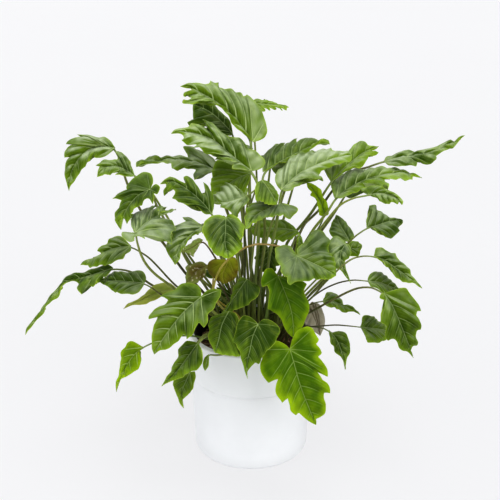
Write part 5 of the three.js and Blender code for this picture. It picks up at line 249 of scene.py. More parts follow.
        ("green", 0.36, [-19.9,-52.2,200.4,-20.9,-54.0,212.7,-24.5,-60.9,224.3,-27.6,-66.7,234.6,-31.0,-73.2,243.6,-35.0,-81.0,252.3,-39.5,-89.8,260.5,-44.5,-99.4,268.2,-49.8,-109.4,274.9,-55.3,-119.5,280.5,-61.0,-129.5,284.7,-67.5,-139.4,288.2,-74.5,-149.8,290.7,-80.6,-160.6,291.2,-85.9,-172.0,290.4],
         [-85.9,-172.0,290.4,-80.8,-180.3,285.7,-77.4,-189.9,278.1,-77.3,-196.5,270.8,-82.1,-199.0,263.1,-88.7,-199.4,256.0,-100.2,-195.9,248.5,-111.7,-192.6,239.4,-123.4,-188.5,231.6,-135.2,-184.0,223.5,-147.1,-179.0,214.2],
         [-85.9,-172.0,290.4,-98.8,-177.2,273.2,-112.0,-180.8,254.9,-126.9,-182.3,235.5,-147.1,-179.0,214.2],
         [-85.9,-172.0,290.4,-97.3,-166.8,291.3,-105.5,-164.3,290.0,-112.1,-165.5,283.4,-120.3,-166.2,275.5,-118.6,-171.7,266.5,-123.6,-174.1,256.8,-128.5,-175.5,248.4,-130.2,-177.7,242.2,-138.6,-177.5,231.0,-142.0,-179.1,222.6,-147.1,-179.0,214.2]),
        ("green", 0.32, [-21.9,-51.9,200.8,-27.3,-52.4,216.6,-38.6,-54.5,229.6,-46.7,-57.4,239.9,-54.6,-61.2,247.5,-62.3,-65.5,252.7,-69.9,-70.3,255.4,-77.5,-75.7,255.6,-85.6,-84.2,251.7,-92.1,-94.3,246.3,-95.9,-104.6,241.9,-98.9,-115.6,237.3,-100.7,-126.9,232.9,-101.6,-138.2,229.0,-100.7,-150.0,225.0],
         [-100.7,-150.0,225.0,-92.4,-152.0,228.0,-90.7,-155.9,220.8,-94.0,-159.7,209.8,-95.7,-163.0,200.4,-102.5,-163.1,191.0,-110.9,-162.3,182.1,-114.3,-162.9,177.7,-111.1,-166.1,165.3],
         [-100.7,-150.0,225.0,-107.4,-154.3,210.5,-114.1,-158.2,193.9,-111.1,-166.1,165.3],
         [-100.7,-150.0,225.0,-114.0,-150.3,221.5,-125.6,-151.6,214.7,-129.0,-154.0,204.7,-125.7,-157.7,193.6,-120.8,-161.3,182.4,-117.6,-164.1,172.7,-111.1,-166.1,165.3]),
    ],
    "leaf_pair_rim_left": [
        ("green", 0.25, [-7.3,-50.0,200.4,-7.1,-50.2,206.6,-7.0,-52.1,211.9,-8.3,-56.7,216.5,-11.5,-64.2,220.6,-16.4,-73.3,224.4,-21.8,-82.3,228.0,-27.8,-91.7,231.5,-34.1,-101.9,235.2,-40.7,-112.7,239.1,-47.2,-123.9,243.6,-53.4,-135.4,248.7,-59.2,-147.0,254.5,-64.3,-158.6,261.3,-68.4,-170.0,269.3],
         [-68.4,-170.0,269.3,-68.4,-172.6,261.5,-69.3,-175.4,250.2,-75.1,-176.2,241.3],
         [-68.4,-170.0,269.3,-71.7,-173.1,258.1,-75.1,-176.2,241.3],
         [-68.4,-170.0,269.3,-74.9,-170.8,264.2,-78.2,-172.6,256.0,-78.3,-174.5,247.8,-75.1,-176.2,241.3]),
        ("green", 0.2, [-9.3,-49.7,200.8,-9.3,-50.8,212.6,-10.4,-56.3,223.7,-11.8,-62.6,234.1,-13.4,-70.1,243.9,-15.4,-78.4,253.2,-17.5,-87.3,262.0,-19.8,-96.4,270.5,-22.4,-105.2,278.8,-25.1,-113.4,287.0,-27.7,-120.6,295.0,-30.1,-126.4,303.1,-32.4,-130.5,311.2,-34.5,-132.5,319.5,-36.2,-132.0,328.1],
         [-36.2,-132.0,328.1,-24.7,-139.0,326.1,-19.8,-151.0,319.5,-18.9,-163.4,311.3,-16.5,-173.7,302.2,-18.0,-185.0,291.8,-14.8,-192.7,285.1,-18.0,-198.2,278.1,-27.6,-194.9,278.1,-37.3,-191.6,278.2,-47.0,-188.3,278.2,-58.3,-184.0,278.6],
         [-36.2,-132.0,328.1,-47.3,-151.5,312.5,-52.0,-169.0,296.1,-58.3,-184.0,278.6],
         [-36.2,-132.0,328.1,-45.9,-134.3,326.5,-55.6,-136.6,324.9,-63.7,-140.0,322.1,-67.7,-144.7,318.1,-70.0,-151.7,312.6,-67.5,-158.2,306.8,-69.8,-165.7,299.8,-67.3,-172.3,292.4,-63.2,-177.1,286.7,-60.7,-181.4,281.8,-58.3,-184.0,278.6]),
    ],
    "leaf_front_heart": [
        ("green", 0.08, [10.3,-54.4,200.4,10.0,-57.5,211.6,8.7,-69.1,221.9,7.5,-78.5,231.5,6.5,-86.6,240.5,5.6,-94.7,249.0,4.9,-102.8,257.1,4.3,-110.9,264.9,4.0,-118.9,272.5,4.0,-126.8,280.1,4.4,-134.6,287.7,5.2,-142.3,295.5,6.5,-149.9,303.5,8.4,-157.3,312.0,10.9,-164.5,320.9],
         [10.9,-164.5,320.9,17.3,-161.1,326.4,23.7,-161.0,328.2,31.7,-164.1,327.0,39.7,-169.2,324.2,45.2,-176.0,319.6,46.0,-182.7,314.1,41.9,-188.5,308.1,37.9,-193.7,301.9,28.3,-198.7,293.7,21.9,-202.8,286.9,17.1,-206.4,280.7,11.5,-210.5,272.1,6.0,-208.3,274.5,0.4,-210.5,268.5,-6.0,-213.4,261.0,-6.0,-219.6,250.8],
         [10.9,-164.5,320.9,2.8,-178.7,306.6,-2.0,-193.8,289.3,-6.8,-205.9,272.3,-6.0,-219.6,250.8],
         [10.9,-164.5,320.9,1.2,-159.0,329.0,-6.8,-157.2,332.5,-13.3,-157.9,332.9,-18.1,-162.5,328.9,-22.1,-168.0,323.6,-24.4,-174.1,316.9,-26.0,-180.0,310.9,-29.2,-188.1,301.6,-24.4,-190.8,297.6,-22.0,-194.9,291.7,-18.0,-197.5,286.7,-16.4,-202.8,278.7,-13.2,-208.0,271.6,-10.8,-212.6,263.3,-6.0,-219.6,250.8]),
    ],
    "leaf_front_upper": [
        ("green", 0.14, [10.4,-35.0,200.4,10.2,-35.7,215.7,9.5,-37.7,230.1,8.8,-39.6,243.8,8.0,-41.7,256.8,7.1,-44.3,269.2,6.1,-47.1,281.0,5.0,-50.4,292.3,3.7,-54.0,303.2,2.3,-58.0,313.7,0.7,-62.4,323.9,-1.0,-67.2,333.9,-2.8,-72.4,343.7,-4.8,-78.0,353.4,-6.9,-84.0,363.1],
         [-6.9,-84.0,363.1,-2.0,-88.0,362.2,4.6,-96.8,359.1,14.4,-103.0,358.4,13.5,-110.4,353.8,12.7,-118.3,348.6,7.8,-122.3,344.2,-0.4,-122.9,340.8,-5.3,-126.5,336.3,-13.4,-125.1,333.8,-19.9,-126.6,329.9,-29.7,-126.6,325.4,-37.9,-128.1,319.8,-49.4,-129.2,313.0],
         [-6.9,-84.0,363.1,-18.4,-97.6,351.3,-31.5,-111.7,336.3,-49.4,-129.2,313.0],
         [-6.9,-84.0,363.1,-15.2,-79.4,365.5,-21.0,-82.6,362.4,-23.4,-88.2,357.8,-28.3,-92.6,353.5,-30.7,-100.1,347.0,-33.2,-105.0,342.1,-34.0,-111.4,336.1,-39.7,-114.8,331.4,-42.9,-119.8,325.7,-48.6,-123.0,320.0,-49.4,-129.2,313.0]),
    ],
    "leaf_front_bright": [
        ("young", 0.2, [19.2,-45.6,200.4,19.6,-47.0,217.6,20.7,-50.0,233.7,21.7,-53.1,249.1,23.0,-56.7,263.6,24.4,-60.9,277.4,26.1,-65.6,290.6,27.8,-70.7,303.3,29.7,-76.3,315.5,31.8,-82.2,327.3,33.9,-88.5,338.8,36.2,-95.0,350.1,38.5,-101.8,361.3,40.9,-108.8,372.4,43.4,-116.0,383.5],
         [43.4,-116.0,383.5,56.4,-117.5,382.4,69.3,-120.3,378.4,82.2,-121.6,377.2,90.3,-124.1,373.0,85.4,-129.1,362.8,88.7,-133.3,354.0,93.5,-138.1,345.6,93.5,-143.3,333.7,88.7,-147.4,323.1,83.8,-152.9,311.4,75.7,-155.7,302.0,68.5,-158.8,291.7],
         [43.4,-116.0,383.5,53.1,-127.6,363.9,62.8,-138.9,340.6,67.6,-148.9,318.4,68.5,-158.8,291.7],
         [43.4,-116.0,383.5,33.7,-111.7,395.8,23.9,-114.3,395.2,19.0,-119.5,388.7,15.8,-126.9,379.6,17.4,-132.5,371.6,25.5,-128.8,373.4,28.7,-133.9,365.1,27.0,-142.4,353.1,25.4,-150.5,340.9,33.5,-149.6,336.9,40.0,-149.5,333.2,46.5,-151.7,325.3,51.4,-154.6,314.1,57.9,-157.5,302.9,68.5,-158.8,291.7]),
    ],
    "leaf_front_right_broad": [
        ("green", 0.24, [24.2,-34.9,200.4,22.7,-36.1,206.5,21.3,-37.3,212.6,19.6,-38.8,218.5,17.0,-40.9,223.8,14.4,-43.1,229.2,11.8,-45.2,234.7,9.4,-47.2,240.2,7.0,-49.2,245.7,4.4,-51.4,251.1,1.4,-53.9,256.2,-1.5,-56.3,261.3,-4.8,-59.0,266.0,-8.3,-61.9,270.4,-11.8,-64.7,274.8,-15.5,-67.7,279.1,-19.3,-70.8,283.2,-23.0,-73.9,287.3,-26.8,-77.0,291.4,-30.6,-80.1,295.4,-34.4,-83.2,299.5,-38.2,-86.2,303.6,-41.8,-89.2,307.9,-45.4,-92.2,312.2,-48.9,-95.1,316.6,-52.0,-97.7,321.5,-55.1,-100.3,326.4,-57.6,-102.5,331.8,-59.6,-104.3,337.5,-61.6,-106.1,343.3,-61.7,-106.7,349.6,-61.8,-107.2,355.9,-61.1,-107.5,362.2,-59.4,-107.6,368.3,-57.8,-107.8,374.5,-55.6,-107.8,380.4,-53.1,-107.9,386.3,-50.5,-107.9,392.1,-47.1,-108.0,397.4,-43.2,-108.1,402.4,-39.3,-108.1,407.4,-34.7,-108.0,411.8,-30.0,-107.9,416.1,-25.3,-107.8,420.4,-19.9,-107.4,423.7,-14.5,-106.9,427.0,-8.9,-106.5,430.0,-2.9,-106.1,432.0,3.1,-104.9,433.6,9.3,-102.9,434.1,15.7,-100.8,433.0,22.1,-98.5,431.9,28.5,-96.5,430.5,34.8,-95.3,429.0,41.2,-95.0,427.9,47.3,-95.3,426.2,53.2,-95.5,423.9,59.2,-95.8,421.7,64.4,-97.9,418.9,69.2,-104.2,417.7,74.0,-108.0,415.5],
         [74.0,-108.0,415.5,74.3,-95.6,422.4,84.5,-81.4,426.7,94.7,-70.5,429.1,98.4,-56.7,435.7,110.3,-46.5,436.7,123.7,-45.6,430.9,131.8,-53.1,421.5,127.8,-68.9,414.1,132.3,-82.2,403.8,138.6,-92.1,392.2,138.0,-108.7,380.1],
         [74.0,-108.0,415.5,91.9,-109.6,407.3,113.2,-109.2,396.4,138.0,-108.7,380.1],
         [74.0,-108.0,415.5,67.7,-99.9,422.5,62.9,-94.6,427.2,53.1,-96.8,430.0,44.9,-101.1,431.0,38.3,-109.3,429.3,39.0,-119.1,424.0,38.6,-126.7,420.4,44.4,-133.6,414.7,47.6,-137.9,411.4,46.6,-147.7,407.1,52.1,-154.0,402.1,57.7,-153.6,400.2,58.4,-161.9,396.2,63.9,-164.3,392.9,71.3,-157.4,393.2,81.0,-151.9,391.5,92.5,-145.1,389.1,104.2,-133.4,388.1,115.8,-129.5,382.7,129.3,-118.7,380.3,138.0,-108.7,380.1]),
    ],
    "leaf_right_grey": [
        ("green", 0.22, [35.6,-17.1,200.4,38.0,-17.5,218.3,43.5,-18.6,235.3,49.5,-19.8,251.0,58.2,-21.6,265.6,69.3,-23.9,279.4,81.3,-26.3,292.8,92.8,-28.4,306.4,103.8,-30.1,320.0,115.2,-31.8,333.4,127.6,-33.6,346.2,137.8,-35.4,359.9,146.0,-37.1,375.0,152.8,-38.8,391.3,157.7,-40.5,408.8],
         [157.7,-40.5,408.8,164.0,-47.7,406.5,165.0,-59.6,400.9,161.3,-69.1,394.3,154.5,-72.8,390.6,155.7,-85.1,381.7,160.1,-97.0,372.8,162.9,-107.0,364.8],
         [157.7,-40.5,408.8,148.7,-56.4,399.5,147.9,-75.2,388.0,162.9,-107.0,364.8],
         [157.7,-40.5,408.8,148.1,-30.9,415.5,139.8,-29.5,416.7,131.2,-37.0,412.7,127.4,-49.1,405.3,130.2,-63.0,397.0,134.6,-76.1,388.4,139.3,-84.3,383.2,145.7,-87.1,380.8,155.2,-97.2,372.9,162.9,-107.0,364.8]),
    ],
    "leaf_front_lobed": [
        ("young", 0.26, [29.5,-51.8,200.4,29.7,-52.6,207.8,30.9,-57.0,214.3,33.3,-66.1,220.2,36.2,-77.1,225.5,38.8,-87.0,230.4,41.6,-97.5,235.1,44.6,-108.6,239.7,47.6,-119.9,244.3,50.6,-131.1,249.2,53.4,-141.9,254.4,56.2,-152.1,260.1,58.6,-161.4,266.4,60.8,-169.4,273.5,62.5,-176.0,281.6],
         [62.5,-176.0,281.6,64.1,-172.4,290.6,67.3,-168.7,299.6,73.8,-164.8,308.5,81.8,-162.8,312.8,91.5,-161.7,315.0,99.6,-163.4,311.3,102.8,-166.1,305.5,109.2,-171.0,296.2,104.3,-174.1,289.7,114.0,-180.9,276.9,107.5,-183.1,271.7,114.0,-186.2,265.2,122.0,-191.6,253.5,123.7,-196.0,241.3,114.0,-194.1,245.7,105.9,-192.9,248.7,114.0,-196.3,239.6,122.1,-198.4,233.4,127.0,-201.1,223.9,127.1,-203.6,216.1,117.4,-203.8,216.2,117.4,-206.3,208.4,120.8,-209.1,197.0,119.3,-212.8,184.3,112.8,-214.7,178.0,104.7,-215.9,174.9,104.8,-218.0,164.9],
         [62.5,-176.0,281.6,68.9,-186.4,261.6,75.4,-196.0,239.5,83.5,-204.5,216.6,93.3,-211.5,192.8,104.8,-218.0,164.9],
         [62.5,-176.0,281.6,56.0,-174.7,288.2,47.9,-174.3,293.5,33.4,-176.1,298.0,22.1,-180.1,296.5,15.6,-184.7,291.7,12.4,-189.5,285.2,18.0,-193.7,275.6,14.0,-200.1,267.3,14.8,-205.7,257.7,20.4,-209.0,248.5,28.4,-211.3,238.9,35.7,-207.8,241.5,43.7,-204.7,242.5,40.5,-210.9,233.1,41.3,-216.4,221.6,49.4,-220.4,207.3,53.4,-217.7,210.4,58.0,-214.5,213.1,59.9,-218.5,204.3,63.1,-221.9,193.4,72.1,-222.1,185.2,77.8,-219.3,188.1,85.1,-219.8,180.1,95.0,-219.7,171.6,104.8,-218.0,164.9]),
    ],
    "leaf_right_inner": [
        ("green", 0.22, [46.9,10.0,200.4,49.3,9.7,217.2,55.4,8.9,233.0,62.1,8.0,247.2,72.0,6.6,260.3,83.8,5.0,272.6,95.6,3.4,284.9,106.7,2.2,297.3,118.0,1.0,309.5,128.5,-0.1,322.3,138.6,-1.3,335.6,147.2,-2.5,349.7,154.7,-3.7,364.3,161.4,-4.8,379.6,167.0,-6.0,395.5],
         [167.0,-6.0,395.5,155.3,-3.0,396.0,142.0,2.3,397.4,132.6,19.1,403.1,136.7,34.8,409.4,142.5,49.0,414.5,146.4,59.8,418.4],
         [167.0,-6.0,395.5,159.5,14.1,403.4,152.0,33.3,410.0,146.4,59.8,418.4],
         [167.0,-6.0,395.5,174.3,4.1,400.3,171.7,19.7,406.5,164.0,34.3,411.4,154.6,51.4,416.3,146.4,59.8,418.4]),
    ],
    "leaf_pair_right_inner": [
        ("green", 0.3, [43.8,-5.4,200.4,46.4,-5.7,218.3,52.0,-6.4,235.1,58.2,-7.1,250.9,65.5,-8.0,265.8,73.8,-9.1,280.0,82.8,-10.2,293.5,92.5,-11.4,306.4,102.6,-12.6,319.0,113.0,-13.9,331.3,123.5,-15.2,343.4,133.9,-16.4,355.4,144.0,-17.7,367.5,153.7,-18.9,379.8,162.8,-20.0,392.4],
         [162.8,-20.0,392.4,166.4,-12.0,399.9,176.9,-7.8,398.1,185.5,-7.3,393.3,187.1,-11.0,388.4],
         [162.8,-20.0,392.4,173.0,-19.2,388.4,187.1,-11.0,388.4],
         [162.8,-20.0,392.4,164.2,-30.1,380.4,174.5,-27.1,379.0,181.4,-24.8,378.0,183.4,-17.7,384.1,187.1,-11.0,388.4]),
        ("green", 0.3, [41.8,-5.1,200.8,43.3,-6.6,223.0,44.9,-8.5,243.9,46.7,-10.7,263.8,48.3,-13.2,282.8,49.9,-16.1,300.9,51.9,-19.5,318.2,54.0,-23.3,334.7,56.5,-27.7,350.7,59.3,-32.5,366.0,62.4,-38.0,380.9,65.8,-44.0,395.5,69.6,-50.7,409.8,73.7,-58.0,423.9,78.3,-66.0,437.9],
         [78.3,-66.0,437.9,83.3,-67.7,429.7,85.0,-72.0,415.4,80.1,-76.4,404.8,75.1,-78.5,401.3],
         [78.3,-66.0,437.9,78.3,-71.4,422.4,75.1,-78.5,401.3],
         [78.3,-66.0,437.9,75.0,-69.6,430.5,73.4,-74.0,418.1,71.8,-77.3,408.8,75.1,-78.5,401.3]),
    ],
    "leaf_right_wedge": [
        ("green", 0.15, [59.9,-11.5,200.4,62.1,-12.0,220.2,66.7,-13.0,239.1,72.6,-14.3,257.2,81.7,-16.5,274.5,92.4,-18.8,291.2,103.2,-20.7,307.4,115.5,-22.4,322.7,127.3,-24.0,338.2,136.6,-25.6,355.2,144.2,-27.2,373.5,152.5,-28.8,391.2,164.0,-30.5,406.4,177.4,-32.2,420.8,192.3,-34.0,433.1],
         [192.3,-34.0,433.1,191.1,-23.8,441.5,195.4,-9.1,448.0,199.5,2.6,452.2,198.0,7.2,456.6,209.0,17.7,453.3,217.7,16.9,444.5,226.6,18.8,437.3,233.7,18.9,430.8,246.8,29.0,424.8,259.8,37.6,417.5],
         [192.3,-34.0,433.1,212.4,-13.1,429.7,235.1,13.2,425.9,259.8,37.6,417.5],
         [192.3,-34.0,433.1,201.2,-27.5,430.4,207.9,-29.5,424.9,218.3,-27.7,418.7,225.2,-27.5,414.0,234.1,-22.7,410.1,243.9,-7.7,410.0,250.2,5.5,410.8,250.9,14.6,414.2,257.2,26.5,414.7,259.8,37.6,417.5]),
    ],
    "leaf_right_narrow": [
        ("green", 0.22, [48.9,-16.2,200.4,51.7,-20.1,222.8,56.1,-26.2,244.0,61.1,-33.4,263.4,67.3,-44.3,280.7,75.1,-60.4,296.6,84.2,-77.4,311.6,94.3,-91.2,326.5,105.3,-97.7,342.2,118.1,-97.7,359.6,133.1,-97.7,376.4,148.9,-92.0,390.6,166.3,-80.9,398.4,185.2,-69.4,397.8,203.4,-58.0,392.9],
         [203.4,-58.0,392.9,205.5,-50.4,398.6,207.5,-44.8,402.5,217.8,-41.5,401.0,224.5,-43.4,396.4,234.6,-43.1,392.6,241.6,-40.7,391.6,242.9,-46.5,385.9,252.8,-51.4,377.2,262.8,-55.8,368.2,267.5,-61.9,360.0,275.8,-66.5,351.2,283.9,-72.6,340.2],
         [203.4,-58.0,392.9,220.3,-58.1,385.7,241.9,-63.3,371.7,262.1,-67.7,357.3,283.9,-72.6,340.2],
         [203.4,-58.0,392.9,209.9,-61.7,388.3,216.5,-63.4,384.5,222.9,-69.3,378.1,229.8,-67.5,375.5,231.2,-72.1,372.1,237.4,-79.4,364.5,247.5,-79.9,358.4,259.6,-77.4,352.7,272.0,-71.3,348.9,278.7,-74.0,342.8,283.9,-72.6,340.2]),
    ],
    "leaf_right_small": [
        ("green", 0.25, [50.2,-28.7,200.4,52.1,-29.4,217.2,57.0,-31.0,233.4,62.0,-32.6,248.8,67.9,-34.6,263.3,75.6,-37.4,277.3,85.1,-40.8,290.9,95.7,-44.5,303.8,107.2,-48.1,315.8,118.9,-51.3,326.6,132.3,-54.1,335.9,146.7,-57.0,343.5,162.0,-59.9,348.7,178.1,-63.0,351.3,194.3,-66.0,350.9],
         [194.3,-66.0,350.9,195.6,-57.5,355.2,204.2,-43.2,356.8,215.3,-33.0,354.0,225.8,-31.0,345.6,236.4,-30.8,336.2,245.1,-31.5,327.2,252.0,-35.3,317.7],
         [194.3,-66.0,350.9,212.2,-53.8,343.3,231.9,-44.6,331.5,252.0,-35.3,317.7],
         [194.3,-66.0,350.9,197.1,-75.2,345.2,209.3,-70.9,338.5,218.0,-69.5,332.3,228.6,-66.2,325.2,241.7,-53.5,319.0,252.0,-35.3,317.7]),
    ],
    "leaf_right_hanging": [
        ("green", 0.3, [-1.6,-60.4,200.4,4.6,-63.1,221.3,14.1,-67.2,240.4,24.7,-71.9,256.3,38.3,-78.5,269.9,54.3,-86.2,282.1,71.5,-94.1,293.6,88.8,-101.0,305.2,105.3,-106.1,317.7,121.9,-109.8,330.5,139.1,-112.9,342.5,157.0,-115.1,354.0,176.3,-116.8,362.7,197.4,-118.0,363.2,216.2,-118.9,354.3],
         [216.2,-118.9,354.3,226.1,-116.7,356.8,234.3,-115.2,357.9,242.6,-113.2,360.6,252.5,-112.1,360.0,257.5,-113.9,353.7,264.1,-116.3,345.8,270.8,-118.2,337.6,275.9,-119.7,331.1,279.3,-122.5,322.4,271.0,-123.4,322.9,269.4,-125.3,317.5,274.4,-126.9,310.9,278.0,-129.1,301.1,278.1,-131.6,293.2,271.5,-132.8,291.9,270.0,-135.6,282.3,273.5,-137.2,273.9,271.9,-139.1,268.5,265.3,-140.0,268.0,262.0,-142.4,261.9,266.5,-144.5,248.2],
         [216.2,-118.9,354.3,227.8,-123.5,338.4,239.6,-130.6,314.6,251.5,-137.6,287.0,266.5,-144.5,248.2],
         [216.2,-118.9,354.3,211.2,-120.9,354.3,208.6,-125.4,348.4,217.8,-124.3,344.2,214.3,-130.3,336.3,210.9,-136.7,326.8,209.1,-143.7,314.0,217.5,-143.6,306.7,219.2,-148.9,292.9,223.5,-151.0,283.0,229.4,-147.9,285.1,234.5,-146.3,283.4,239.7,-147.8,272.2,246.6,-147.9,263.9,255.2,-145.5,260.8,266.5,-144.5,248.2]),
    ],
    "leaf_right_curled": [
        ("green", 0.38, [1.6,28.8,200.4,3.7,27.5,212.3,11.4,22.6,223.6,17.7,18.6,233.7,24.3,14.4,242.3,31.7,9.1,249.6,40.0,2.7,256.2,49.0,-4.3,262.3,58.5,-11.5,267.9,68.4,-18.4,273.4,78.5,-24.5,278.8,88.8,-29.4,284.4,99.0,-32.5,290.2,109.8,-34.2,296.4,122.0,-35.6,299.0],
         [122.0,-35.6,299.0,125.9,-22.7,304.1,131.4,-12.9,306.0,142.1,-7.1,302.3,149.0,-9.5,295.8,155.8,-13.5,288.2,159.1,-18.2,282.9,171.8,-9.3,278.5,177.0,-10.8,273.5,188.4,-14.3,261.8],
         [122.0,-35.6,299.0,137.9,-25.5,294.1,153.7,-21.9,284.7,169.7,-17.6,275.0,188.4,-14.3,261.8],
         [122.0,-35.6,299.0,125.3,-39.6,294.4,135.7,-37.4,288.6,144.6,-31.5,285.7,148.0,-34.3,281.4,158.5,-32.4,274.7,169.5,-22.1,272.4,188.4,-14.3,261.8]),
    ],
    "leaf_right_low_wide": [
        ("green", 0.3, [47.5,-42.0,200.4,49.1,-42.5,212.7,55.7,-44.7,223.8,62.1,-47.0,233.5,70.0,-50.2,243.3,79.4,-53.8,252.1,89.6,-56.9,258.7,100.3,-58.9,262.0,112.7,-60.3,263.6,125.0,-60.7,264.9,137.3,-60.9,266.1,149.6,-60.8,266.0,161.8,-60.0,264.4,174.0,-59.1,262.8,186.1,-57.9,260.9],
         [186.1,-57.9,260.9,188.4,-47.7,267.2,190.5,-38.9,272.2,199.7,-31.2,270.3,208.7,-27.8,264.7,217.7,-26.1,258.1,228.5,-23.7,249.2,235.3,-29.1,238.5],
         [186.1,-57.9,260.9,200.5,-50.2,255.1,216.9,-40.3,248.1,235.3,-29.1,238.5],
         [186.1,-57.9,260.9,191.0,-63.9,254.5,193.9,-72.9,247.7,197.1,-78.0,242.8,209.6,-71.3,237.4,220.8,-61.1,233.9,232.3,-46.4,232.0,235.3,-29.1,238.5]),
    ],
    "leaf_right_low_oval": [
        ("green", 0.22, [35.8,-40.5,200.4,37.5,-40.9,211.8,44.2,-42.6,222.1,50.2,-43.9,231.1,56.0,-45.1,239.0,62.3,-46.3,245.7,68.8,-47.5,251.1,75.7,-48.8,255.3,82.9,-50.0,258.1,90.2,-51.3,259.6,97.9,-52.6,259.7,106.8,-54.0,259.1,115.6,-55.3,259.2,124.2,-56.7,259.3,132.0,-58.0,255.3],
         [132.0,-58.0,255.3,140.4,-61.1,251.1,150.8,-57.5,253.1,159.2,-59.1,250.1,164.1,-65.1,243.7,167.2,-73.5,234.8,166.9,-83.4,224.8,161.6,-89.8,218.6,159.7,-96.6,210.8,157.8,-103.4,203.1],
         [132.0,-58.0,255.3,143.6,-68.3,243.5,151.7,-81.1,229.2,157.8,-103.4,203.1],
         [132.0,-58.0,255.3,132.5,-67.3,248.6,134.7,-78.5,239.3,139.7,-80.9,234.9,142.9,-87.7,227.0,151.4,-90.0,220.6,155.4,-96.2,212.5,157.8,-103.4,203.1]),
    ],
    "leaf_old_yellow": [
        ("old", 0.5, [-0.5,-29.2,200.4,-2.3,-30.3,217.7,-6.6,-32.9,234.3,-11.1,-35.6,250.2,-16.5,-38.7,265.0,-25.8,-43.2,278.6,-37.7,-48.7,291.4,-49.6,-54.8,303.9,-59.1,-60.8,316.8,-63.6,-66.4,330.8,-63.6,-71.1,346.7,-62.1,-75.8,363.0,-56.9,-80.6,378.4,-48.5,-85.7,392.1,-36.3,-91.2,402.5],
         [-36.3,-91.2,402.5,-26.5,-90.9,406.0,-21.6,-95.8,397.4,-21.6,-101.3,385.6,-26.5,-103.6,374.1,-36.3,-104.5,367.3,-44.5,-104.7,363.8],
         [-36.3,-91.2,402.5,-42.8,-96.4,388.8,-46.1,-100.1,377.9,-44.5,-104.7,363.8],
         [-36.3,-91.2,402.5,-47.7,-91.2,398.9,-60.9,-88.2,401.2,-70.7,-89.6,394.6,-70.7,-95.1,380.9,-60.9,-100.2,372.5,-44.5,-104.7,363.8]),
    ],
    "leaf_pair_withered": [
        ("withered", 0.3, [-18.3,-14.4,200.4,-19.3,-15.2,216.9,-21.7,-17.3,232.5,-24.2,-19.4,247.2,-27.1,-21.9,261.2,-30.4,-24.8,274.5,-34.1,-28.0,287.2,-38.1,-31.5,299.4,-42.5,-35.3,311.1,-47.1,-39.3,322.4,-52.0,-43.5,333.5,-57.1,-47.9,344.4,-62.3,-52.5,355.1,-67.8,-57.2,365.8,-73.3,-62.0,376.6],
         [-73.3,-62.0,376.6,-74.9,-68.7,365.0,-85.0,-69.6,352.6,-96.9,-66.0,345.4,-108.9,-59.6,342.4],
         [-73.3,-62.0,376.6,-88.5,-58.6,367.7,-108.9,-59.6,342.4],
         [-73.3,-62.0,376.6,-80.1,-55.2,380.8,-92.0,-49.6,378.2,-102.2,-47.6,371.8,-109.0,-45.1,368.8,-108.9,-51.8,357.1,-108.9,-59.6,342.4]),
        ("withered", 1.05, [-20.3,-14.1,200.8,-21.1,-15.1,221.4,-22.7,-16.7,241.0,-24.6,-18.5,259.5,-27.1,-20.6,277.1,-30.4,-23.0,293.9,-34.1,-25.6,310.0,-38.3,-28.6,325.4,-42.8,-31.9,340.2,-47.9,-35.4,354.5,-53.3,-39.3,368.4,-59.2,-43.5,382.0,-65.5,-48.1,395.4,-72.3,-52.9,408.7,-79.5,-58.0,421.9],
         [-79.5,-58.0,421.9,-84.4,-62.4,413.0,-91.0,-65.8,403.7,-96.0,-68.7,396.0,-106.2,-59.4,399.0,-114.7,-54.3,397.6],
         [-79.5,-58.0,421.9,-92.8,-58.6,411.3,-114.7,-54.3,397.6],
         [-79.5,-58.0,421.9,-86.2,-52.9,423.2,-97.9,-51.8,415.6,-109.7,-51.3,406.3,-114.7,-54.3,397.6]),
    ],
    "leaf_dried_tan": [
        ("dry", 0.5, [35.1,2.3,200.4,36.5,2.0,208.3,43.8,0.9,215.7,55.1,-0.8,222.5,63.9,-1.9,229.0,71.4,-2.7,235.1,78.6,-3.5,240.9,85.4,-4.3,246.5,91.5,-5.1,251.9,96.8,-6.0,257.3,101.1,-7.0,262.7,104.2,-8.0,268.2,105.9,-9.3,273.8,106.1,-10.7,279.6,104.5,-12.2,285.7],
         [104.5,-12.2,285.7,116.5,-13.8,282.7,123.4,-19.0,269.9,126.9,-24.2,255.2,123.5,-29.3,240.5,118.4,-32.4,230.5],
         [104.5,-12.2,285.7,109.6,-19.4,268.2,114.9,-25.8,250.3,118.4,-32.4,230.5],
         [104.5,-12.2,285.7,94.0,-21.1,278.6,88.7,-31.1,264.5,97.4,-33.9,250.6,109.6,-33.1,238.6,118.4,-32.4,230.5]),
    ],
    "shoot_back_right": [
        ("green", 0.5, [14.1,46.0,200.4,13.8,47.8,237.6,13.6,49.5,272.9,13.3,51.4,306.4,12.9,53.6,338.3,12.5,56.3,368.7,12.0,59.7,397.7,11.4,63.9,425.4,10.6,69.1,452.1,9.7,75.4,477.8,8.5,83.0,502.7,7.1,92.1,526.9,5.5,102.9,550.6,3.6,115.5,573.8,1.4,130.0,596.8],
         [1.4,130.0,596.8,4.9,139.7,600.0,18.7,142.8,600.8,32.5,136.8,598.2,47.9,130.0,595.0,65.0,124.7,591.4],
         [1.4,130.0,596.8,18.6,127.7,595.8,41.0,126.7,594.3,65.0,124.7,591.4],
         [1.4,130.0,596.8,8.3,116.4,592.3,16.8,107.1,589.1,28.8,114.7,591.1,44.2,116.3,590.5,56.2,115.4,589.0,65.0,124.7,591.4]),
        ("green", 0.1, [12.1,46.3,200.8,12.0,44.6,207.7,12.4,39.5,213.6,15.5,35.7,218.7,22.0,37.1,223.1,30.2,44.0,227.1,38.9,54.6,230.9,48.2,67.8,234.7,57.6,83.2,238.7,66.7,100.4,243.1,74.9,118.9,248.2,81.7,138.4,254.1,86.7,158.4,261.0,89.4,178.4,269.2,89.1,198.1,279.0],
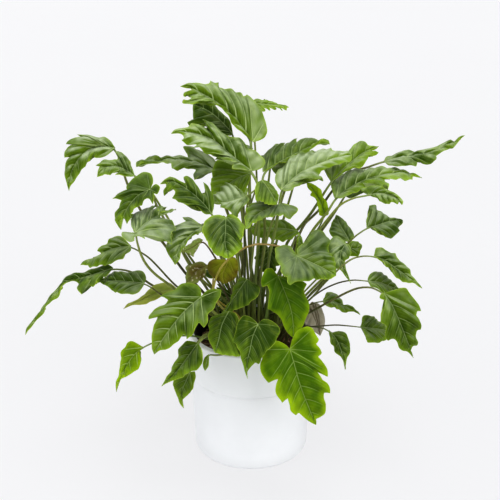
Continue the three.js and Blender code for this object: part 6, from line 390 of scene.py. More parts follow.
         [89.1,198.1,279.0,75.8,191.3,282.3,57.1,187.2,284.6,50.3,201.6,281.2,49.7,220.7,277.1,53.8,236.2,272.0,66.7,236.3,269.8,62.8,253.8,263.6,68.1,270.3,254.7,82.5,259.3,256.5,86.6,277.4,245.4,91.5,286.7,238.0,103.9,278.0,239.3,108.5,287.3,231.1,121.9,292.4,221.5,125.0,287.4,224.1,139.6,292.6,212.7,153.7,292.2,205.5,160.8,294.7,198.8],
         [89.1,198.1,279.0,108.2,226.4,265.7,126.8,252.3,247.6,144.5,275.2,225.1,160.8,294.7,198.8],
         [89.1,198.1,279.0,89.1,182.5,285.3,96.5,166.3,291.6,107.0,165.3,292.8,127.0,179.3,290.4,141.4,185.0,288.9,132.0,193.2,284.3,155.7,201.6,280.5,164.2,211.9,274.0,146.9,223.3,267.0,164.2,231.0,260.5,176.2,235.1,256.1,162.0,245.2,249.5,171.8,254.5,239.7,173.3,260.5,233.6,164.0,268.5,227.7,166.0,276.9,218.2,160.5,290.8,203.7,160.8,294.7,198.8]),
        ("green", 0.22, [15.4,44.5,201.2,16.7,48.5,223.3,19.1,54.5,244.0,22.1,61.8,263.5,26.0,70.0,282.1,30.6,79.2,299.8,35.6,89.3,316.6,40.9,100.0,332.8,46.5,111.2,348.5,52.2,122.8,363.8,58.0,134.4,378.9,63.8,146.0,394.0,69.4,157.3,409.1,74.8,168.1,424.4,79.9,178.3,440.0],
         [79.9,178.3,440.0,65.2,172.6,435.5,54.4,173.5,432.6,47.7,185.2,433.1,48.4,201.9,437.7,53.9,211.7,440.8,63.9,209.5,442.2,70.1,225.2,444.7,73.0,237.2,445.6,81.2,233.5,446.1,87.1,249.7,446.3,95.5,253.7,446.1,107.6,248.1,446.4,114.3,260.5,444.8,119.6,263.8,444.0,127.5,258.1,444.2,141.9,267.2,441.0,154.1,267.0,439.2,159.8,267.1,438.2],
         [79.9,178.3,440.0,98.9,201.1,446.1,118.9,223.8,447.8,139.3,246.0,445.2,159.8,267.1,438.2],
         [79.9,178.3,440.0,75.6,166.0,437.8,79.3,150.4,438.0,89.8,150.2,442.5,106.5,155.7,450.9,113.6,157.6,453.7,109.1,171.1,451.6,125.9,173.1,457.2,138.4,181.2,459.9,129.8,190.0,456.3,142.4,198.8,457.8,147.5,204.9,457.5,141.7,215.3,454.0,155.0,220.5,454.7,156.6,232.0,451.3,156.3,233.9,450.7,157.3,245.9,446.6,160.6,260.2,441.2,159.8,267.1,438.2]),
        ("green", 0.33, [14.2,48.0,201.6,14.7,49.6,228.0,15.3,52.0,253.0,16.1,55.2,276.8,17.1,59.7,299.6,18.2,64.8,321.4,19.5,70.6,342.2,20.9,77.1,362.1,22.5,84.3,381.3,24.3,92.1,399.8,26.1,100.6,417.8,28.2,109.8,435.4,30.3,119.6,452.7,32.6,130.1,469.9,35.1,141.2,487.0],
         [35.1,141.2,487.0,32.7,127.5,488.6,21.9,123.6,486.5,10.3,126.7,483.4,-2.9,136.5,479.8,-6.4,151.0,477.0,5.6,155.0,478.5,-2.7,166.8,473.9,-10.5,179.8,468.3,6.6,181.3,471.1,-0.2,196.1,464.0,1.1,205.5,460.0,14.9,207.2,462.0,13.7,219.3,455.4,14.4,223.2,453.4,26.7,226.2,454.0,30.3,235.0,449.2,41.5,243.8,445.4,45.1,248.7,442.5],
         [35.1,141.2,487.0,36.0,170.0,480.6,38.0,197.7,470.9,41.0,224.1,458.2,45.1,248.7,442.5],
         [35.1,141.2,487.0,41.5,130.0,491.6,51.3,122.5,496.6,59.2,126.4,499.4,66.2,142.4,501.6,71.4,154.3,501.9,62.7,156.4,497.2,73.3,169.0,499.1,75.0,182.1,495.7,63.1,184.1,489.1,68.3,197.8,486.1,75.2,209.1,484.1,64.3,207.5,479.4,65.2,220.8,472.6,60.7,225.4,467.4,54.6,225.8,464.1,53.9,237.5,455.7,45.9,244.3,446.5,45.1,248.7,442.5]),
    ],
    "shoot_back_right_low": [
        ("green", 0.22, [26.5,32.0,200.4,27.5,32.1,210.9,32.5,33.3,220.7,38.1,35.6,229.9,43.4,38.3,238.5,49.1,41.6,246.8,54.9,45.4,254.6,60.8,49.4,262.2,66.4,53.6,269.5,71.7,57.8,276.7,76.4,62.0,283.7,80.2,65.9,290.8,83.1,69.5,297.9,84.8,72.7,305.1,85.2,75.2,312.6],
         [85.2,75.2,312.6,77.1,68.1,312.8,57.5,69.1,313.5,51.4,80.9,314.6,50.3,96.1,316.5,55.1,107.5,316.8,68.7,104.8,315.0,63.8,123.1,314.7,69.4,135.6,311.9,86.6,128.5,308.8,87.8,142.4,305.3,89.7,153.8,301.2,99.1,146.2,300.3,106.9,157.0,293.0,110.7,163.5,288.2,120.3,154.5,288.1,130.4,160.7,279.7,143.9,162.0,271.0,147.5,163.6,267.5],
         [85.2,75.2,312.6,102.3,99.6,309.5,118.8,123.1,300.7,134.0,144.7,286.5,147.5,163.6,267.5],
         [85.2,75.2,312.6,83.4,61.8,313.2,86.8,50.2,313.8,100.1,48.5,315.2,117.0,51.3,317.7,128.6,61.4,317.6,122.4,69.0,316.1,138.3,72.7,315.7,145.7,84.1,312.4,135.7,91.1,310.8,152.8,99.7,306.1,156.8,108.4,301.5,147.2,114.6,300.2,157.5,122.7,293.7,157.3,129.0,290.0,150.4,135.7,287.6,151.5,148.1,278.6,147.5,158.6,271.9,147.5,163.6,267.5]),
        ("green", 0.34, [24.5,32.2,200.8,28.3,33.1,222.6,34.8,36.1,242.9,43.1,40.8,262.0,52.7,47.0,280.0,63.5,54.4,297.0,75.3,62.7,313.3,87.8,71.7,329.0,100.8,80.9,344.3,113.9,90.2,359.2,126.8,99.3,374.1,139.2,107.8,389.0,150.7,115.6,404.2,161.1,122.2,419.7,170.0,127.5,435.9],
         [170.0,127.5,435.9,156.6,125.3,429.9,147.3,127.8,426.8,144.9,135.4,428.8,145.5,150.7,436.2,144.9,162.2,440.3,159.1,153.5,441.5,156.0,173.9,445.9,166.4,183.6,448.6,178.7,175.7,448.6,178.0,188.9,449.3,187.3,196.6,448.7,194.4,187.2,448.7,205.6,196.4,446.4,211.8,201.9,444.2,219.9,195.6,443.7,228.9,199.9,440.1,241.7,196.8,436.8,247.8,198.9,433.5],
         [170.0,127.5,435.9,188.3,145.6,445.7,208.3,164.3,448.6,228.6,182.5,444.4,247.8,198.9,433.5],
         [170.0,127.5,435.9,165.9,115.6,430.9,171.2,104.7,430.9,179.2,98.1,433.5,193.6,98.3,442.9,203.7,101.8,448.6,197.6,114.9,447.4,212.7,115.0,453.0,220.6,124.5,455.0,215.0,131.9,453.3,230.7,133.3,455.9,240.0,140.8,455.4,229.9,149.3,453.1,239.2,156.2,451.7,245.1,164.5,448.8,240.7,169.7,447.5,243.5,180.5,443.1,245.6,193.5,436.9,247.8,198.9,433.5]),
        ("green", 0.45, [27.8,30.4,201.2,28.2,31.9,228.3,28.6,33.3,254.0,29.3,34.6,278.5,30.4,35.7,301.9,31.8,37.1,324.3,33.6,38.7,345.6,35.8,40.8,366.1,38.5,43.4,385.7,41.8,46.6,404.6,45.9,50.4,423.0,50.8,55.1,440.8,56.5,60.6,458.2,63.3,67.0,475.3,71.1,74.4,492.2],
         [71.1,74.4,492.2,59.7,67.1,487.6,48.1,66.1,485.1,41.1,75.5,488.4,33.9,90.8,495.4,38.3,98.5,499.2,52.5,100.8,500.8,49.4,114.3,504.3,47.0,127.5,506.7,63.9,126.8,505.6,65.7,138.6,506.0,67.7,149.5,505.4,77.5,142.0,504.5,80.7,157.5,502.2,89.3,164.2,498.9,99.3,158.2,498.1,105.9,166.9,493.9,120.9,171.6,487.4,125.9,173.5,484.9],
         [71.1,74.4,492.2,84.6,99.1,500.7,98.8,124.8,502.3,112.8,150.0,496.9,125.9,173.5,484.9],
         [71.1,74.4,492.2,71.3,61.5,488.0,79.8,50.8,486.6,86.4,51.2,489.0,99.0,56.3,495.8,111.9,60.5,501.1,103.0,71.1,500.9,121.8,75.5,505.9,129.0,84.8,507.6,115.5,94.0,505.7,132.9,103.9,507.1,136.8,110.9,506.3,123.6,118.6,504.5,133.5,131.0,501.7,134.8,137.4,499.7,128.6,142.9,498.2,130.3,155.7,493.0,126.0,169.6,487.0,125.9,173.5,484.9]),
    ],
    "shoot_back_centre": [
        ("green", 0.38, [-1.0,50.0,200.4,-1.7,51.8,210.4,-5.0,61.3,219.2,-9.6,74.7,227.0,-14.1,87.6,234.0,-19.1,102.1,240.5,-24.5,117.7,246.6,-30.2,134.0,252.7,-35.9,150.7,258.9,-41.7,167.3,265.4,-47.2,183.3,272.6,-52.4,198.3,280.5,-57.1,211.9,289.6,-61.2,223.6,299.8,-64.4,233.1,311.6],
         [-64.4,233.1,311.6,-71.3,221.4,314.7,-81.8,216.1,317.2,-95.1,219.6,319.2,-104.9,239.8,320.2,-109.5,248.9,319.5,-93.4,251.3,315.0,-107.0,269.9,312.0,-110.3,279.6,308.3,-92.6,280.5,302.9,-102.9,292.8,298.0,-100.6,302.7,289.5,-84.6,301.5,285.5,-94.6,313.4,276.9,-87.5,316.8,270.4,-79.5,317.9,266.1,-76.0,323.6,256.5,-67.3,328.4,244.6,-62.7,330.6,238.0],
         [-64.4,233.1,311.6,-62.6,263.6,302.9,-61.6,291.0,287.0,-61.7,313.8,264.9,-62.7,330.6,238.0],
         [-64.4,233.1,311.6,-58.6,222.2,313.3,-47.5,213.2,314.1,-39.6,214.7,313.8,-22.3,231.3,312.7,-18.3,239.4,311.1,-35.8,246.4,309.1,-17.7,260.8,304.1,-16.8,269.5,300.0,-31.9,275.4,296.8,-19.8,288.3,288.1,-23.4,296.3,281.6,-34.6,295.2,282.9,-30.8,308.0,270.2,-32.9,313.2,264.0,-42.3,313.8,263.8,-47.6,321.6,253.0,-60.4,328.1,242.9,-62.7,330.6,238.0]),
        ("green", 0.5, [-3.0,50.3,200.8,-3.3,53.4,218.8,-4.7,60.4,235.5,-6.2,68.1,251.2,-8.2,77.3,265.9,-10.7,87.8,279.9,-13.6,99.2,293.3,-16.7,111.3,306.2,-19.9,123.9,318.7,-23.2,136.6,331.0,-26.4,149.2,343.3,-29.6,161.6,355.7,-32.6,173.3,368.3,-35.4,184.2,381.3,-37.9,194.1,394.8],
         [-37.9,194.1,394.8,-39.4,179.1,395.1,-46.2,167.7,394.6,-58.0,166.8,394.2,-72.5,177.4,394.8,-80.9,186.1,394.1,-73.4,193.8,393.6,-90.2,200.0,391.5,-97.2,212.6,387.8,-83.0,220.7,387.3,-96.7,229.7,382.3,-102.9,238.9,377.4,-88.6,243.8,378.1,-97.4,252.8,371.8,-92.2,263.3,367.1,-83.0,265.7,368.2,-82.6,279.8,359.2,-83.0,286.9,353.8,-77.9,293.2,350.5],
         [-37.9,194.1,394.8,-49.7,220.8,390.9,-60.5,246.8,382.0,-70.0,271.2,368.4,-77.9,293.2,350.5],
         [-37.9,194.1,394.8,-24.0,186.8,397.3,-16.1,185.7,398.6,-7.2,192.4,400.7,-6.5,209.6,403.1,-3.6,220.0,404.2,-17.2,220.6,400.5,-11.7,237.0,401.1,-13.1,253.6,398.2,-25.2,245.2,395.5,-22.6,262.6,392.6,-25.5,270.6,388.9,-39.0,265.7,384.9,-41.7,277.7,379.0,-46.9,283.0,374.0,-54.5,280.8,371.3,-64.7,287.2,362.3,-73.3,291.6,354.5,-77.9,293.2,350.5]),
        ("green", 0.21, [0.2,48.4,201.2,-1.1,51.7,229.7,-2.7,55.8,256.6,-4.3,60.3,282.2,-5.9,65.3,306.7,-7.7,71.1,330.0,-9.8,77.6,352.3,-12.1,84.8,373.6,-14.6,92.7,394.1,-17.3,101.3,414.0,-20.3,110.6,433.3,-23.4,120.5,452.2,-26.8,131.1,470.8,-30.3,142.3,489.2,-34.0,154.1,507.6],
         [-34.0,154.1,507.6,-36.4,139.4,510.6,-38.7,131.8,512.3,-53.8,130.4,517.5,-67.1,139.5,522.0,-76.0,151.2,523.2,-65.2,156.9,518.2,-83.8,166.8,521.6,-87.6,177.3,519.3,-81.2,182.9,515.3,-93.7,196.2,513.0,-97.6,200.3,512.0,-85.6,208.7,504.8,-93.0,216.8,502.0,-96.9,227.1,496.4,-86.6,229.7,492.8,-84.5,240.6,485.0,-87.2,250.2,478.2,-83.3,256.8,472.4],
         [-34.0,154.1,507.6,-45.4,181.9,504.8,-57.6,208.7,497.9,-70.3,233.8,487.0,-83.3,256.8,472.4],
         [-34.0,154.1,507.6,-22.4,147.0,506.4,-8.6,144.3,504.0,0.8,151.0,502.0,3.5,165.3,501.7,4.3,180.1,500.6,-13.0,183.1,501.9,-11.4,194.1,499.7,-7.2,210.3,495.6,-23.6,205.1,497.8,-19.5,218.3,493.7,-23.5,231.2,489.1,-34.9,226.7,490.9,-43.5,237.6,486.0,-42.7,246.7,481.6,-56.8,239.8,484.5,-64.1,251.8,477.4,-77.5,254.3,474.7,-83.3,256.8,472.4]),
    ],
    "shoot_back_left": [
        ("green", 0.26, [-15.9,44.8,200.4,-16.2,45.1,208.9,-17.9,46.6,216.9,-20.9,49.2,224.4,-23.6,51.5,231.5,-26.5,54.1,238.2,-29.7,56.9,244.6,-33.1,59.8,250.8,-36.7,63.0,256.8,-40.4,66.2,262.6,-44.1,69.4,268.3,-47.8,72.6,274.1,-51.4,75.8,279.8,-54.9,78.8,285.6,-58.2,81.6,291.6],
         [-58.2,81.6,291.6,-62.0,71.8,293.8,-68.1,60.7,296.4,-77.2,59.8,300.1,-86.6,72.1,304.8,-93.0,78.3,306.9,-85.4,87.7,302.2,-97.9,98.9,304.1,-109.8,107.1,305.1,-96.7,112.4,298.6,-107.5,121.1,297.6,-111.9,128.4,294.5,-100.5,131.2,289.9,-108.0,140.8,284.9,-110.6,147.8,279.7,-103.5,151.4,275.4,-99.0,160.3,266.2,-101.8,168.2,257.9,-100.8,172.8,252.1],
         [-58.2,81.6,291.6,-67.3,108.0,290.3,-77.9,132.8,283.0,-89.2,154.8,270.0,-100.8,172.8,252.1],
         [-58.2,81.6,291.6,-48.7,74.5,289.6,-38.9,68.2,287.1,-30.5,74.9,285.3,-27.5,90.3,286.1,-24.9,101.7,285.6,-36.9,99.2,287.6,-28.3,119.2,283.8,-34.7,131.9,281.1,-45.5,128.8,282.9,-48.3,142.2,277.9,-47.0,150.3,274.0,-57.7,147.4,275.5,-60.3,157.6,269.5,-66.2,161.7,266.4,-74.6,159.8,267.2,-88.8,167.8,259.2,-96.4,169.4,256.5,-100.8,172.8,252.1]),
        ("green", 0.38, [-17.9,45.1,200.8,-18.6,46.0,217.4,-20.9,48.3,233.0,-23.4,50.6,247.8,-26.4,53.4,261.8,-30.1,56.6,275.1,-34.4,60.1,287.9,-39.1,64.0,300.2,-44.1,68.2,312.0,-49.4,72.6,323.5,-54.9,77.1,334.7,-60.6,81.8,345.7,-66.4,86.6,356.6,-72.3,91.5,367.5,-78.1,96.3,378.5],
         [-78.1,96.3,378.5,-76.6,80.8,384.6,-81.4,74.6,386.8,-93.7,70.2,388.4,-110.0,78.3,386.7,-121.5,87.0,383.3,-116.1,98.3,377.8,-134.6,102.4,375.0,-137.3,110.0,370.4,-124.1,122.2,363.7,-142.0,129.2,356.9,-149.2,135.6,350.8,-135.9,139.4,349.9,-146.5,150.6,338.3,-150.3,156.7,331.6,-138.2,163.6,327.8,-141.4,171.3,318.9,-135.7,182.0,308.5,-135.3,186.7,302.8],
         [-78.1,96.3,378.5,-93.8,122.5,365.5,-108.8,146.6,348.3,-122.7,168.2,327.3,-135.3,186.7,302.8],
         [-78.1,96.3,378.5,-63.3,92.1,382.4,-55.4,86.6,385.0,-47.2,97.1,383.5,-42.9,115.3,380.5,-46.8,129.9,375.5,-60.9,125.2,373.6,-53.4,143.7,368.7,-60.3,157.5,360.4,-69.9,151.3,360.2,-73.0,165.8,351.4,-80.2,172.3,344.6,-87.6,167.7,344.3,-91.6,180.1,334.0,-99.7,183.6,327.2,-108.2,177.9,327.3,-114.7,185.4,317.2,-128.7,187.3,306.6,-135.3,186.7,302.8]),
        ("green", 0.49, [-14.6,43.3,201.2,-15.8,44.3,224.1,-16.8,45.3,245.8,-17.8,46.2,266.3,-18.7,46.9,286.1,-19.6,47.6,305.0,-20.9,48.5,323.0,-22.5,49.7,340.3,-24.7,51.4,356.9,-27.4,53.4,372.9,-30.9,56.0,388.3,-35.2,59.1,403.3,-40.3,62.9,418.0,-46.5,67.5,432.4,-53.7,72.9,446.7],
         [-53.7,72.9,446.7,-57.4,59.6,448.7,-64.0,50.8,448.2,-73.5,49.7,445.5,-82.4,58.9,441.7,-93.0,66.0,436.7,-83.4,73.0,437.6,-99.1,79.8,430.0,-102.4,90.3,424.5,-93.5,97.1,424.8,-99.2,108.7,416.6,-102.7,114.9,411.5,-88.6,121.8,413.6,-97.1,129.3,404.8,-96.8,136.8,399.6,-87.9,139.5,402.0,-89.4,148.7,394.0,-81.5,160.3,388.2,-77.9,165.1,385.7],
         [-53.7,72.9,446.7,-62.2,97.9,435.8,-69.1,121.9,421.9,-74.3,144.5,405.1,-77.9,165.1,385.7],
         [-53.7,72.9,446.7,-43.3,68.6,453.0,-34.8,64.1,457.8,-27.3,73.4,460.4,-26.5,84.8,460.0,-27.0,95.4,458.2,-36.6,97.8,452.0,-30.1,113.1,452.0,-30.4,125.3,447.9,-40.7,124.0,441.4,-40.2,135.2,437.0,-43.6,144.5,429.9,-50.4,138.5,427.8,-51.4,153.2,418.6,-57.4,155.5,412.0,-60.0,153.5,411.2,-67.2,161.1,399.3,-75.9,162.0,390.4,-77.9,165.1,385.7]),
    ],
    "shoot_back_left_low": [
        ("green", 0.14, [-27.2,30.4,200.4,-27.4,31.1,205.0,-28.8,35.0,209.2,-31.6,42.2,213.1,-35.7,51.3,216.7,-40.7,60.4,220.1,-45.8,67.7,223.3,-50.4,71.6,226.4,-54.4,72.6,229.5,-58.6,72.2,232.6,-63.1,70.4,235.8,-67.8,67.0,239.1,-72.8,62.0,242.7,-78.0,55.4,246.6,-83.5,47.1,250.7],
         [-83.5,47.1,250.7,-76.4,33.1,254.7,-75.7,27.9,255.4,-84.8,17.6,254.1,-99.7,20.5,251.0,-111.6,20.2,247.4,-109.6,31.3,245.5,-122.5,29.8,240.1,-132.9,32.7,233.1,-127.2,45.2,231.6,-138.6,47.2,222.1,-144.3,49.2,215.5,-137.3,61.3,214.9,-146.6,63.5,202.2,-148.2,67.8,196.0,-144.7,69.9,199.2,-144.9,80.3,188.0,-146.2,85.5,177.7,-143.3,92.4,173.7],
         [-83.5,47.1,250.7,-104.7,60.9,239.0,-122.5,73.6,221.5,-135.6,84.3,199.3,-143.3,92.4,173.7],
         [-83.5,47.1,250.7,-73.5,44.0,254.7,-64.9,51.6,258.2,-61.2,59.2,259.9,-70.7,71.3,258.0,-76.1,84.6,256.1,-83.2,77.0,252.1,-87.6,93.3,248.9,-94.9,97.2,243.0,-102.2,92.2,237.5,-109.1,99.5,229.2,-112.7,102.4,224.1,-117.9,95.7,220.0,-120.6,104.0,212.9,-127.2,103.2,202.4,-129.9,95.0,202.7,-135.4,99.0,188.4,-141.0,91.9,181.4,-143.3,92.4,173.7]),
        ("green", 0.26, [-29.2,30.7,200.8,-32.7,35.0,217.0,-40.5,42.0,232.1,-47.0,45.7,246.4,-53.9,48.2,259.9,-61.1,49.9,272.7,-68.9,50.9,285.0,-76.7,51.4,296.8,-84.5,51.7,308.3,-92.2,51.9,319.4,-99.6,52.3,330.4,-106.8,53.1,341.3,-113.4,54.4,352.2,-119.6,56.6,363.2,-125.1,59.7,374.5],
         [-125.1,59.7,374.5,-118.2,52.7,371.3,-112.2,41.5,368.8,-115.6,33.8,372.2,-126.7,28.2,381.6,-137.3,28.3,388.4,-140.2,39.0,387.8,-150.5,29.1,395.4,-163.7,31.6,401.1,-165.1,45.5,398.6,-176.9,40.8,404.3,-187.9,41.0,408.0,-186.9,52.4,405.0,-196.8,49.1,408.7,-204.9,53.9,409.6,-203.3,61.5,407.4,-214.7,68.0,408.2,-223.2,77.2,407.4,-228.6,81.9,406.9],
         [-125.1,59.7,374.5,-149.4,65.6,386.9,-174.9,71.3,396.5,-201.5,76.8,403.2,-228.6,81.9,406.9],
         [-125.1,59.7,374.5,-114.5,62.5,368.6,-107.7,72.2,365.0,-108.7,83.7,366.5,-118.3,90.3,374.1,-126.2,96.4,378.8,-132.3,87.8,381.0,-141.4,101.4,386.3,-149.9,103.0,389.8,-156.1,92.8,391.4,-165.7,102.1,395.2,-174.5,104.4,397.9,-177.2,92.1,398.1,-189.8,99.4,401.4,-197.5,99.0,403.0,-200.0,91.6,403.3,-211.9,89.2,405.1,-222.9,82.8,406.4,-228.6,81.9,406.9]),
    ],
    "shoot_centre_low": [
        ("green", 0.04, [-37.9,19.0,200.4,-38.7,18.5,207.0,-41.8,16.4,213.2,-45.7,13.9,219.1,-47.9,12.8,224.7,-47.4,13.6,230.0,-45.9,15.1,235.1,-43.8,17.2,240.0,-41.3,19.7,244.7,-38.5,22.5,249.2,-35.7,25.4,253.6,-33.0,28.3,257.9,-30.8,31.1,262.0,-29.1,33.6,266.2,-28.2,35.7,270.3],
         [-28.2,35.7,270.3,-23.0,34.1,266.1,-19.9,32.6,261.9,-21.7,29.4,256.2,-28.6,24.7,250.3,-33.6,24.0,250.2,-36.1,26.7,255.3,-42.0,24.2,251.0,-47.9,22.9,248.1,-47.5,27.4,256.0,-53.9,26.5,252.9,-58.5,26.7,251.8,-58.5,30.1,257.7,-65.5,31.1,256.3,-67.6,32.7,258.0,-68.9,35.4,261.9,-73.2,38.7,264.7,-77.5,43.0,268.6,-80.2,44.7,269.2],
         [-28.2,35.7,270.3,-41.5,35.6,271.1,-54.8,37.0,271.2,-67.8,40.1,270.6,-80.2,44.7,269.2],
         [-28.2,35.7,270.3,-23.4,37.1,272.7,-19.1,40.1,279.3,-20.0,41.9,284.7,-26.4,42.6,290.5,-30.7,43.1,293.5,-35.0,40.4,285.7,-40.0,43.2,294.1,-44.7,44.8,297.8,-47.1,41.3,287.0,-52.9,44.2,293.1,-57.2,45.1,293.1,-57.7,42.8,286.2,-64.6,44.5,286.0,-67.8,45.0,284.4,-68.1,43.0,278.6,-73.1,44.0,276.2,-78.4,45.0,272.5,-80.2,44.7,269.2]),
        ("green", 0.06, [-39.9,19.3,200.8,-40.0,19.1,204.4,-40.6,18.3,207.6,-42.0,17.4,210.5,-43.8,17.4,213.2,-45.8,18.9,215.6,-47.4,22.1,218.0,-48.5,27.3,220.3,-48.5,34.0,222.6,-47.4,41.6,224.9,-44.8,49.0,227.5,-41.2,56.2,230.2,-36.6,63.1,233.2,-30.9,69.7,236.5,-23.1,75.4,240.1],
         [-23.1,75.4,240.1,-31.1,76.7,239.6,-37.1,78.4,240.5,-39.8,81.5,246.8,-38.2,84.7,258.2,-33.6,85.5,262.3,-27.2,83.7,259.7,-24.9,87.0,267.7,-21.3,90.1,274.3,-15.5,86.3,266.8,-11.3,90.0,273.5,-7.3,92.3,277.0,-2.7,89.7,271.7,3.8,93.4,276.3,7.5,93.8,275.7,12.0,92.7,272.7,19.1,93.8,271.7,27.2,94.7,269.5,30.9,96.2,269.7],
         [-23.1,75.4,240.1,-9.7,77.8,249.3,4.0,82.1,257.4,17.6,88.3,264.3,30.9,96.2,269.7],
         [-23.1,75.4,240.1,-25.9,73.2,234.5,-25.2,68.6,226.1,-20.6,65.4,222.9,-10.9,62.3,224.5,-4.8,61.1,225.7,-6.1,66.9,234.4,4.6,62.9,232.0,11.9,61.9,232.4,6.9,69.5,241.6,17.1,67.7,240.7,21.6,69.5,243.0,17.4,74.0,248.3,24.7,77.2,251.7,27.2,79.8,254.3,23.5,83.5,258.6,27.5,87.7,262.3,31.0,93.0,266.8,30.9,96.2,269.7]),
    ],
    "leaf_centre_inner": [
        ("green", 0.18, [-12.3,19.7,200.4,-13.1,20.8,216.8,-13.2,21.9,232.4,-11.7,21.6,247.2,-9.1,20.6,261.3,-5.7,19.1,274.7,-1.6,17.4,287.5,2.9,15.5,299.7,7.7,13.6,311.5,12.4,12.0,322.8,17.0,10.8,333.8,21.2,10.2,344.5,24.7,10.4,355.0,27.5,11.5,365.3,29.3,13.8,375.5],
         [29.3,13.8,375.5,33.0,15.2,380.8,36.7,15.8,384.3,42.4,13.7,383.5,48.8,8.4,378.4,49.2,6.2,373.9,44.4,6.5,370.7,48.9,3.0,365.9,52.0,0.2,360.8,44.2,2.4,359.9,47.3,-0.4,354.2,48.4,-2.1,349.9,42.7,-0.5,348.8,43.9,-2.6,342.0,42.2,-2.6,339.5,38.3,-1.8,337.5,35.3,-1.8,332.4,31.1,-1.4,327.0,30.3,-1.6,323.9],
         [29.3,13.8,375.5,29.2,8.6,363.1,29.4,4.3,350.2,29.8,0.8,337.2,30.3,-1.6,323.9],
         [29.3,13.8,375.5,26.6,16.1,379.7,20.0,18.7,382.9,15.1,18.8,381.5,10.2,15.7,375.4,7.6,14.0,371.2,15.3,11.9,367.9,7.6,10.4,362.4,4.2,9.0,357.6,14.5,7.6,356.3,8.8,6.2,350.1,8.8,4.9,345.8,15.3,4.4,346.0,15.3,2.6,339.0,16.7,1.8,335.9,22.2,1.3,336.1,24.2,0.1,331.0,27.3,-1.1,325.6,30.3,-1.6,323.9]),
    ],
}


# ---- curves --------------------------------------------------------------------------------------
def arclen(P):
    return np.concatenate([[0], np.cumsum(np.linalg.norm(np.diff(P, axis=0), axis=1))])


def along(P, t):
    s = arclen(P)
    s = s / s[-1]
    return np.stack([np.interp(t, s, P[:, k]) for k in range(3)], 1)


def rounded(P, per=9):
    """A centripetal Catmull-Rom curve through P."""
    P = np.asarray(P, float)
    keep = np.concatenate([[True], np.linalg.norm(np.diff(P, axis=0), axis=1) > 0.05])
    P = P[keep]
    Q = np.concatenate([[2 * P[0] - P[1]], P, [2 * P[-1] - P[-2]]])
    out = []
    for i in range(1, len(Q) - 2):
        p0, p1, p2, p3 = Q[i - 1], Q[i], Q[i + 1], Q[i + 2]
        t0 = 0.0
        t1 = t0 + np.linalg.norm(p1 - p0) ** 0.5
        t2 = t1 + np.linalg.norm(p2 - p1) ** 0.5
        t3 = t2 + np.linalg.norm(p3 - p2) ** 0.5
        t = np.linspace(t1, t2, per, endpoint=False)[:, None]
        a1 = (t1 - t) / (t1 - t0) * p0 + (t - t0) / (t1 - t0) * p1
        a2 = (t2 - t) / (t2 - t1) * p1 + (t - t1) / (t2 - t1) * p2
        a3 = (t3 - t) / (t3 - t2) * p2 + (t - t2) / (t3 - t2) * p3
        b1 = (t2 - t) / (t2 - t0) * a1 + (t - t0) / (t2 - t0) * a2
        b2 = (t3 - t) / (t3 - t1) * a2 + (t - t1) / (t3 - t1) * a3
        out.append((t2 - t) / (t2 - t1) * b1 + (t - t1) / (t2 - t1) * b2)
    out.append(P[-1:])
    return np.concatenate(out)


def smoothstep(a, b, x):
    t = np.clip((x - a) / (b - a), 0, 1)
    return t * t * (3 - 2 * t)


def blurred(x, half):
    k = np.ones(2 * half + 1) / (2 * half + 1)
    return np.convolve(np.pad(x, half, mode="edge"), k, "valid")


def outline(P, rib, per=9):
    """A leaf's edge through P. It turns sharply at the lobes' tips and at the sinuses, and bulges between them."""
    P = np.asarray(P, float)
    keep = np.concatenate([[True], np.linalg.norm(np.diff(P, axis=0), axis=1) > 0.05])
    P = P[keep]
    d = np.diff(P, axis=0)
    d /= np.linalg.norm(d, axis=1)[:, None]
    turn = np.arccos(np.clip((d[1:] * d[:-1]).sum(1), -1, 1))
    cuts = [0] + [i + 1 for i in range(len(turn)) if turn[i] > 1.0] + [len(P) - 1]
    out = []
    for lo, hi in zip(cuts, cuts[1:]):
        Q = P[lo : hi + 1]
        span = np.linalg.norm(Q[-1] - Q[0])
        if len(Q) == 2 and span > 4:
            middle = Q.mean(0)
            away = middle - rib[np.linalg.norm(rib - middle, axis=1).argmin()]
            across = (Q[1] - Q[0]) / span
            away = away - across * (away @ across)
            size = np.linalg.norm(away)
            if size > 0.5:
                Q = np.array([Q[0], middle + away / size * 0.08 * span, Q[1]])
        out.append(rounded(Q, per)[:-1])
    out.append(P[-1:])
    return np.concatenate(out)


# ---- one leaf blade ------------------------------------------------------------------------------
COLUMNS = 12
ROW_MM = 2.0


def rib_fraction(edge, rib, sweep):
    """For points along an edge: where on the midrib the side vein that ends there begins, and how much of the edge fans out from the base."""
    a = np.linspace(0, 1, 401)
    Q = along(edge, a)
    tm = np.linspace(0, 1, 161)
    B = along(rib, tm)
    d = np.linalg.norm(Q[:, None] - B[None], axis=2)
    length = arclen(rib)[-1]
    raw = tm[d.argmin(1)] - sweep * d.min(1) / length
    raw = np.maximum.accumulate(np.clip(raw, 0, 1))
    first = int(np.nonzero(raw > 1e-4)[0][0]) - 1
    first = max(first, 0)
    if a[first] * arclen(edge)[-1] < 3.0:
        first = 0
    soft = blurred(raw, 12)
    m = np.clip((soft - soft[first]) / (1 - soft[first]), 0, 1)
    ramp = np.clip((a - a[first]) / (1 - a[first]), 0, 1)
    m = 0.8 * m + 0.2 * ramp
    m[: first + 1] = 0
    m[-1] = 1
    return a, np.maximum.accumulate(m), first


def turning_points(r, threshold):
    """Alternating highs and lows of r that differ by more than threshold."""
    found = []
    low = high = r[0]
    at_low = at_high = 0
    rising = None
    for i, x in enumerate(r):
        if x > high:
            high, at_high = x, i
        if x < low:
            low, at_low = x, i
        if rising is not False and x < high - threshold:
            found.append((at_high, 1))
            rising, low, at_low, high, at_high = False, x, i, x, i
        elif rising is not True and x > low + threshold:
            if rising is not None or at_low > 0:
                found.append((at_low, -1))
            rising, high, at_high, low, at_low = True, x, i, x, i
    return found


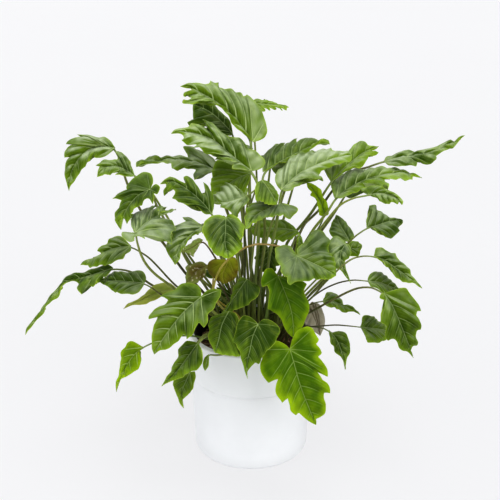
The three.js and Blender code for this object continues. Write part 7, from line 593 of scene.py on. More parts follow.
def vein_coordinate(a, m, first, edge, rib):
    """A coordinate along the edge that is a whole number at every side vein and a half between two lobes."""
    length = arclen(rib)[-1]
    r = np.linalg.norm(along(edge, a) - along(rib, m), axis=1)
    turns = turning_points(blurred(r, 2), max(1.8, 0.05 * r.max()))
    progress = 0.6 * m * length + 0.3 * a * arclen(edge)[-1]
    target = float(np.clip(length / 6.2, 9.0, 22.0))
    tips = []
    for i, s in turns:
        if s > 0 and progress[i] > 0.4 * target and progress[-1] - progress[i] > 0.4 * target:
            if tips and progress[i] - progress[tips[-1]] < 0.55 * target:
                if r[i] > r[tips[-1]]:
                    tips[-1] = i
            else:
                tips.append(i)
    veins = []
    stops = [0] + tips + [len(a) - 1]
    for j in range(len(stops) - 1):
        p, q = stops[j], stops[j + 1]
        if j:
            veins.append(a[p])
        n = max(int(round((progress[q] - progress[p]) / target)) - 1, 0)
        for k in range(1, n + 1):
            veins.append(float(np.interp(progress[p] + (progress[q] - progress[p]) * k / (n + 1), progress, a)))
    veins = sorted(veins) or [0.5]
    dips = [a[i] for i, s in turns if s < 0]
    ka, kw = [0.0], [0.5]
    for j, p in enumerate(veins):
        if j:
            low, high = veins[j - 1], p
            between = [x for x in dips if low + 0.2 * (high - low) < x < high - 0.2 * (high - low)]
            if between:
                ka.append(min(between, key=lambda x: float(np.interp(x, a, r))))
                kw.append(j + 0.5)
        if p > ka[-1] + 1e-3:
            ka.append(p)
            kw.append(j + 1.0)
    ka.append(1.0)
    kw.append(len(veins) + 1.0)
    return np.interp(a, ka, kw)


def softened(P, reach):
    """P with wiggles shorter than about 2.5 times reach (in millimetres) smoothed away; the ends stay."""
    total = arclen(P)[-1]
    n = max(40, int(total / 0.7))
    Q = along(P, np.linspace(0, 1, n + 1))
    half = max(1, int(round(3 * reach / (total / n))))
    k = np.exp(-0.5 * ((np.arange(-half, half + 1) * total / n / reach) ** 2))
    k /= k.sum()
    half = min(half, n - 1)
    k = k[len(k) // 2 - half : len(k) // 2 + half + 1]
    k /= k.sum()
    big = np.concatenate([2 * Q[0] - Q[half:0:-1], Q, 2 * Q[-1] - Q[-2 : -half - 2 : -1]])
    return np.stack([np.convolve(big[:, i], k, "valid") for i in range(3)], 1)


def columns_for(width):
    """Shares of the way from the midrib to the edge, closer together at both ends."""
    c1, c2 = min(0.9 / width, 0.07), min(2.3 / width, 0.16)
    e1, e2 = min(0.6 / width, 0.05), min(1.9 / width, 0.13)
    return np.concatenate([[c1], np.linspace(c2, 1 - e2, COLUMNS - 3), [1 - e1, 1.0]])


def face_normals(P, F3):
    return np.cross(P[F3[:, 1]] - P[F3[:, 0]], P[F3[:, 2]] - P[F3[:, 0]])


def vertex_normals(P, F3):
    n = face_normals(P, F3)
    out = np.zeros_like(P)
    for k in range(3):
        np.add.at(out, F3[:, k], n)
    return out / np.maximum(np.linalg.norm(out, axis=1), 1e-12)[:, None]


def nearest_distance(P, line):
    """Distance of each point of P to a dense line of points."""
    out = np.empty(len(P))
    for i in range(0, len(P), 512):
        out[i : i + 512] = np.sqrt(((P[i : i + 512, None] - line[None]) ** 2).sum(2).min(1))
    return out


def triangles(faces):
    out = []
    for f in faces:
        for k in range(1, len(f) - 1):
            out.append((f[0], f[k], f[k + 1]))
    return np.array(out)


def blade(left, rib, right, kind, rng, lobing=0.12, quilt=1.0, sweep=1.25):
    """Vertices, faces and vertex values of a blade. Its upper side has the left edge at the left when its midrib points away."""
    rib = rounded(rib, 12)
    if lobing > 0.1:
        drawn, reach = {-1: rounded(left), 1: rounded(right)}, 2.0
    else:
        drawn, reach = {-1: outline(left, rib), 1: outline(right, rib)}, 0.6
    edges = {k: softened(e, reach) for k, e in drawn.items()}
    length = arclen(rib)[-1]
    maps = {s: rib_fraction(e, rib, sweep) for s, e in edges.items()}
    tt = np.linspace(0, 1, 601)
    a_of = {}
    step = np.linalg.norm(np.diff(along(rib, tt), axis=0), axis=1)
    for s, (a, m, first) in maps.items():
        at = np.interp(tt, m[first:] + 1e-9 * np.arange(len(m) - first), a[first:])
        a_of[s] = at
        step = np.maximum(step, np.linalg.norm(np.diff(along(edges[s], at), axis=0), axis=1))
    C = np.concatenate([[0], np.cumsum(step)])
    N = max(6, int(math.ceil(C[-1] / ROW_MM)))
    stations = np.interp(np.linspace(0, C[-1], N + 1), C, tt)
    B = along(rib, stations)
    P, W, V, D, T, S = [*B], [0.0] * (N + 1), [0.0] * (N + 1), [0.0] * (N + 1), [*stations], [0] * (N + 1)
    faces = []
    rows_of = {}
    for s in (-1, 1):
        a, m, first = maps[s]
        w_of = vein_coordinate(a, m, first, drawn[s], rib)
        fan = int(math.ceil(a[first] * arclen(edges[s])[-1] / ROW_MM)) if first else 0
        rows = [(a[first] * (j + 1) / fan, 0) for j in range(fan)]
        rows += [(float(np.interp(stations[i], tt, a_of[s])), i) for i in range(1, N)]
        places = np.array([r[0] for r in rows])
        ends = along(edges[s], places)
        # the sinuses between the lobes, and lobes that reach forward
        starts = B[[r[1] for r in rows]]
        spread = np.linalg.norm(ends - starts, axis=1)
        f = np.interp(places, a, w_of) % 1
        sinus = np.exp(-(((f - 0.5) / 0.15) ** 2))
        depth = lobing * (1 + 0.35 * np.sin(7.3 * np.floor(np.interp(places, a, w_of)) + rng.uniform(0, 6.28)))
        depth = depth * smoothstep(0.0, 0.16, np.interp(places, a, m) + 0.25 * places) * (1 - smoothstep(0.90, 0.99, places))
        ahead = np.array([B[min(r[1] + 1, N)] - B[max(r[1] - 1, 0)] for r in rows])
        ahead /= np.linalg.norm(ahead, axis=1)[:, None]
        ends = ends - (ends - starts) * (depth * sinus)[:, None]
        ends = ends + ahead * (spread * depth * 0.8 * (np.cos(np.pi * f) ** 2 * 0.5 - sinus * 0.5))[:, None]
        ids = []
        for (at, i), end in zip(rows, ends):
            width = max(np.linalg.norm(end - B[i]), 0.3)
            v = columns_for(width)
            # side veins leave the midrib a little more squarely and then bend towards the tip
            tangent = B[min(i + 1, N)] - B[max(i - 1, 0)]
            tangent = tangent / np.linalg.norm(tangent)
            back = -tangent * 0.09 * width * smoothstep(0, 0.15, stations[i])
            pts = B[i] + (end - B[i]) * v[:, None] + back * np.sin(np.pi * v)[:, None]
            ids.append(list(range(len(P), len(P) + COLUMNS)))
            P += [*pts]
            W += [float(np.interp(at, a, w_of))] * COLUMNS
            V += [*v]
            D += [width] * COLUMNS
            T += [stations[i]] * COLUMNS
            S += [s] * COLUMNS
        rows_of[s] = (rows, ids)

        def add(*f, s=s):
            faces.append(f if s == 1 else f[::-1])

        if not fan:
            i = rows[0][1]
            q = ids[0]
            add(0, q[0], i)
            for k in range(COLUMNS - 1):
                add(0, q[k + 1], q[k])
        for j in range(len(rows) - 1):
            i0, i1, p, q = rows[j][1], rows[j + 1][1], ids[j], ids[j + 1]
            if i0 == i1:
                add(i0, p[0], q[0])
            else:
                add(i0, p[0], q[0], i1)
            for k in range(COLUMNS - 1):
                add(p[k], p[k + 1], q[k + 1], q[k])
        i, p = rows[-1][1], ids[-1]
        add(i, p[0], N)
        for k in range(COLUMNS - 1):
            add(p[k], p[k + 1], N)
    P, W, V, D, T, S = (np.array(x, float) for x in (P, W, V, D, T, S))
    # spacing of the side veins, square to them
    gap = np.full(len(P), 10.0)
    for s in (-1, 1):
        rows, ids = rows_of[s]
        ids = np.array(ids)
        G, w = P[ids], W[ids[:, 0]]
        for j in range(len(ids)):
            j0, j1 = max(j - 1, 0), min(j + 1, len(ids) - 1)
            step_ = G[j1] - G[j0]
            e = G[j, -1] - G[j, 0]
            e = e / max(np.linalg.norm(e), 1e-9)
            step_ = step_ - (step_ @ e)[:, None] * e
            gap[ids[j]] = np.linalg.norm(step_, axis=1) / max(w[j1] - w[j0], 1e-3)
    gap = np.clip(gap, 0.3, 40)
    F3 = triangles(faces)
    n = vertex_normals(P, F3)
    # relief: swelling between the veins, arched halves, lobes that bend down, a slow wave
    f = W - np.floor(W)
    swell = 0.5 * np.sin(np.pi * f) ** 2 + 0.5 * np.abs(np.sin(np.pi * f))
    swell[: N + 1] = 0
    edge_wave = 1.0 if lobing > 0.1 else 0.4
    dents = 0.42 * min(1.0, D.max() / 22.0)
    inner = smoothstep(0.02, 0.3, V) * (1 - (1 - 0.5 * edge_wave) * smoothstep(0.65, 1, V))
    shape = SHAPES[kind]
    h = quilt * shape["quilt"] * np.minimum(0.19 * gap, 3.6) * swell * inner
    h += shape["arch"] * 0.12 * D * 4 * V * (1 - V)
    h -= edge_wave * shape["droop"] * 0.10 * D * V**2.5 * (1 - swell)
    h += edge_wave * shape["ruffle"] * 0.06 * D * V**3 * swell
    side_phase = np.where(S > 0, rng.uniform(0, 6.28), rng.uniform(0, 6.28))
    h += shape["wave"] * 0.06 * D * V**2 * np.sin(2 * np.pi * (1.7 * T) + side_phase)
    h *= smoothstep(-0.02, 0.10, T + 0.08 * (D / max(D.max(), 1)) * V)
    # small, irregular swells and dents all over the blade
    for _ in range(5):
        way = rng.normal(0, 1, 3)
        way = way / np.linalg.norm(way) * 2 * np.pi / rng.uniform(13.0, 30.0)
        h += dents * smoothstep(0.0, 0.35, V) * np.sin(P @ way + rng.uniform(0, 6.28))
    if shape["crumple"]:
        a_, b_, c_ = rng.uniform(0, 6.28, 3)
        h += shape["crumple"] * V * (np.sin(P[:, 0] * 0.33 + a_) * np.sin(P[:, 2] * 0.41 + b_) + 0.6 * np.sin(P[:, 1] * 0.5 + P[:, 2] * 0.3 + c_))
    top = P + n * h[:, None]
    n = vertex_normals(top, F3)
    rim = P[V >= 1]
    rim = np.concatenate([rim, P[[N]]])
    to_edge = nearest_distance(P, rim)
    to_edge[V >= 1] = 0
    thick = 0.22 + 0.42 * smoothstep(0, 3, to_edge)
    near_vein = np.exp(-((np.minimum(f, 1 - f) * gap / 1.1) ** 2)) * (1 - V) * (V > 0)
    under = top - n * (thick + 0.3 * near_vein)[:, None]
    count = len(P)
    all_faces = [tuple(x) for x in faces] + [tuple(count + i for i in x[::-1]) for x in faces]
    # close the rim
    directed = {}
    for x in faces:
        for k in range(len(x)):
            directed[(x[k], x[(k + 1) % len(x)])] = True
    for i, j in directed:
        if (j, i) not in directed:
            all_faces.append((j, i, count + i, count + j))
    to_rib = V * D
    values = {
        "vn": np.stack([W, gap, np.ones(count)], 1),
        "rb": np.stack([to_rib, to_edge, V], 1),
        "up": np.stack([n[:, 2], T, np.zeros(count)], 1),
    }
    values = {k: np.concatenate([x, x]) for k, x in values.items()}
    values["vn"][count:, 2] = -1
    return np.concatenate([top, under]), all_faces, values, (B, n[: N + 1], stations, length)


def tube(path, radius, sides, flat=None):
    """Rings along a path. flat: how far, per ring, the side towards the reference is pressed in."""
    tangents = np.gradient(path, axis=0)
    tangents /= np.linalg.norm(tangents, axis=1)[:, None]
    ref = np.array([1.0, 0.0, 0.0])
    ref = ref - tangents[0] * (ref @ tangents[0])
    ref /= np.linalg.norm(ref)
    rings = []
    angle = np.arange(sides) * 2 * np.pi / sides
    for i, t in enumerate(tangents):
        ref = ref - t * (ref @ t)
        ref /= np.linalg.norm(ref)
        side = np.cross(t, ref)
        r = radius[i] * (1 - (0 if flat is None else flat[i]) * np.exp(-((np.angle(np.exp(1j * angle)) / 0.6) ** 2)))
        rings.append(path[i] + (np.cos(angle) * r)[:, None] * ref + (np.sin(angle) * r)[:, None] * side)
    P = np.concatenate(rings)
    faces = []
    for i in range(len(path) - 1):
        for k in range(sides):
            a, b = i * sides + k, i * sides + (k + 1) % sides
            faces.append((a, b, b + sides, a + sides))
    faces.append(tuple(range(sides))[::-1])
    faces.append(tuple((len(path) - 1) * sides + k for k in range(sides)))
    return P, faces


def stalk(path, blade_info, kind, stout=1.0):
    """The stalk and the midrib that it runs on into, as one tapering tube."""
    B, n, stations, length = blade_info
    path = rounded(path, 4)
    top_r = float(np.clip(1.0 + 0.0085 * length, 1.1, 2.2)) * stout
    base_r = top_r * 1.3
    s = arclen(path)
    steps = max(14, int(s[-1] / 7))
    t = np.linspace(0, 1, steps)
    p = along(path, t)
    r = base_r + (top_r - base_r) * t**0.7
    # the stalks clasp each other at the base with broad sheaths
    r = r * (1 + 0.35 * np.exp(-(t * s[-1] / 14.0)) + 0.45 * np.exp(-(((t * s[-1]) / 42.0) ** 2)))
    sink = smoothstep(s[-1] - 14, s[-1], t * s[-1])
    p = p - (n[0] * (top_r * 0.72 - 0.12))[None] * sink[:, None]
    m = np.linspace(0.015, 0.985, max(10, int(length / 5)))
    rib = np.stack([np.interp(m, stations, B[:, k]) for k in range(3)], 1)
    nn = np.stack([np.interp(m, stations, n[:, k]) for k in range(3)], 1)
    nn /= np.linalg.norm(nn, axis=1)[:, None]
    rr = top_r * 0.72 * (1 - m) ** 0.85 + 0.2
    rib = rib - nn * (rr - 0.12 * (1 - 0.6 * m))[:, None]
    whole = np.concatenate([p[:-1], rib])
    radius = np.concatenate([r[:-1] * (1 - 0.2 * smoothstep(0.8, 1, t[:-1])), rr])
    # even out the corner where the stalk meets the blade
    k = len(p) - 1
    for _ in range(3):
        lo, hi = max(k - 2, 1), min(k + 2, len(whole) - 1)
        whole[lo:hi] = 0.5 * whole[lo:hi] + 0.25 * (whole[lo - 1 : hi - 1] + whole[lo + 1 : hi + 1])
    P, faces = tube(whole, radius, 9, flat=np.concatenate([0.16 * np.ones(k), 0 * rr]))
    go = np.concatenate([np.linspace(0, 1, k), 1 + m])
    sides = 9
    values = {
        "vn": np.stack([np.repeat(go, sides), np.tile(np.arange(sides) / sides, len(go)), np.zeros(len(P))], 1),
        "rb": np.stack([np.repeat(radius, sides), np.full(len(P), 5.0), np.zeros(len(P))], 1),
        "up": np.zeros((len(P), 3)),
    }
    return P, faces, values


SHAPES = {
    "green": dict(quilt=1.0, arch=1.0, droop=1.0, ruffle=1.0, wave=1.0, crumple=0.0),
    "young": dict(quilt=0.7, arch=0.8, droop=0.7, ruffle=0.9, wave=1.0, crumple=0.0),
    "fading": dict(quilt=0.6, arch=0.8, droop=1.0, ruffle=1.0, wave=1.2, crumple=0.0),
    "old": dict(quilt=0.5, arch=1.2, droop=1.0, ruffle=1.0, wave=1.5, crumple=0.35),
    "withered": dict(quilt=0.4, arch=1.5, droop=1.0, ruffle=1.0, wave=1.5, crumple=0.8),
    "dry": dict(quilt=0.3, arch=1.5, droop=1.0, ruffle=1.0, wave=1.5, crumple=0.9),
}


# ---- materials ------------------------------------------------------------------------------------
class Nodes:
    """Short words for building a node tree."""

    def __init__(self, name):
        self.mat = bpy.data.materials.new(name)
        self.mat.use_nodes = True
        self.tree = self.mat.node_tree
        self.tree.nodes.clear()
        self.out = self.tree.nodes.new("ShaderNodeOutputMaterial")

    def put(self, socket, value):
        if isinstance(value, bpy.types.NodeSocket):
            self.tree.links.new(value, socket)
        elif isinstance(value, (tuple, list)) and len(value) == 3 and socket.type == "RGBA":
            socket.default_value = (*value, 1.0)
        else:
            socket.default_value = value

    def node(self, kind, inputs=None, **props):
        n = self.tree.nodes.new(kind)
        for k, v in props.items():
            setattr(n, k, v)
        for k, v in (inputs or {}).items():
            self.put(n.inputs[k], v)
        return n

    def math(self, op, a, b=0.0, clamp=False):
        return self.node("ShaderNodeMath", {0: a, 1: b}, operation=op, use_clamp=clamp).outputs[0]

    def step(self, a, b, x):
        """0 below a, 1 above b, smooth between; the other way round if b < a."""
        if a < b:
            return self.node("ShaderNodeMapRange", {"Value": x, "From Min": a, "From Max": b}, interpolation_type="SMOOTHSTEP").outputs[0]
        return self.node(
            "ShaderNodeMapRange", {"Value": x, "From Min": b, "From Max": a, "To Min": 1.0, "To Max": 0.0}, interpolation_type="SMOOTHSTEP"
        ).outputs[0]

    def mix(self, fac, a, b, blend="MIX"):
        n = self.tree.nodes.new("ShaderNodeMix")
        n.data_type = "RGBA"
        n.blend_type = blend
        self.put(n.inputs[0], fac)
        self.put(n.inputs[6], a)
        self.put(n.inputs[7], b)
        return n.outputs[2]

    def attr(self, name):
        a = self.node("ShaderNodeAttribute", attribute_name=name, attribute_type="GEOMETRY")
        return self.node("ShaderNodeSeparateXYZ", {0: a.outputs["Vector"]}).outputs

    def place(self):
        return self.node("ShaderNodeTexCoord").outputs["Object"]

    def noise(self, scale, detail=3.0, rough=0.5, vector=None, distortion=0.0):
        return self.node(
            "ShaderNodeTexNoise",
            {"Vector": vector or self.place(), "Scale": scale, "Detail": detail, "Roughness": rough, "Distortion": distortion},
        ).outputs["Fac"]

    def cells(self, scale, feature="F1", vector=None, randomness=1.0):
        return self.node(
            "ShaderNodeTexVoronoi", {"Vector": vector or self.place(), "Scale": scale, "Randomness": randomness}, feature=feature
        ).outputs["Distance"]

    def bump(self, height, strength, distance, normal=None):
        inputs = {"Height": height, "Strength": strength, "Distance": distance}
        if normal is not None:
            inputs["Normal"] = normal
        return self.node("ShaderNodeBump", inputs).outputs[0]

    def finish(self, surface):
        self.tree.links.new(surface, self.out.inputs["Surface"])
        return self.mat


def leaf_material(name, dark, light, vein, margin, under, through, rough=0.34, spots=None, patches=None, thin=0.18, vein_show=1.0, margin_mm=1.0, gloss=0.4, stripes=None, painted_sheen_colour=(0.450, 0.530, 0.345)):
    """A leaf blade. The side veins lie at whole numbers of vn.x, the margin at rb.y = 0."""
    s = Nodes(name)
    w, gap, face = s.attr("vn")
    to_rib, to_edge, v = s.attr("rb")
    tone, painted_sheen_amount, wide = s.attr("hu")
    rise, reach, show = s.attr("up")
    # distance to the nearest side vein, and its width, which tapers towards the margin
    away = s.math("MULTIPLY", s.math("PINGPONG", w, 0.5), gap)
    width = s.math("MULTIPLY", s.math("SUBTRACT", 1.15, s.math("MULTIPLY", v, 0.8)), s.math("ADD", 0.65, s.math("MULTIPLY", show, 0.22)))
    side = s.step(1.0, 0.25, s.math("DIVIDE", away, width))
    side = s.math("MULTIPLY", side, s.step(0.97, 0.70, v))
    halo = s.math("MULTIPLY", s.step(4.5, 0.2, away), s.step(1.0, 0.5, v))
    rib = s.step(1.3, 0.6, s.math("DIVIDE", to_rib, s.math("SUBTRACT", 1.15, s.math("MULTIPLY", v, 0.0))))
    rib_halo = s.step(6.0, 1.0, to_rib)
    # finer veins that run between the side veins
    fine = s.math("MULTIPLY", s.math("PINGPONG", s.math("MULTIPLY", w, 4.0), 0.5), s.math("DIVIDE", gap, 4.0))
    fine = s.math("MULTIPLY", s.step(0.75, 0.15, fine), s.step(2.5, 6.0, gap))
    net = s.step(0.10, 0.0, s.cells(420.0, "DISTANCE_TO_EDGE"))
    edge = s.step(1.0, 0.35, s.math("DIVIDE", to_edge, s.math("MULTIPLY", s.math("ADD", wide, 0.35), margin_mm)))
    # the blade's colour: its own tone and mottling, with painted shade darker towards the base and a painted glow along
    # the margin
    broad = s.noise(16.0, 3.0)
    small = s.noise(75.0, 4.0, 0.6)
    level = s.math("ADD", tone, s.math("MULTIPLY", s.math("SUBTRACT", broad, 0.5), 1.25))
    level = s.math("ADD", level, s.math("MULTIPLY", s.math("SUBTRACT", small, 0.5), 0.55))
    level = s.math("SUBTRACT", level, s.math("MULTIPLY", halo, 0.14))
    # painted shade: darker towards the leaf's base, where the leaves above shade it, paler towards its tip
    level = s.math("ADD", level, reach)
    level = s.math("SUBTRACT", level, s.math("MULTIPLY", rib_halo, 0.10))
    # painted glow: a paler, yellower band along the margin, as light shines through the thin edge
    level = s.math("ADD", level, s.math("MULTIPLY", s.step(11.0, 0.5, s.math("DIVIDE", to_edge, s.math("ADD", 0.3, s.math("MULTIPLY", wide, 0.7)))), s.math("MULTIPLY", wide, 0.46)), clamp=True)
    colour = s.mix(level, dark, light)
    if patches is not None:
        colour = s.mix(s.math("MULTIPLY", s.step(patches[1], patches[2], s.math("ADD", s.noise(patches[3], 4.0, 0.6), s.math("MULTIPLY", v, patches[4]))), patches[5]), colour, patches[0])
    # painted sheen: the parts of the blade that face up are painted paler and greyer, as if they reflected the light
    # from above
    painted_sheen_mask = s.math("MULTIPLY", s.math("MULTIPLY", painted_sheen_amount, s.step(0.25, 1.0, rise)), s.step(0.26, 0.62, s.math("ADD", broad, s.math("MULTIPLY", s.math("SUBTRACT", small, 0.5), 0.5))))
    painted_sheen_mask = s.math("MULTIPLY", painted_sheen_mask, s.math("ADD", 0.45, s.math("MULTIPLY", s.step(1.0, 9.0, to_edge), 0.55)))
    colour = s.mix(s.math("MULTIPLY", painted_sheen_mask, 0.85, clamp=True), colour, painted_sheen_colour)
    veins = s.math("MAXIMUM", s.math("MULTIPLY", s.math("MULTIPLY", side, show), 0.50 * vein_show, clamp=True), s.math("MULTIPLY", rib, 0.75))
    veins = s.math("MAXIMUM", veins, s.math("MULTIPLY", fine, 0.10 * vein_show))
    veins = s.math("MAXIMUM", veins, s.math("MULTIPLY", net, 0.05 * vein_show))
    colour = s.mix(veins, colour, vein)
    colour = s.mix(s.math("MULTIPLY", edge, s.math("ADD", 0.25, s.math("MULTIPLY", s.step(0.30, 0.65, s.noise(45.0, 2.0)), 0.60))), colour, margin)
    if stripes is not None:
        lines = s.math("ADD", s.math("MULTIPLY", v, 1.15), s.math("MULTIPLY", s.noise(30.0, 2.0), 0.25))
        lines = s.step(0.38, 0.47, s.math("PINGPONG", lines, 0.5))
        colour = s.mix(s.math("MULTIPLY", lines, 0.72), colour, stripes)
    if spots is not None:
        dots = s.math("MULTIPLY", s.step(0.36, 0.14, s.cells(spots[1])), s.step(spots[3], spots[3] + 0.12, s.noise(30.0, 3.0)))
        colour = s.mix(s.math("MULTIPLY", dots, spots[2]), colour, spots[0])
    below = s.mix(s.math("MULTIPLY", s.math("MAXIMUM", side, rib), 0.6), under, vein)
    below = s.mix(s.math("MULTIPLY", s.math("SUBTRACT", broad, 0.3), 0.5, clamp=True), below, dark)
    is_under = s.step(0.2, -0.2, face)
    colour = s.mix(is_under, colour, below)
    # relief: grooves over the veins, a fine leathery grain
    height = s.math("SUBTRACT", s.math("MULTIPLY", small, 0.4), s.math("MULTIPLY", veins, 0.8))
    height = s.math("SUBTRACT", height, s.math("MULTIPLY", net, 0.12))
    normal = s.bump(height, 0.55, 0.0006)
    roughness = s.math("ADD", rough, s.math("MULTIPLY", s.math("SUBTRACT", broad, 0.5), 0.18))
    roughness = s.math("ADD", roughness, s.math("MULTIPLY", is_under, 0.16))
    roughness = s.math("ADD", roughness, s.math("MULTIPLY", veins, 0.08), clamp=True)
    p = s.node("ShaderNodeBsdfPrincipled", {"Base Color": colour, "Roughness": roughness, "Normal": normal})
    p.inputs["IOR"].default_value = 1.5
    p.inputs["Specular IOR Level"].default_value = gloss
    p.inputs["Specular Tint"].default_value = (0.88, 1.0, 0.10, 1.0)
    glow = s.node("ShaderNodeBsdfTranslucent", {"Color": s.mix(0.65, colour, through)})
    m = s.node("ShaderNodeMixShader", {0: thin, 1: p.outputs[0], 2: glow.outputs[0]})
    return s.finish(m.outputs[0])


def stalk_material(name, dark, light, rib_colour, base, rough=0.42):
    """Stalk and midrib: vn.x runs 0 to 1 up the stalk and 1 to 2 along the midrib, vn.y round it."""
    s = Nodes(name)
    go, round_, _ = s.attr("vn")
    tone, hue, _ = s.attr("hu")
    streak = s.noise(60.0, 3.0, 0.6, s.node("ShaderNodeMapping", {"Vector": s.place(), "Scale": (6.0, 6.0, 0.6)}).outputs[0])
    level = s.math("ADD", s.math("MULTIPLY", s.math("SUBTRACT", streak, 0.5), 1.1), s.math("ADD", s.math("MULTIPLY", go, 0.34), s.math("ADD", s.math("MULTIPLY", tone, 0.66), 0.0)), clamp=True)
    colour = s.mix(level, dark, light)
    colour = s.mix(s.math("MULTIPLY", hue, 0.75), colour, s.mix(level, (0.055, 0.110, 0.012), (0.26, 0.38, 0.075)))
    colour = s.mix(s.math("MULTIPLY", hue, -0.9, clamp=True), colour, s.mix(s.step(0.72, 0.60, go), s.mix(level, (0.16, 0.105, 0.035), (0.44, 0.32, 0.095)), s.mix(level, (0.25, 0.21, 0.025), (0.66, 0.60, 0.10))))
    specks = s.step(0.62, 0.75, s.noise(520.0, 2.0, 0.7))
    colour = s.mix(s.math("MULTIPLY", specks, 0.25), colour, dark)
    colour = s.mix(s.step(0.18, 0.0, go), colour, base)
    colour = s.mix(s.step(0.93, 1.08, go), colour, rib_colour)
    normal = s.bump(streak, 0.4, 0.0005)
    p = s.node("ShaderNodeBsdfPrincipled", {"Base Color": colour, "Roughness": rough, "Normal": normal})
    return s.finish(p.outputs[0])


def pot_material():
    """Matt white glaze: fine grain, the faintest mottling, and a slightly greyer band low down."""
    s = Nodes("matt_white_glaze")
    grain = s.noise(900.0, 2.0, 0.6)
    cloud = s.noise(14.0, 4.0, 0.55)
    z = s.node("ShaderNodeSeparateXYZ", {0: s.place()}).outputs[2]
    colour = s.mix(s.step(0.35, 0.7, cloud), (0.880, 0.893, 0.910), (0.905, 0.918, 0.935))
    # greyer in the lowest 3 cm
    colour = s.mix(s.math("MULTIPLY", s.step(0.03, 0.0, z), 0.25), colour, (0.72, 0.73, 0.74))
    pits = s.step(0.09, 0.02, s.cells(260.0))
    colour = s.mix(s.math("MULTIPLY", pits, 0.12), colour, (0.6, 0.6, 0.59))
    height = s.math("ADD", s.math("MULTIPLY", grain, 0.35), s.math("MULTIPLY", cloud, 1.6))
    height = s.math("SUBTRACT", height, s.math("MULTIPLY", pits, 0.5))
    normal = s.bump(height, 0.25, 0.0006)
    rough = s.math("ADD", 0.50, s.math("MULTIPLY", cloud, 0.14))
    p = s.node("ShaderNodeBsdfPrincipled", {"Base Color": colour, "Roughness": rough, "Normal": normal})
    return s.finish(p.outputs[0])


def plastic_material():
    """Moulded black plastic of a growing pot, slightly dusty."""
    s = Nodes("moulded_black_plastic")
    cloud = s.noise(40.0, 4.0, 0.6)
    colour = s.mix(s.step(0.45, 0.8, cloud), (0.016, 0.016, 0.015), (0.050, 0.047, 0.042))
    normal = s.bump(s.noise(700.0, 2.0), 0.3, 0.0004)
    rough = s.math("ADD", 0.42, s.math("MULTIPLY", cloud, 0.2))
    p = s.node("ShaderNodeBsdfPrincipled", {"Base Color": colour, "Roughness": rough, "Normal": normal})
    return s.finish(p.outputs[0])


def bark_material():
    """Composted bark: each chip has its own brown, with a streaky grain."""
    s = Nodes("composted_bark")
    tone, hue, pale = s.attr("hu")
    grain = s.noise(140.0, 5.0, 0.65, s.node("ShaderNodeMapping", {"Vector": s.place(), "Scale": (1.0, 3.2, 2.0)}).outputs[0])
    level = s.math("ADD", s.math("MULTIPLY", tone, 0.8), s.math("MULTIPLY", s.math("SUBTRACT", grain, 0.5), 1.0), clamp=True)
    colour = s.mix(level, (0.060, 0.034, 0.018), (0.36, 0.21, 0.110))
    colour = s.mix(s.math("MULTIPLY", pale, 0.7), colour, (0.52, 0.38, 0.24))
    normal = s.bump(grain, 0.8, 0.0015)
    p = s.node("ShaderNodeBsdfPrincipled", {"Base Color": colour, "Roughness": 0.85, "Normal": normal})
    return s.finish(p.outputs[0])


LEAF = {
    "green": leaf_material(
        "leaf_green_satin", (0.024, 0.068, 0.001), (0.270, 0.430, 0.022), (0.44, 0.55, 0.24), (0.46, 0.60, 0.08), (0.15, 0.22, 0.045), (0.40, 0.66, 0.01)
    ),
    "young": leaf_material(
        "leaf_young_bright", (0.060, 0.155, 0.002), (0.42, 0.62, 0.006), (0.42, 0.55, 0.16), (0.48, 0.60, 0.06), (0.18, 0.30, 0.04), (0.42, 0.68, 0.01), rough=0.38, thin=0.28
    ),
    "fading": leaf_material(
        "leaf_fading_yellow", (0.18, 0.30, 0.03), (0.52, 0.58, 0.12), (0.50, 0.52, 0.18), (0.56, 0.58, 0.16), (0.38, 0.42, 0.14), (0.60, 0.64, 0.10), rough=0.5, thin=0.3,
        painted_sheen_colour=(0.46, 0.50, 0.20),
    ),
    "old": leaf_material(
        "leaf_old_olive", (0.090, 0.115, 0.006), (0.36, 0.40, 0.022), (0.40, 0.38, 0.06), (0.30, 0.28, 0.03), (0.24, 0.24, 0.04), (0.50, 0.48, 0.03), rough=0.45,
        patches=((0.090, 0.030, 0.010), 0.50, 0.80, 24.0, 0.25, 0.92), painted_sheen_colour=(0.33, 0.34, 0.025),
    ),
    "withered": leaf_material(
        "leaf_withered_brown", (0.150, 0.085, 0.018), (0.40, 0.52, 0.140), (0.30, 0.28, 0.10), (0.16, 0.11, 0.04), (0.18, 0.16, 0.06), (0.30, 0.26, 0.06), rough=0.65,
        patches=((0.150, 0.055, 0.018), 0.56, 0.72, 46.0, 0.0, 0.60), spots=((0.74, 0.66, 0.50), 150.0, 0.9, 0.26), thin=0.15, vein_show=0.8, gloss=0.4, painted_sheen_colour=(0.22, 0.22, 0.08),
    ),
    "dry": leaf_material(
        "leaf_dried_tan", (0.36, 0.32, 0.24), (0.60, 0.55, 0.45), (0.24, 0.18, 0.11), (0.26, 0.19, 0.12), (0.44, 0.39, 0.30), (0.45, 0.39, 0.27), rough=0.8,
        thin=0.12, vein_show=0.4, gloss=0.25, stripes=(0.070, 0.042, 0.022), painted_sheen_colour=(0.52, 0.47, 0.37),
    ),
}
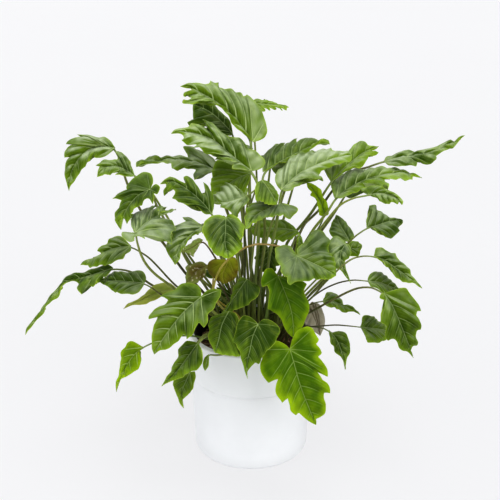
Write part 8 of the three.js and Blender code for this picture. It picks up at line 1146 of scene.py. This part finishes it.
STALK = {
    "green": stalk_material("stalk_olive", (0.062, 0.060, 0.014), (0.35, 0.40, 0.070), (0.27, 0.36, 0.12), (0.11, 0.075, 0.024)),
    "young": stalk_material("stalk_fresh", (0.085, 0.130, 0.025), (0.20, 0.28, 0.05), (0.32, 0.42, 0.11), (0.10, 0.085, 0.03)),
    "fading": stalk_material("stalk_fading", (0.095, 0.105, 0.028), (0.26, 0.25, 0.07), (0.40, 0.40, 0.12), (0.10, 0.07, 0.03)),
    "old": stalk_material("stalk_yellowed", (0.36, 0.29, 0.040), (0.60, 0.48, 0.075), (0.40, 0.34, 0.07), (0.20, 0.14, 0.03)),
    "withered": stalk_material("stalk_withered", (0.060, 0.034, 0.018), (0.17, 0.105, 0.050), (0.22, 0.13, 0.06), (0.06, 0.035, 0.02), rough=0.75),
    "dry": stalk_material("stalk_dry", (0.10, 0.070, 0.042), (0.26, 0.19, 0.12), (0.20, 0.13, 0.08), (0.07, 0.045, 0.03), rough=0.8),
}


# ---- pieces ---------------------------------------------------------------------------------------
def piece(name, P, faces, materials, values=None, which=None, sharp=50.0, turn=None):
    """A mesh object from points in millimetres."""
    me = bpy.data.meshes.new(name)
    me.from_pydata((np.asarray(P) * MM).tolist(), [], faces)
    me.validate(verbose=False)
    for m in materials:
        me.materials.append(m)
    me.polygons.foreach_set("use_smooth", np.ones(len(me.polygons), bool))
    if which is not None and len(which) == len(me.polygons):
        me.polygons.foreach_set("material_index", np.asarray(which, np.int32))
    elif which is not None:
        raise RuntimeError(f"{name}: {len(which)} faces made, {len(me.polygons)} kept")
    for k, v in (values or {}).items():
        a = me.attributes.new(k, "FLOAT_VECTOR", "POINT")
        a.data.foreach_set("vector", np.asarray(v, np.float32).ravel())
    me.set_sharp_from_angle(angle=math.radians(sharp))
    me.update()
    ob = bpy.data.objects.new(name, me)
    bpy.context.scene.collection.objects.link(ob)
    return ob


def shown(ob, node):
    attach(ob, "root")
    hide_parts(node)


def joined(parts):
    """Several (points, faces, values, material index) as one."""
    P, F, V, W, at = [], [], {}, [], 0
    for p, f, v, which in parts:
        P.append(p)
        F += [tuple(at + i for i in x) for x in f]
        W += [which] * len(f)
        for k, x in v.items():
            V.setdefault(k, []).append(x)
        at += len(p)
    return np.concatenate(P), F, {k: np.concatenate(v) for k, v in V.items()}, W


# how strong the painted sheen on a leaf's upward-facing parts is, how wide its pale margin and the painted glow along
# it are, how strong its veins are, how far they sweep forward, how much it swells between them
LOOKS = {
    "leaf_crown_top": (0.90, 0.70, 2.30, 1.55, 1.35),
    "leaf_top_shaded": (0.15, 0.60, 1.20, 1.25, 1.00),
    "leaf_top_broad": (1.50, 0.45, 1.90, 1.55, 0.80),
    "leaf_top_left_long": (0.90, 0.50, 0.80, 1.50, 0.85),
    "leaf_top_right_arched": (0.25, 0.60, 1.10, 1.50, 0.85),
    "leaf_top_right_broad": (1.20, 0.55, 1.50, 1.60, 0.75),
    "leaf_right_back_tall": (0.50, 0.80, 0.80, 1.50, 0.85),
    "leaf_right_long": (0.75, 0.90, 1.70, 1.55, 0.85),
    "leaf_right_far_long": (1.00, 0.40, 1.20, 1.50, 0.85),
    "leaf_right_drooping": (1.20, 0.60, 1.20, 1.40, 0.85),
    "leaf_young_upright": (0.00, 0.60, 1.00, 1.40, 0.85),
    "leaf_centre_grey": (1.30, 0.50, 0.80, 1.10, 0.70),
    "leaf_centre_small": (0.20, 0.80, 0.60, 1.10, 0.85),
    "leaf_centre_back": (0.25, 0.70, 1.00, 1.25, 1.00),
    "leaf_centre_flat": (0.45, 0.90, 0.60, 1.20, 0.80),
    "leaf_centre_folded": (0.30, 0.60, 0.80, 1.10, 0.85),
    "leaf_left_lobed": (0.20, 0.70, 1.00, 1.40, 0.95),
    "leaf_centre_round": (0.28, 1.40, 0.80, 1.45, 0.70),
    "leaf_left_pale": (1.15, 0.60, 1.30, 1.30, 0.95),
    "leaf_left_far_arched": (1.45, 0.50, 1.20, 1.40, 0.85),
    "leaf_left_upper": (0.60, 0.60, 1.00, 1.40, 0.85),
    "leaf_left_dark": (0.12, 0.70, 0.80, 1.20, 0.85),
    "leaf_left_upturned": (0.95, 0.50, 1.40, 1.30, 1.05),
    "leaf_left_outer": (0.50, 0.70, 1.50, 1.30, 0.95),
    "leaf_left_trailing": (0.50, 0.60, 1.20, 1.40, 0.85),
    "leaf_left_oval": (0.65, 0.60, 1.20, 1.25, 0.95),
    "leaf_left_yellow_tip": (0.60, 1.40, 0.90, 1.25, 0.85),
    "leaf_front_left_broad": (0.60, 0.80, 2.20, 1.00, 0.60),
    "leaf_left_low_young": (0.25, 0.80, 2.20, 1.20, 1.00),
    "leaf_pair_front_left": (0.40, 0.90, 0.80, 1.20, 0.85),
    "leaf_pair_rim_left": (0.04, 0.90, 0.55, 1.10, 0.80),
    "leaf_front_heart": (0.05, 0.70, 0.80, 1.20, 0.80),
    "leaf_front_upper": (0.08, 0.70, 0.60, 1.30, 0.80),
    "leaf_front_bright": (0.05, 0.90, 0.80, 1.20, 0.60),
    "leaf_front_right_broad": (0.50, 0.85, 0.75, 1.25, 0.50),
    "leaf_right_grey": (0.95, 0.60, 1.20, 1.20, 0.85),
    "leaf_front_lobed": (0.05, 1.15, 1.30, 1.00, 0.75),
    "leaf_right_inner": (0.50, 0.60, 0.60, 1.20, 0.85),
    "leaf_right_wedge": (0.65, 0.50, 1.10, 1.20, 0.85),
    "leaf_right_narrow": (0.80, 0.80, 1.10, 1.30, 0.85),
    "leaf_right_small": (0.55, 0.60, 1.40, 1.20, 0.95),
    "leaf_right_hanging": (0.75, 0.60, 1.10, 1.30, 1.00),
    "leaf_right_curled": (0.95, 0.80, 1.10, 1.20, 0.90),
    "leaf_right_low_wide": (0.50, 0.80, 0.70, 1.20, 0.85),
    "leaf_right_low_oval": (0.30, 0.60, 0.80, 1.20, 0.85),
}
# how stout a stalk is, how pale, and how green rather than brownish
STALKS = {
    "leaf_crown_top": (1.35, 0.85, 0.9),
    "leaf_top_broad": (1.30, 0.75, 0.8),
    "leaf_top_right_broad": (1.20, 0.60, 0.7),
    "leaf_top_left_long": (1.05, 0.30, 0.0),
    "leaf_right_back_tall": (1.20, 0.65, 0.6),
    "leaf_right_long": (1.10, 0.60, 0.6),
    "leaf_right_far_long": (1.00, 0.05, 0.0),
    "leaf_right_hanging": (0.85, -0.20, 0.0),
    "leaf_right_small": (0.75, -0.35, 0.0),
    "leaf_right_curled": (0.75, -0.25, 0.0),
    "leaf_right_low_wide": (0.75, -0.35, 0.0),
    "leaf_right_low_oval": (0.75, -0.30, 0.0),
    "leaf_right_narrow": (0.80, 0.10, 0.2),
    "leaf_right_wedge": (0.85, 0.15, 0.3),
    "leaf_left_trailing": (0.85, -0.10, 0.0),
    "leaf_left_oval": (0.80, -0.15, 0.0),
    "leaf_left_outer": (0.85, -0.10, 0.0),
    "leaf_left_far_arched": (1.00, -0.10, 0.0),
    "leaf_left_low_young": (0.80, 0.30, 0.5),
    "leaf_old_yellow": (1.00, 0.10, 0.0),
    "leaf_front_right_broad": (1.10, 0.40, -1.0),
    "leaf_front_bright": (1.10, 0.70, 0.9),
}
# painted shade: how much darker a leaf is painted at its base, where the leaves above shade it, and how much paler
# towards its tip
BASE_SHADE_TO_TIP = {
    "leaf_front_bright": 0.75,
    "leaf_front_heart": 0.60,
    "leaf_front_upper": 0.45,
    "leaf_pair_rim_left": 0.50,
    "leaf_pair_front_left": 0.40,
    "leaf_centre_round": 0.45,
    "leaf_front_left_broad": 0.30,
    "leaf_left_lobed": 0.30,
    "leaf_centre_folded": 0.40,
    "leaf_front_lobed": 0.30,
    "leaf_left_pale": 0.60,
    "leaf_left_upturned": 0.20,
    "leaf_centre_flat": 0.75,
    "leaf_front_right_broad": 0.65,
    "leaf_left_yellow_tip": 1.00,
    "leaf_right_long": 0.30,
    "leaf_right_back_tall": 0.35,
    "leaf_crown_top": 0.10,
}
for number, (node, leaves) in enumerate(sorted(LEAVES.items())):
    parts = []
    kind = leaves[0][0]
    for i, (kind_, tone, path, left, rib, right) in enumerate(leaves):
        rng = np.random.default_rng(1000 + 10 * number + i)
        path, left, rib, right = (np.array(x, float).reshape(-1, 3) for x in (path, left, rib, right))
        painted_sheen_amount, margin, show, sweep, quilt = LOOKS.get(node, (0.35, 0.65, 1.0, 1.25, 0.9))
        stout, stalk_tone, stalk_green = STALKS.get(node, (1.12, None, 0.30))
        bp, bf, bv, info = blade(left, rib, right, kind_, rng, 0.22 if node.startswith("shoot") else 0.0, quilt, sweep)
        sp, sf, sv = stalk(path, info, kind_, stout)
        bv["hu"] = np.tile(np.array([tone, painted_sheen_amount, margin], float), (len(bp), 1))
        # painted shade: darker towards the leaf's base, paler towards its tip
        bv["up"][:, 1] = (bv["up"][:, 1] - 0.45) * BASE_SHADE_TO_TIP.get(node, 0.22)
        bv["up"][:, 2] = show
        if stalk_tone is None:
            stalk_tone = rng.uniform(0.2, 0.85)
        sv["hu"] = np.tile(np.array([stalk_tone, stalk_green, 0.0], float), (len(sp), 1))
        parts += [(bp, bf, bv, 0), (sp, sf, sv, 1)]
    P, F, V, W = joined(parts)
    ob = piece(node + "_fine", P, F, [LEAF[kind], STALK[kind]], V, W)
    shown(ob, node)


def revolve(profile, sides):
    """A closed body of revolution; the profile starts and ends on the axis."""
    prof = np.asarray(profile, float)
    ang = np.arange(sides) * 2 * np.pi / sides
    inner = prof[1:-1]
    P = [(0, 0, prof[0, 1])]
    P += [(r * math.cos(a), r * math.sin(a), z) for r, z in inner for a in ang]
    P.append((0, 0, prof[-1, 1]))
    F = [(0, 1 + (k + 1) % sides, 1 + k) for k in range(sides)]
    for i in range(len(inner) - 1):
        for k in range(sides):
            a, b = 1 + i * sides + k, 1 + i * sides + (k + 1) % sides
            F.append((a, b, b + sides, a + sides))
    last = 1 + (len(inner) - 1) * sides
    F += [(last + k, last + (k + 1) % sides, len(P) - 1) for k in range(sides)]
    return np.array(P), F


def arc(cx, cz, r, a0, a1, n):
    return [(cx + r * math.cos(math.radians(a)), cz + r * math.sin(math.radians(a))) for a in np.linspace(a0, a1, n)]


POT_HEIGHT, POT_RIM, POT_FOOT, FOOT_ROUND, WALL, FLOOR, BAND, PROUD = 229.0, 110.0, 99.0, 10.0, 8.0, 10.0, 150.0, 2.0


def outer(z):
    return POT_FOOT + (POT_RIM - PROUD - POT_FOOT) * z / POT_HEIGHT


def inside(z):
    return outer(z) - WALL


slope = PROUD / 2
profile = [(0, 0), (30, 0), (60, 0), (POT_FOOT - FOOT_ROUND - 3, 0)]
profile += arc(POT_FOOT - FOOT_ROUND, FOOT_ROUND, FOOT_ROUND, -88, -2, 12)
profile += [(outer(z), z) for z in np.linspace(FOOT_ROUND + 3, BAND - 3.4, 16)]
profile += [(outer(BAND) - 0.35, BAND - 2.9), (outer(BAND) - 1.3, BAND - 2.4), (outer(BAND) - 1.5, BAND - 1.2), (outer(BAND) - 1.2, BAND - 0.3), (outer(BAND), BAND)]
profile += arc(outer(BAND) + PROUD - 0.7, BAND + 0.8, 0.7, -80, 0, 5)
profile += [(outer(z) + PROUD, z) for z in np.linspace(BAND + 3.5, POT_HEIGHT - 3.2, 9)]
profile += arc(POT_RIM - 2.4, POT_HEIGHT - 2.4, 2.4, 8, 90, 7)
profile += arc(inside(POT_HEIGHT) + 1.8, POT_HEIGHT - 1.8, 1.8, 90, 178, 6)
profile += [(inside(z), z) for z in np.linspace(POT_HEIGHT - 6, FLOOR + 8, 10)]
profile += arc(inside(FLOOR + 6) - 6.2, FLOOR + 6.2, 6.2, 0, -88, 6)
profile += [(50, FLOOR), (0, FLOOR)]
P, F = revolve(profile, 176)
pot = piece("pot_fine", P, F, [pot_material()], sharp=60)
shown(pot, "pot")


def liner(z):
    return 84.0 + (99.0 - 84.0) * (z - FLOOR) / (222.0 - FLOOR)


base = FLOOR + 0.4
profile = [(0, base + 1.2), (40, base + 1.2), (liner(base) - 12, base + 1.0), (liner(base) - 9, base)]
profile += arc(liner(base) - 2.6, base + 2.6, 2.6, -90, 0, 5)
profile += [(liner(z), z) for z in np.linspace(base + 6, 207, 9)]
profile += [(liner(208) + 0.25, 208.0), (liner(209) + 0.5, 209.2)]
profile += [(liner(z) + 0.5, z) for z in np.linspace(211, 219.5, 3)]
profile += arc(liner(221) - 1.0, 220.6, 1.4, 10, 170, 8)
profile += [(liner(z) - 2.0, z) for z in np.linspace(218, base + 6, 10)]
profile += arc(liner(base + 2) - 4.2, base + 4.4, 2.2, 0, -90, 4)
profile += [(30, base + 2.2), (0, base + 2.2)]
P, F = revolve(profile, 128)
grow = piece("growing_pot_fine", P, F, [plastic_material()], sharp=60)
shown(grow, "growing_pot")

# ---- bark mix -------------------------------------------------------------------------------------
rng = np.random.default_rng(77)
SOIL_TOP = 199.6


def soil_height(x, y):
    return SOIL_TOP - 3.2 + 1.6 * np.sin(x * 0.11 + 1.3) * np.sin(y * 0.09 + 0.4) + 0.9 * np.sin(x * 0.31 + y * 0.23)


edge_r = liner(SOIL_TOP) - 2.4
low_r = liner(14) - 2.6
rings, spokes = 26, 96
P, F = [(0, 0, soil_height(0, 0))], []
for i in range(1, rings + 1):
    r = edge_r * i / rings
    for k in range(spokes):
        a = 2 * math.pi * (k + 0.5 * (i % 2)) / spokes
        x, y = r * math.cos(a), r * math.sin(a)
        j = rng.uniform(-0.9, 0.9) if i < rings else 0
        P.append((x, y, float(soil_height(x, y)) + j))
for k in range(spokes):
    F.append((0, 1 + k, 1 + (k + 1) % spokes))
for i in range(rings - 1):
    for k in range(spokes):
        a, b = 1 + i * spokes + k, 1 + i * spokes + (k + 1) % spokes
        F.append((a, a + spokes, b + spokes, b))
last = 1 + (rings - 1) * spokes
wall = len(P)
LAYERS = 6
for i in range(1, LAYERS + 1):
    z = SOIL_TOP - 5 + (13.5 - SOIL_TOP + 5) * i / LAYERS
    for k in range(spokes):
        a = 2 * math.pi * (k + 0.5 * (rings % 2)) / spokes
        r = edge_r + (low_r - edge_r) * i / LAYERS
        P.append((r * math.cos(a), r * math.sin(a), z))
for k in range(spokes):
    n = (k + 1) % spokes
    F.append((last + k, wall + k, wall + n, last + n))
    for i in range(LAYERS - 1):
        a, b = wall + i * spokes + k, wall + i * spokes + n
        F.append((a, a + spokes, b + spokes, b))
bottom = len(P)
P.append((0, 0, 13.5))
for k in range(spokes):
    F.append((bottom, wall + (LAYERS - 1) * spokes + (k + 1) % spokes, wall + (LAYERS - 1) * spokes + k))
P = np.array(P, float)
parts = [(P, F, {"hu": np.tile([0.15, 0.5, 0.0], (len(P), 1))}, 0)]


def chip(rng, centre, long_, wide_, thick_, spin, tilt):
    """A slab of bark with broken ends."""
    nx, ny = 5, 4
    pts, ids, faces = [], {}, []
    ends = rng.uniform(-0.25, 0.25, (2, ny))
    bend = rng.uniform(-0.25, 0.25)
    for top in (0, 1):
        for j in range(ny):
            for i in range(nx):
                u, v = i / (nx - 1) * 2 - 1, j / (ny - 1) * 2 - 1
                x = u + (ends[0, j] if i == 0 else ends[1, j] if i == nx - 1 else 0)
                y = v * (1 - 0.18 * u * u) + rng.uniform(-0.08, 0.08)
                border = i in (0, nx - 1) or j in (0, ny - 1)
                z = (1 if top else -1) * (0.45 if border else 1.0) + rng.uniform(-0.22, 0.22) + bend * (v * v)
                ids[top, i, j] = len(pts)
                pts.append((x * long_ / 2, y * wide_ / 2, z * thick_ / 2))
    for j in range(ny - 1):
        for i in range(nx - 1):
            a, b, c, d = (ids[1, i, j], ids[1, i + 1, j], ids[1, i + 1, j + 1], ids[1, i, j + 1])
            faces.append((a, b, c, d))
            a, b, c, d = (ids[0, i, j], ids[0, i + 1, j], ids[0, i + 1, j + 1], ids[0, i, j + 1])
            faces.append((a, d, c, b))
    around = [(i, 0) for i in range(nx)] + [(nx - 1, j) for j in range(1, ny)] + [(i, ny - 1) for i in range(nx - 2, -1, -1)] + [(0, j) for j in range(ny - 2, 0, -1)]
    for k in range(len(around)):
        p, q = around[k], around[(k + 1) % len(around)]
        faces.append((ids[0, *p], ids[0, *q], ids[1, *q], ids[1, *p]))
    turn = Matrix.Rotation(spin, 3, "Z") @ Matrix.Rotation(tilt[0], 3, "X") @ Matrix.Rotation(tilt[1], 3, "Y")
    pts = np.array(pts) @ np.array(turn).T + centre
    return pts, faces


for i in range(430):
    r = edge_r * math.sqrt(rng.uniform(0, 1)) * 0.99
    a = rng.uniform(0, 2 * math.pi)
    long_ = float(np.clip(rng.lognormal(2.35, 0.35), 5, 22))
    wide_ = long_ * rng.uniform(0.4, 0.75)
    thick_ = rng.uniform(1.6, 3.6)
    r = min(r, edge_r - long_ * 0.52)
    x, y = r * math.cos(a), r * math.sin(a)
    centre = np.array([x, y, float(soil_height(x, y)) + rng.uniform(0.6, 4.2)])
    p, f = chip(rng, centre, long_, wide_, thick_, rng.uniform(0, math.pi), rng.normal(0, 0.24, 2))
    parts.append((p, f, {"hu": np.tile([rng.uniform(0, 1), 0.5, float(rng.uniform(0, 1) > 0.86) * rng.uniform(0.3, 1)], (len(p), 1))}, 0))
P, F, V, W = joined(parts)
bark = piece("bark_mix_fine", P, F, [bark_material()], V, W, sharp=32)
shown(bark, "bark_mix")

# ---- floor and light ------------------------------------------------------------------------------
def floor_material():
    s = Nodes("studio_floor")
    colour = s.mix(s.step(0.3, 0.7, s.noise(1.2, 2.0)), (0.094, 0.0945, 0.097), (0.097, 0.0975, 0.100))
    p = s.node("ShaderNodeBsdfPrincipled", {"Base Color": colour, "Roughness": 0.7})
    p.inputs["Specular IOR Level"].default_value = 0.15
    # a softly lit table top, so that shadows on it stay faint
    p.inputs["Emission Color"].default_value = (0.972, 0.972, 0.985, 1.0)
    p.inputs["Emission Strength"].default_value = 0.795
    return s.finish(p.outputs[0])


me = bpy.data.meshes.new("floor")
me.from_pydata([(-14, -10, 0), (14, -10, 0), (14, 22, 0), (-14, 22, 0)], [], [(0, 1, 2, 3)])
me.materials.append(floor_material())
floor = bpy.data.objects.new("floor", me)
bpy.context.scene.collection.objects.link(floor)

# a pale wall far away all round, so that the picture has no dark strip above the table when seen from low down
wall_r, wall_h, turns = 13.5, 9.0, 96
P = [(wall_r * math.cos(2 * math.pi * k / turns), wall_r * math.sin(2 * math.pi * k / turns), z) for z in (-0.02, wall_h) for k in range(turns)]
F = [(k, turns + k, turns + (k + 1) % turns, (k + 1) % turns) for k in range(turns)]
me = bpy.data.meshes.new("backdrop")
me.from_pydata(P, [], F)
s = Nodes("studio_wall")
me.materials.append(s.finish(s.node("ShaderNodeEmission", {"Color": (0.975, 0.980, 0.990), "Strength": 0.930}).outputs[0]))
backdrop = bpy.data.objects.new("backdrop", me)
bpy.context.scene.collection.objects.link(backdrop)
backdrop.visible_diffuse = backdrop.visible_glossy = backdrop.visible_transmission = backdrop.visible_shadow = False


def softbox(name, towards, strength, angle, colour=(1, 1, 1)):
    """A very large, far soft light that shines from the direction towards."""
    data = bpy.data.lights.new(name, "SUN")
    data.energy = strength
    data.angle = math.radians(angle)
    data.color = colour
    ob = bpy.data.objects.new(name, data)
    ob.rotation_euler = Vector(towards).to_track_quat("Z", "Y").to_euler()
    bpy.context.scene.collection.objects.link(ob)
    return ob


softbox("key", (0.55, -0.70, 0.60), 1.32, 45.0, (1.0, 0.998, 0.99))
softbox("overhead", (0.12, -0.10, 1.0), 1.75, 36.0, (0.99, 0.995, 1.0))
softbox("back", (-0.10, 0.70, 0.75), 1.05, 60.0, (0.99, 0.995, 1.0))
softbox("fill", (-0.72, -0.68, 0.12), 2.20, 100.0, (0.995, 0.997, 1.0)).visible_glossy = False
world = bpy.data.worlds.new("studio")
world.use_nodes = True
tree = world.node_tree
sky = tree.nodes["Background"]
# white all round, but darker towards the front, as a studio is behind the camera
d = tree.nodes.new("ShaderNodeSeparateXYZ")
tree.links.new(tree.nodes.new("ShaderNodeTexCoord").outputs["Generated"], d.inputs[0])
front = tree.nodes.new("ShaderNodeMapRange")
front.interpolation_type = "SMOOTHSTEP"
front.inputs["From Min"].default_value, front.inputs["From Max"].default_value = -0.15, -0.80
front.inputs["To Min"].default_value, front.inputs["To Max"].default_value = 0.40, 0.02
tree.links.new(d.outputs[1], front.inputs["Value"])
tree.links.new(front.outputs[0], sky.inputs[1])
sky.inputs[0].default_value = (0.985, 0.99, 1.0, 1.0)
bpy.context.scene.world = world
bpy.context.scene.view_settings.view_transform = "Standard"
bpy.context.scene.view_settings.look = "None"
bpy.context.scene.view_settings.gamma = 0.82
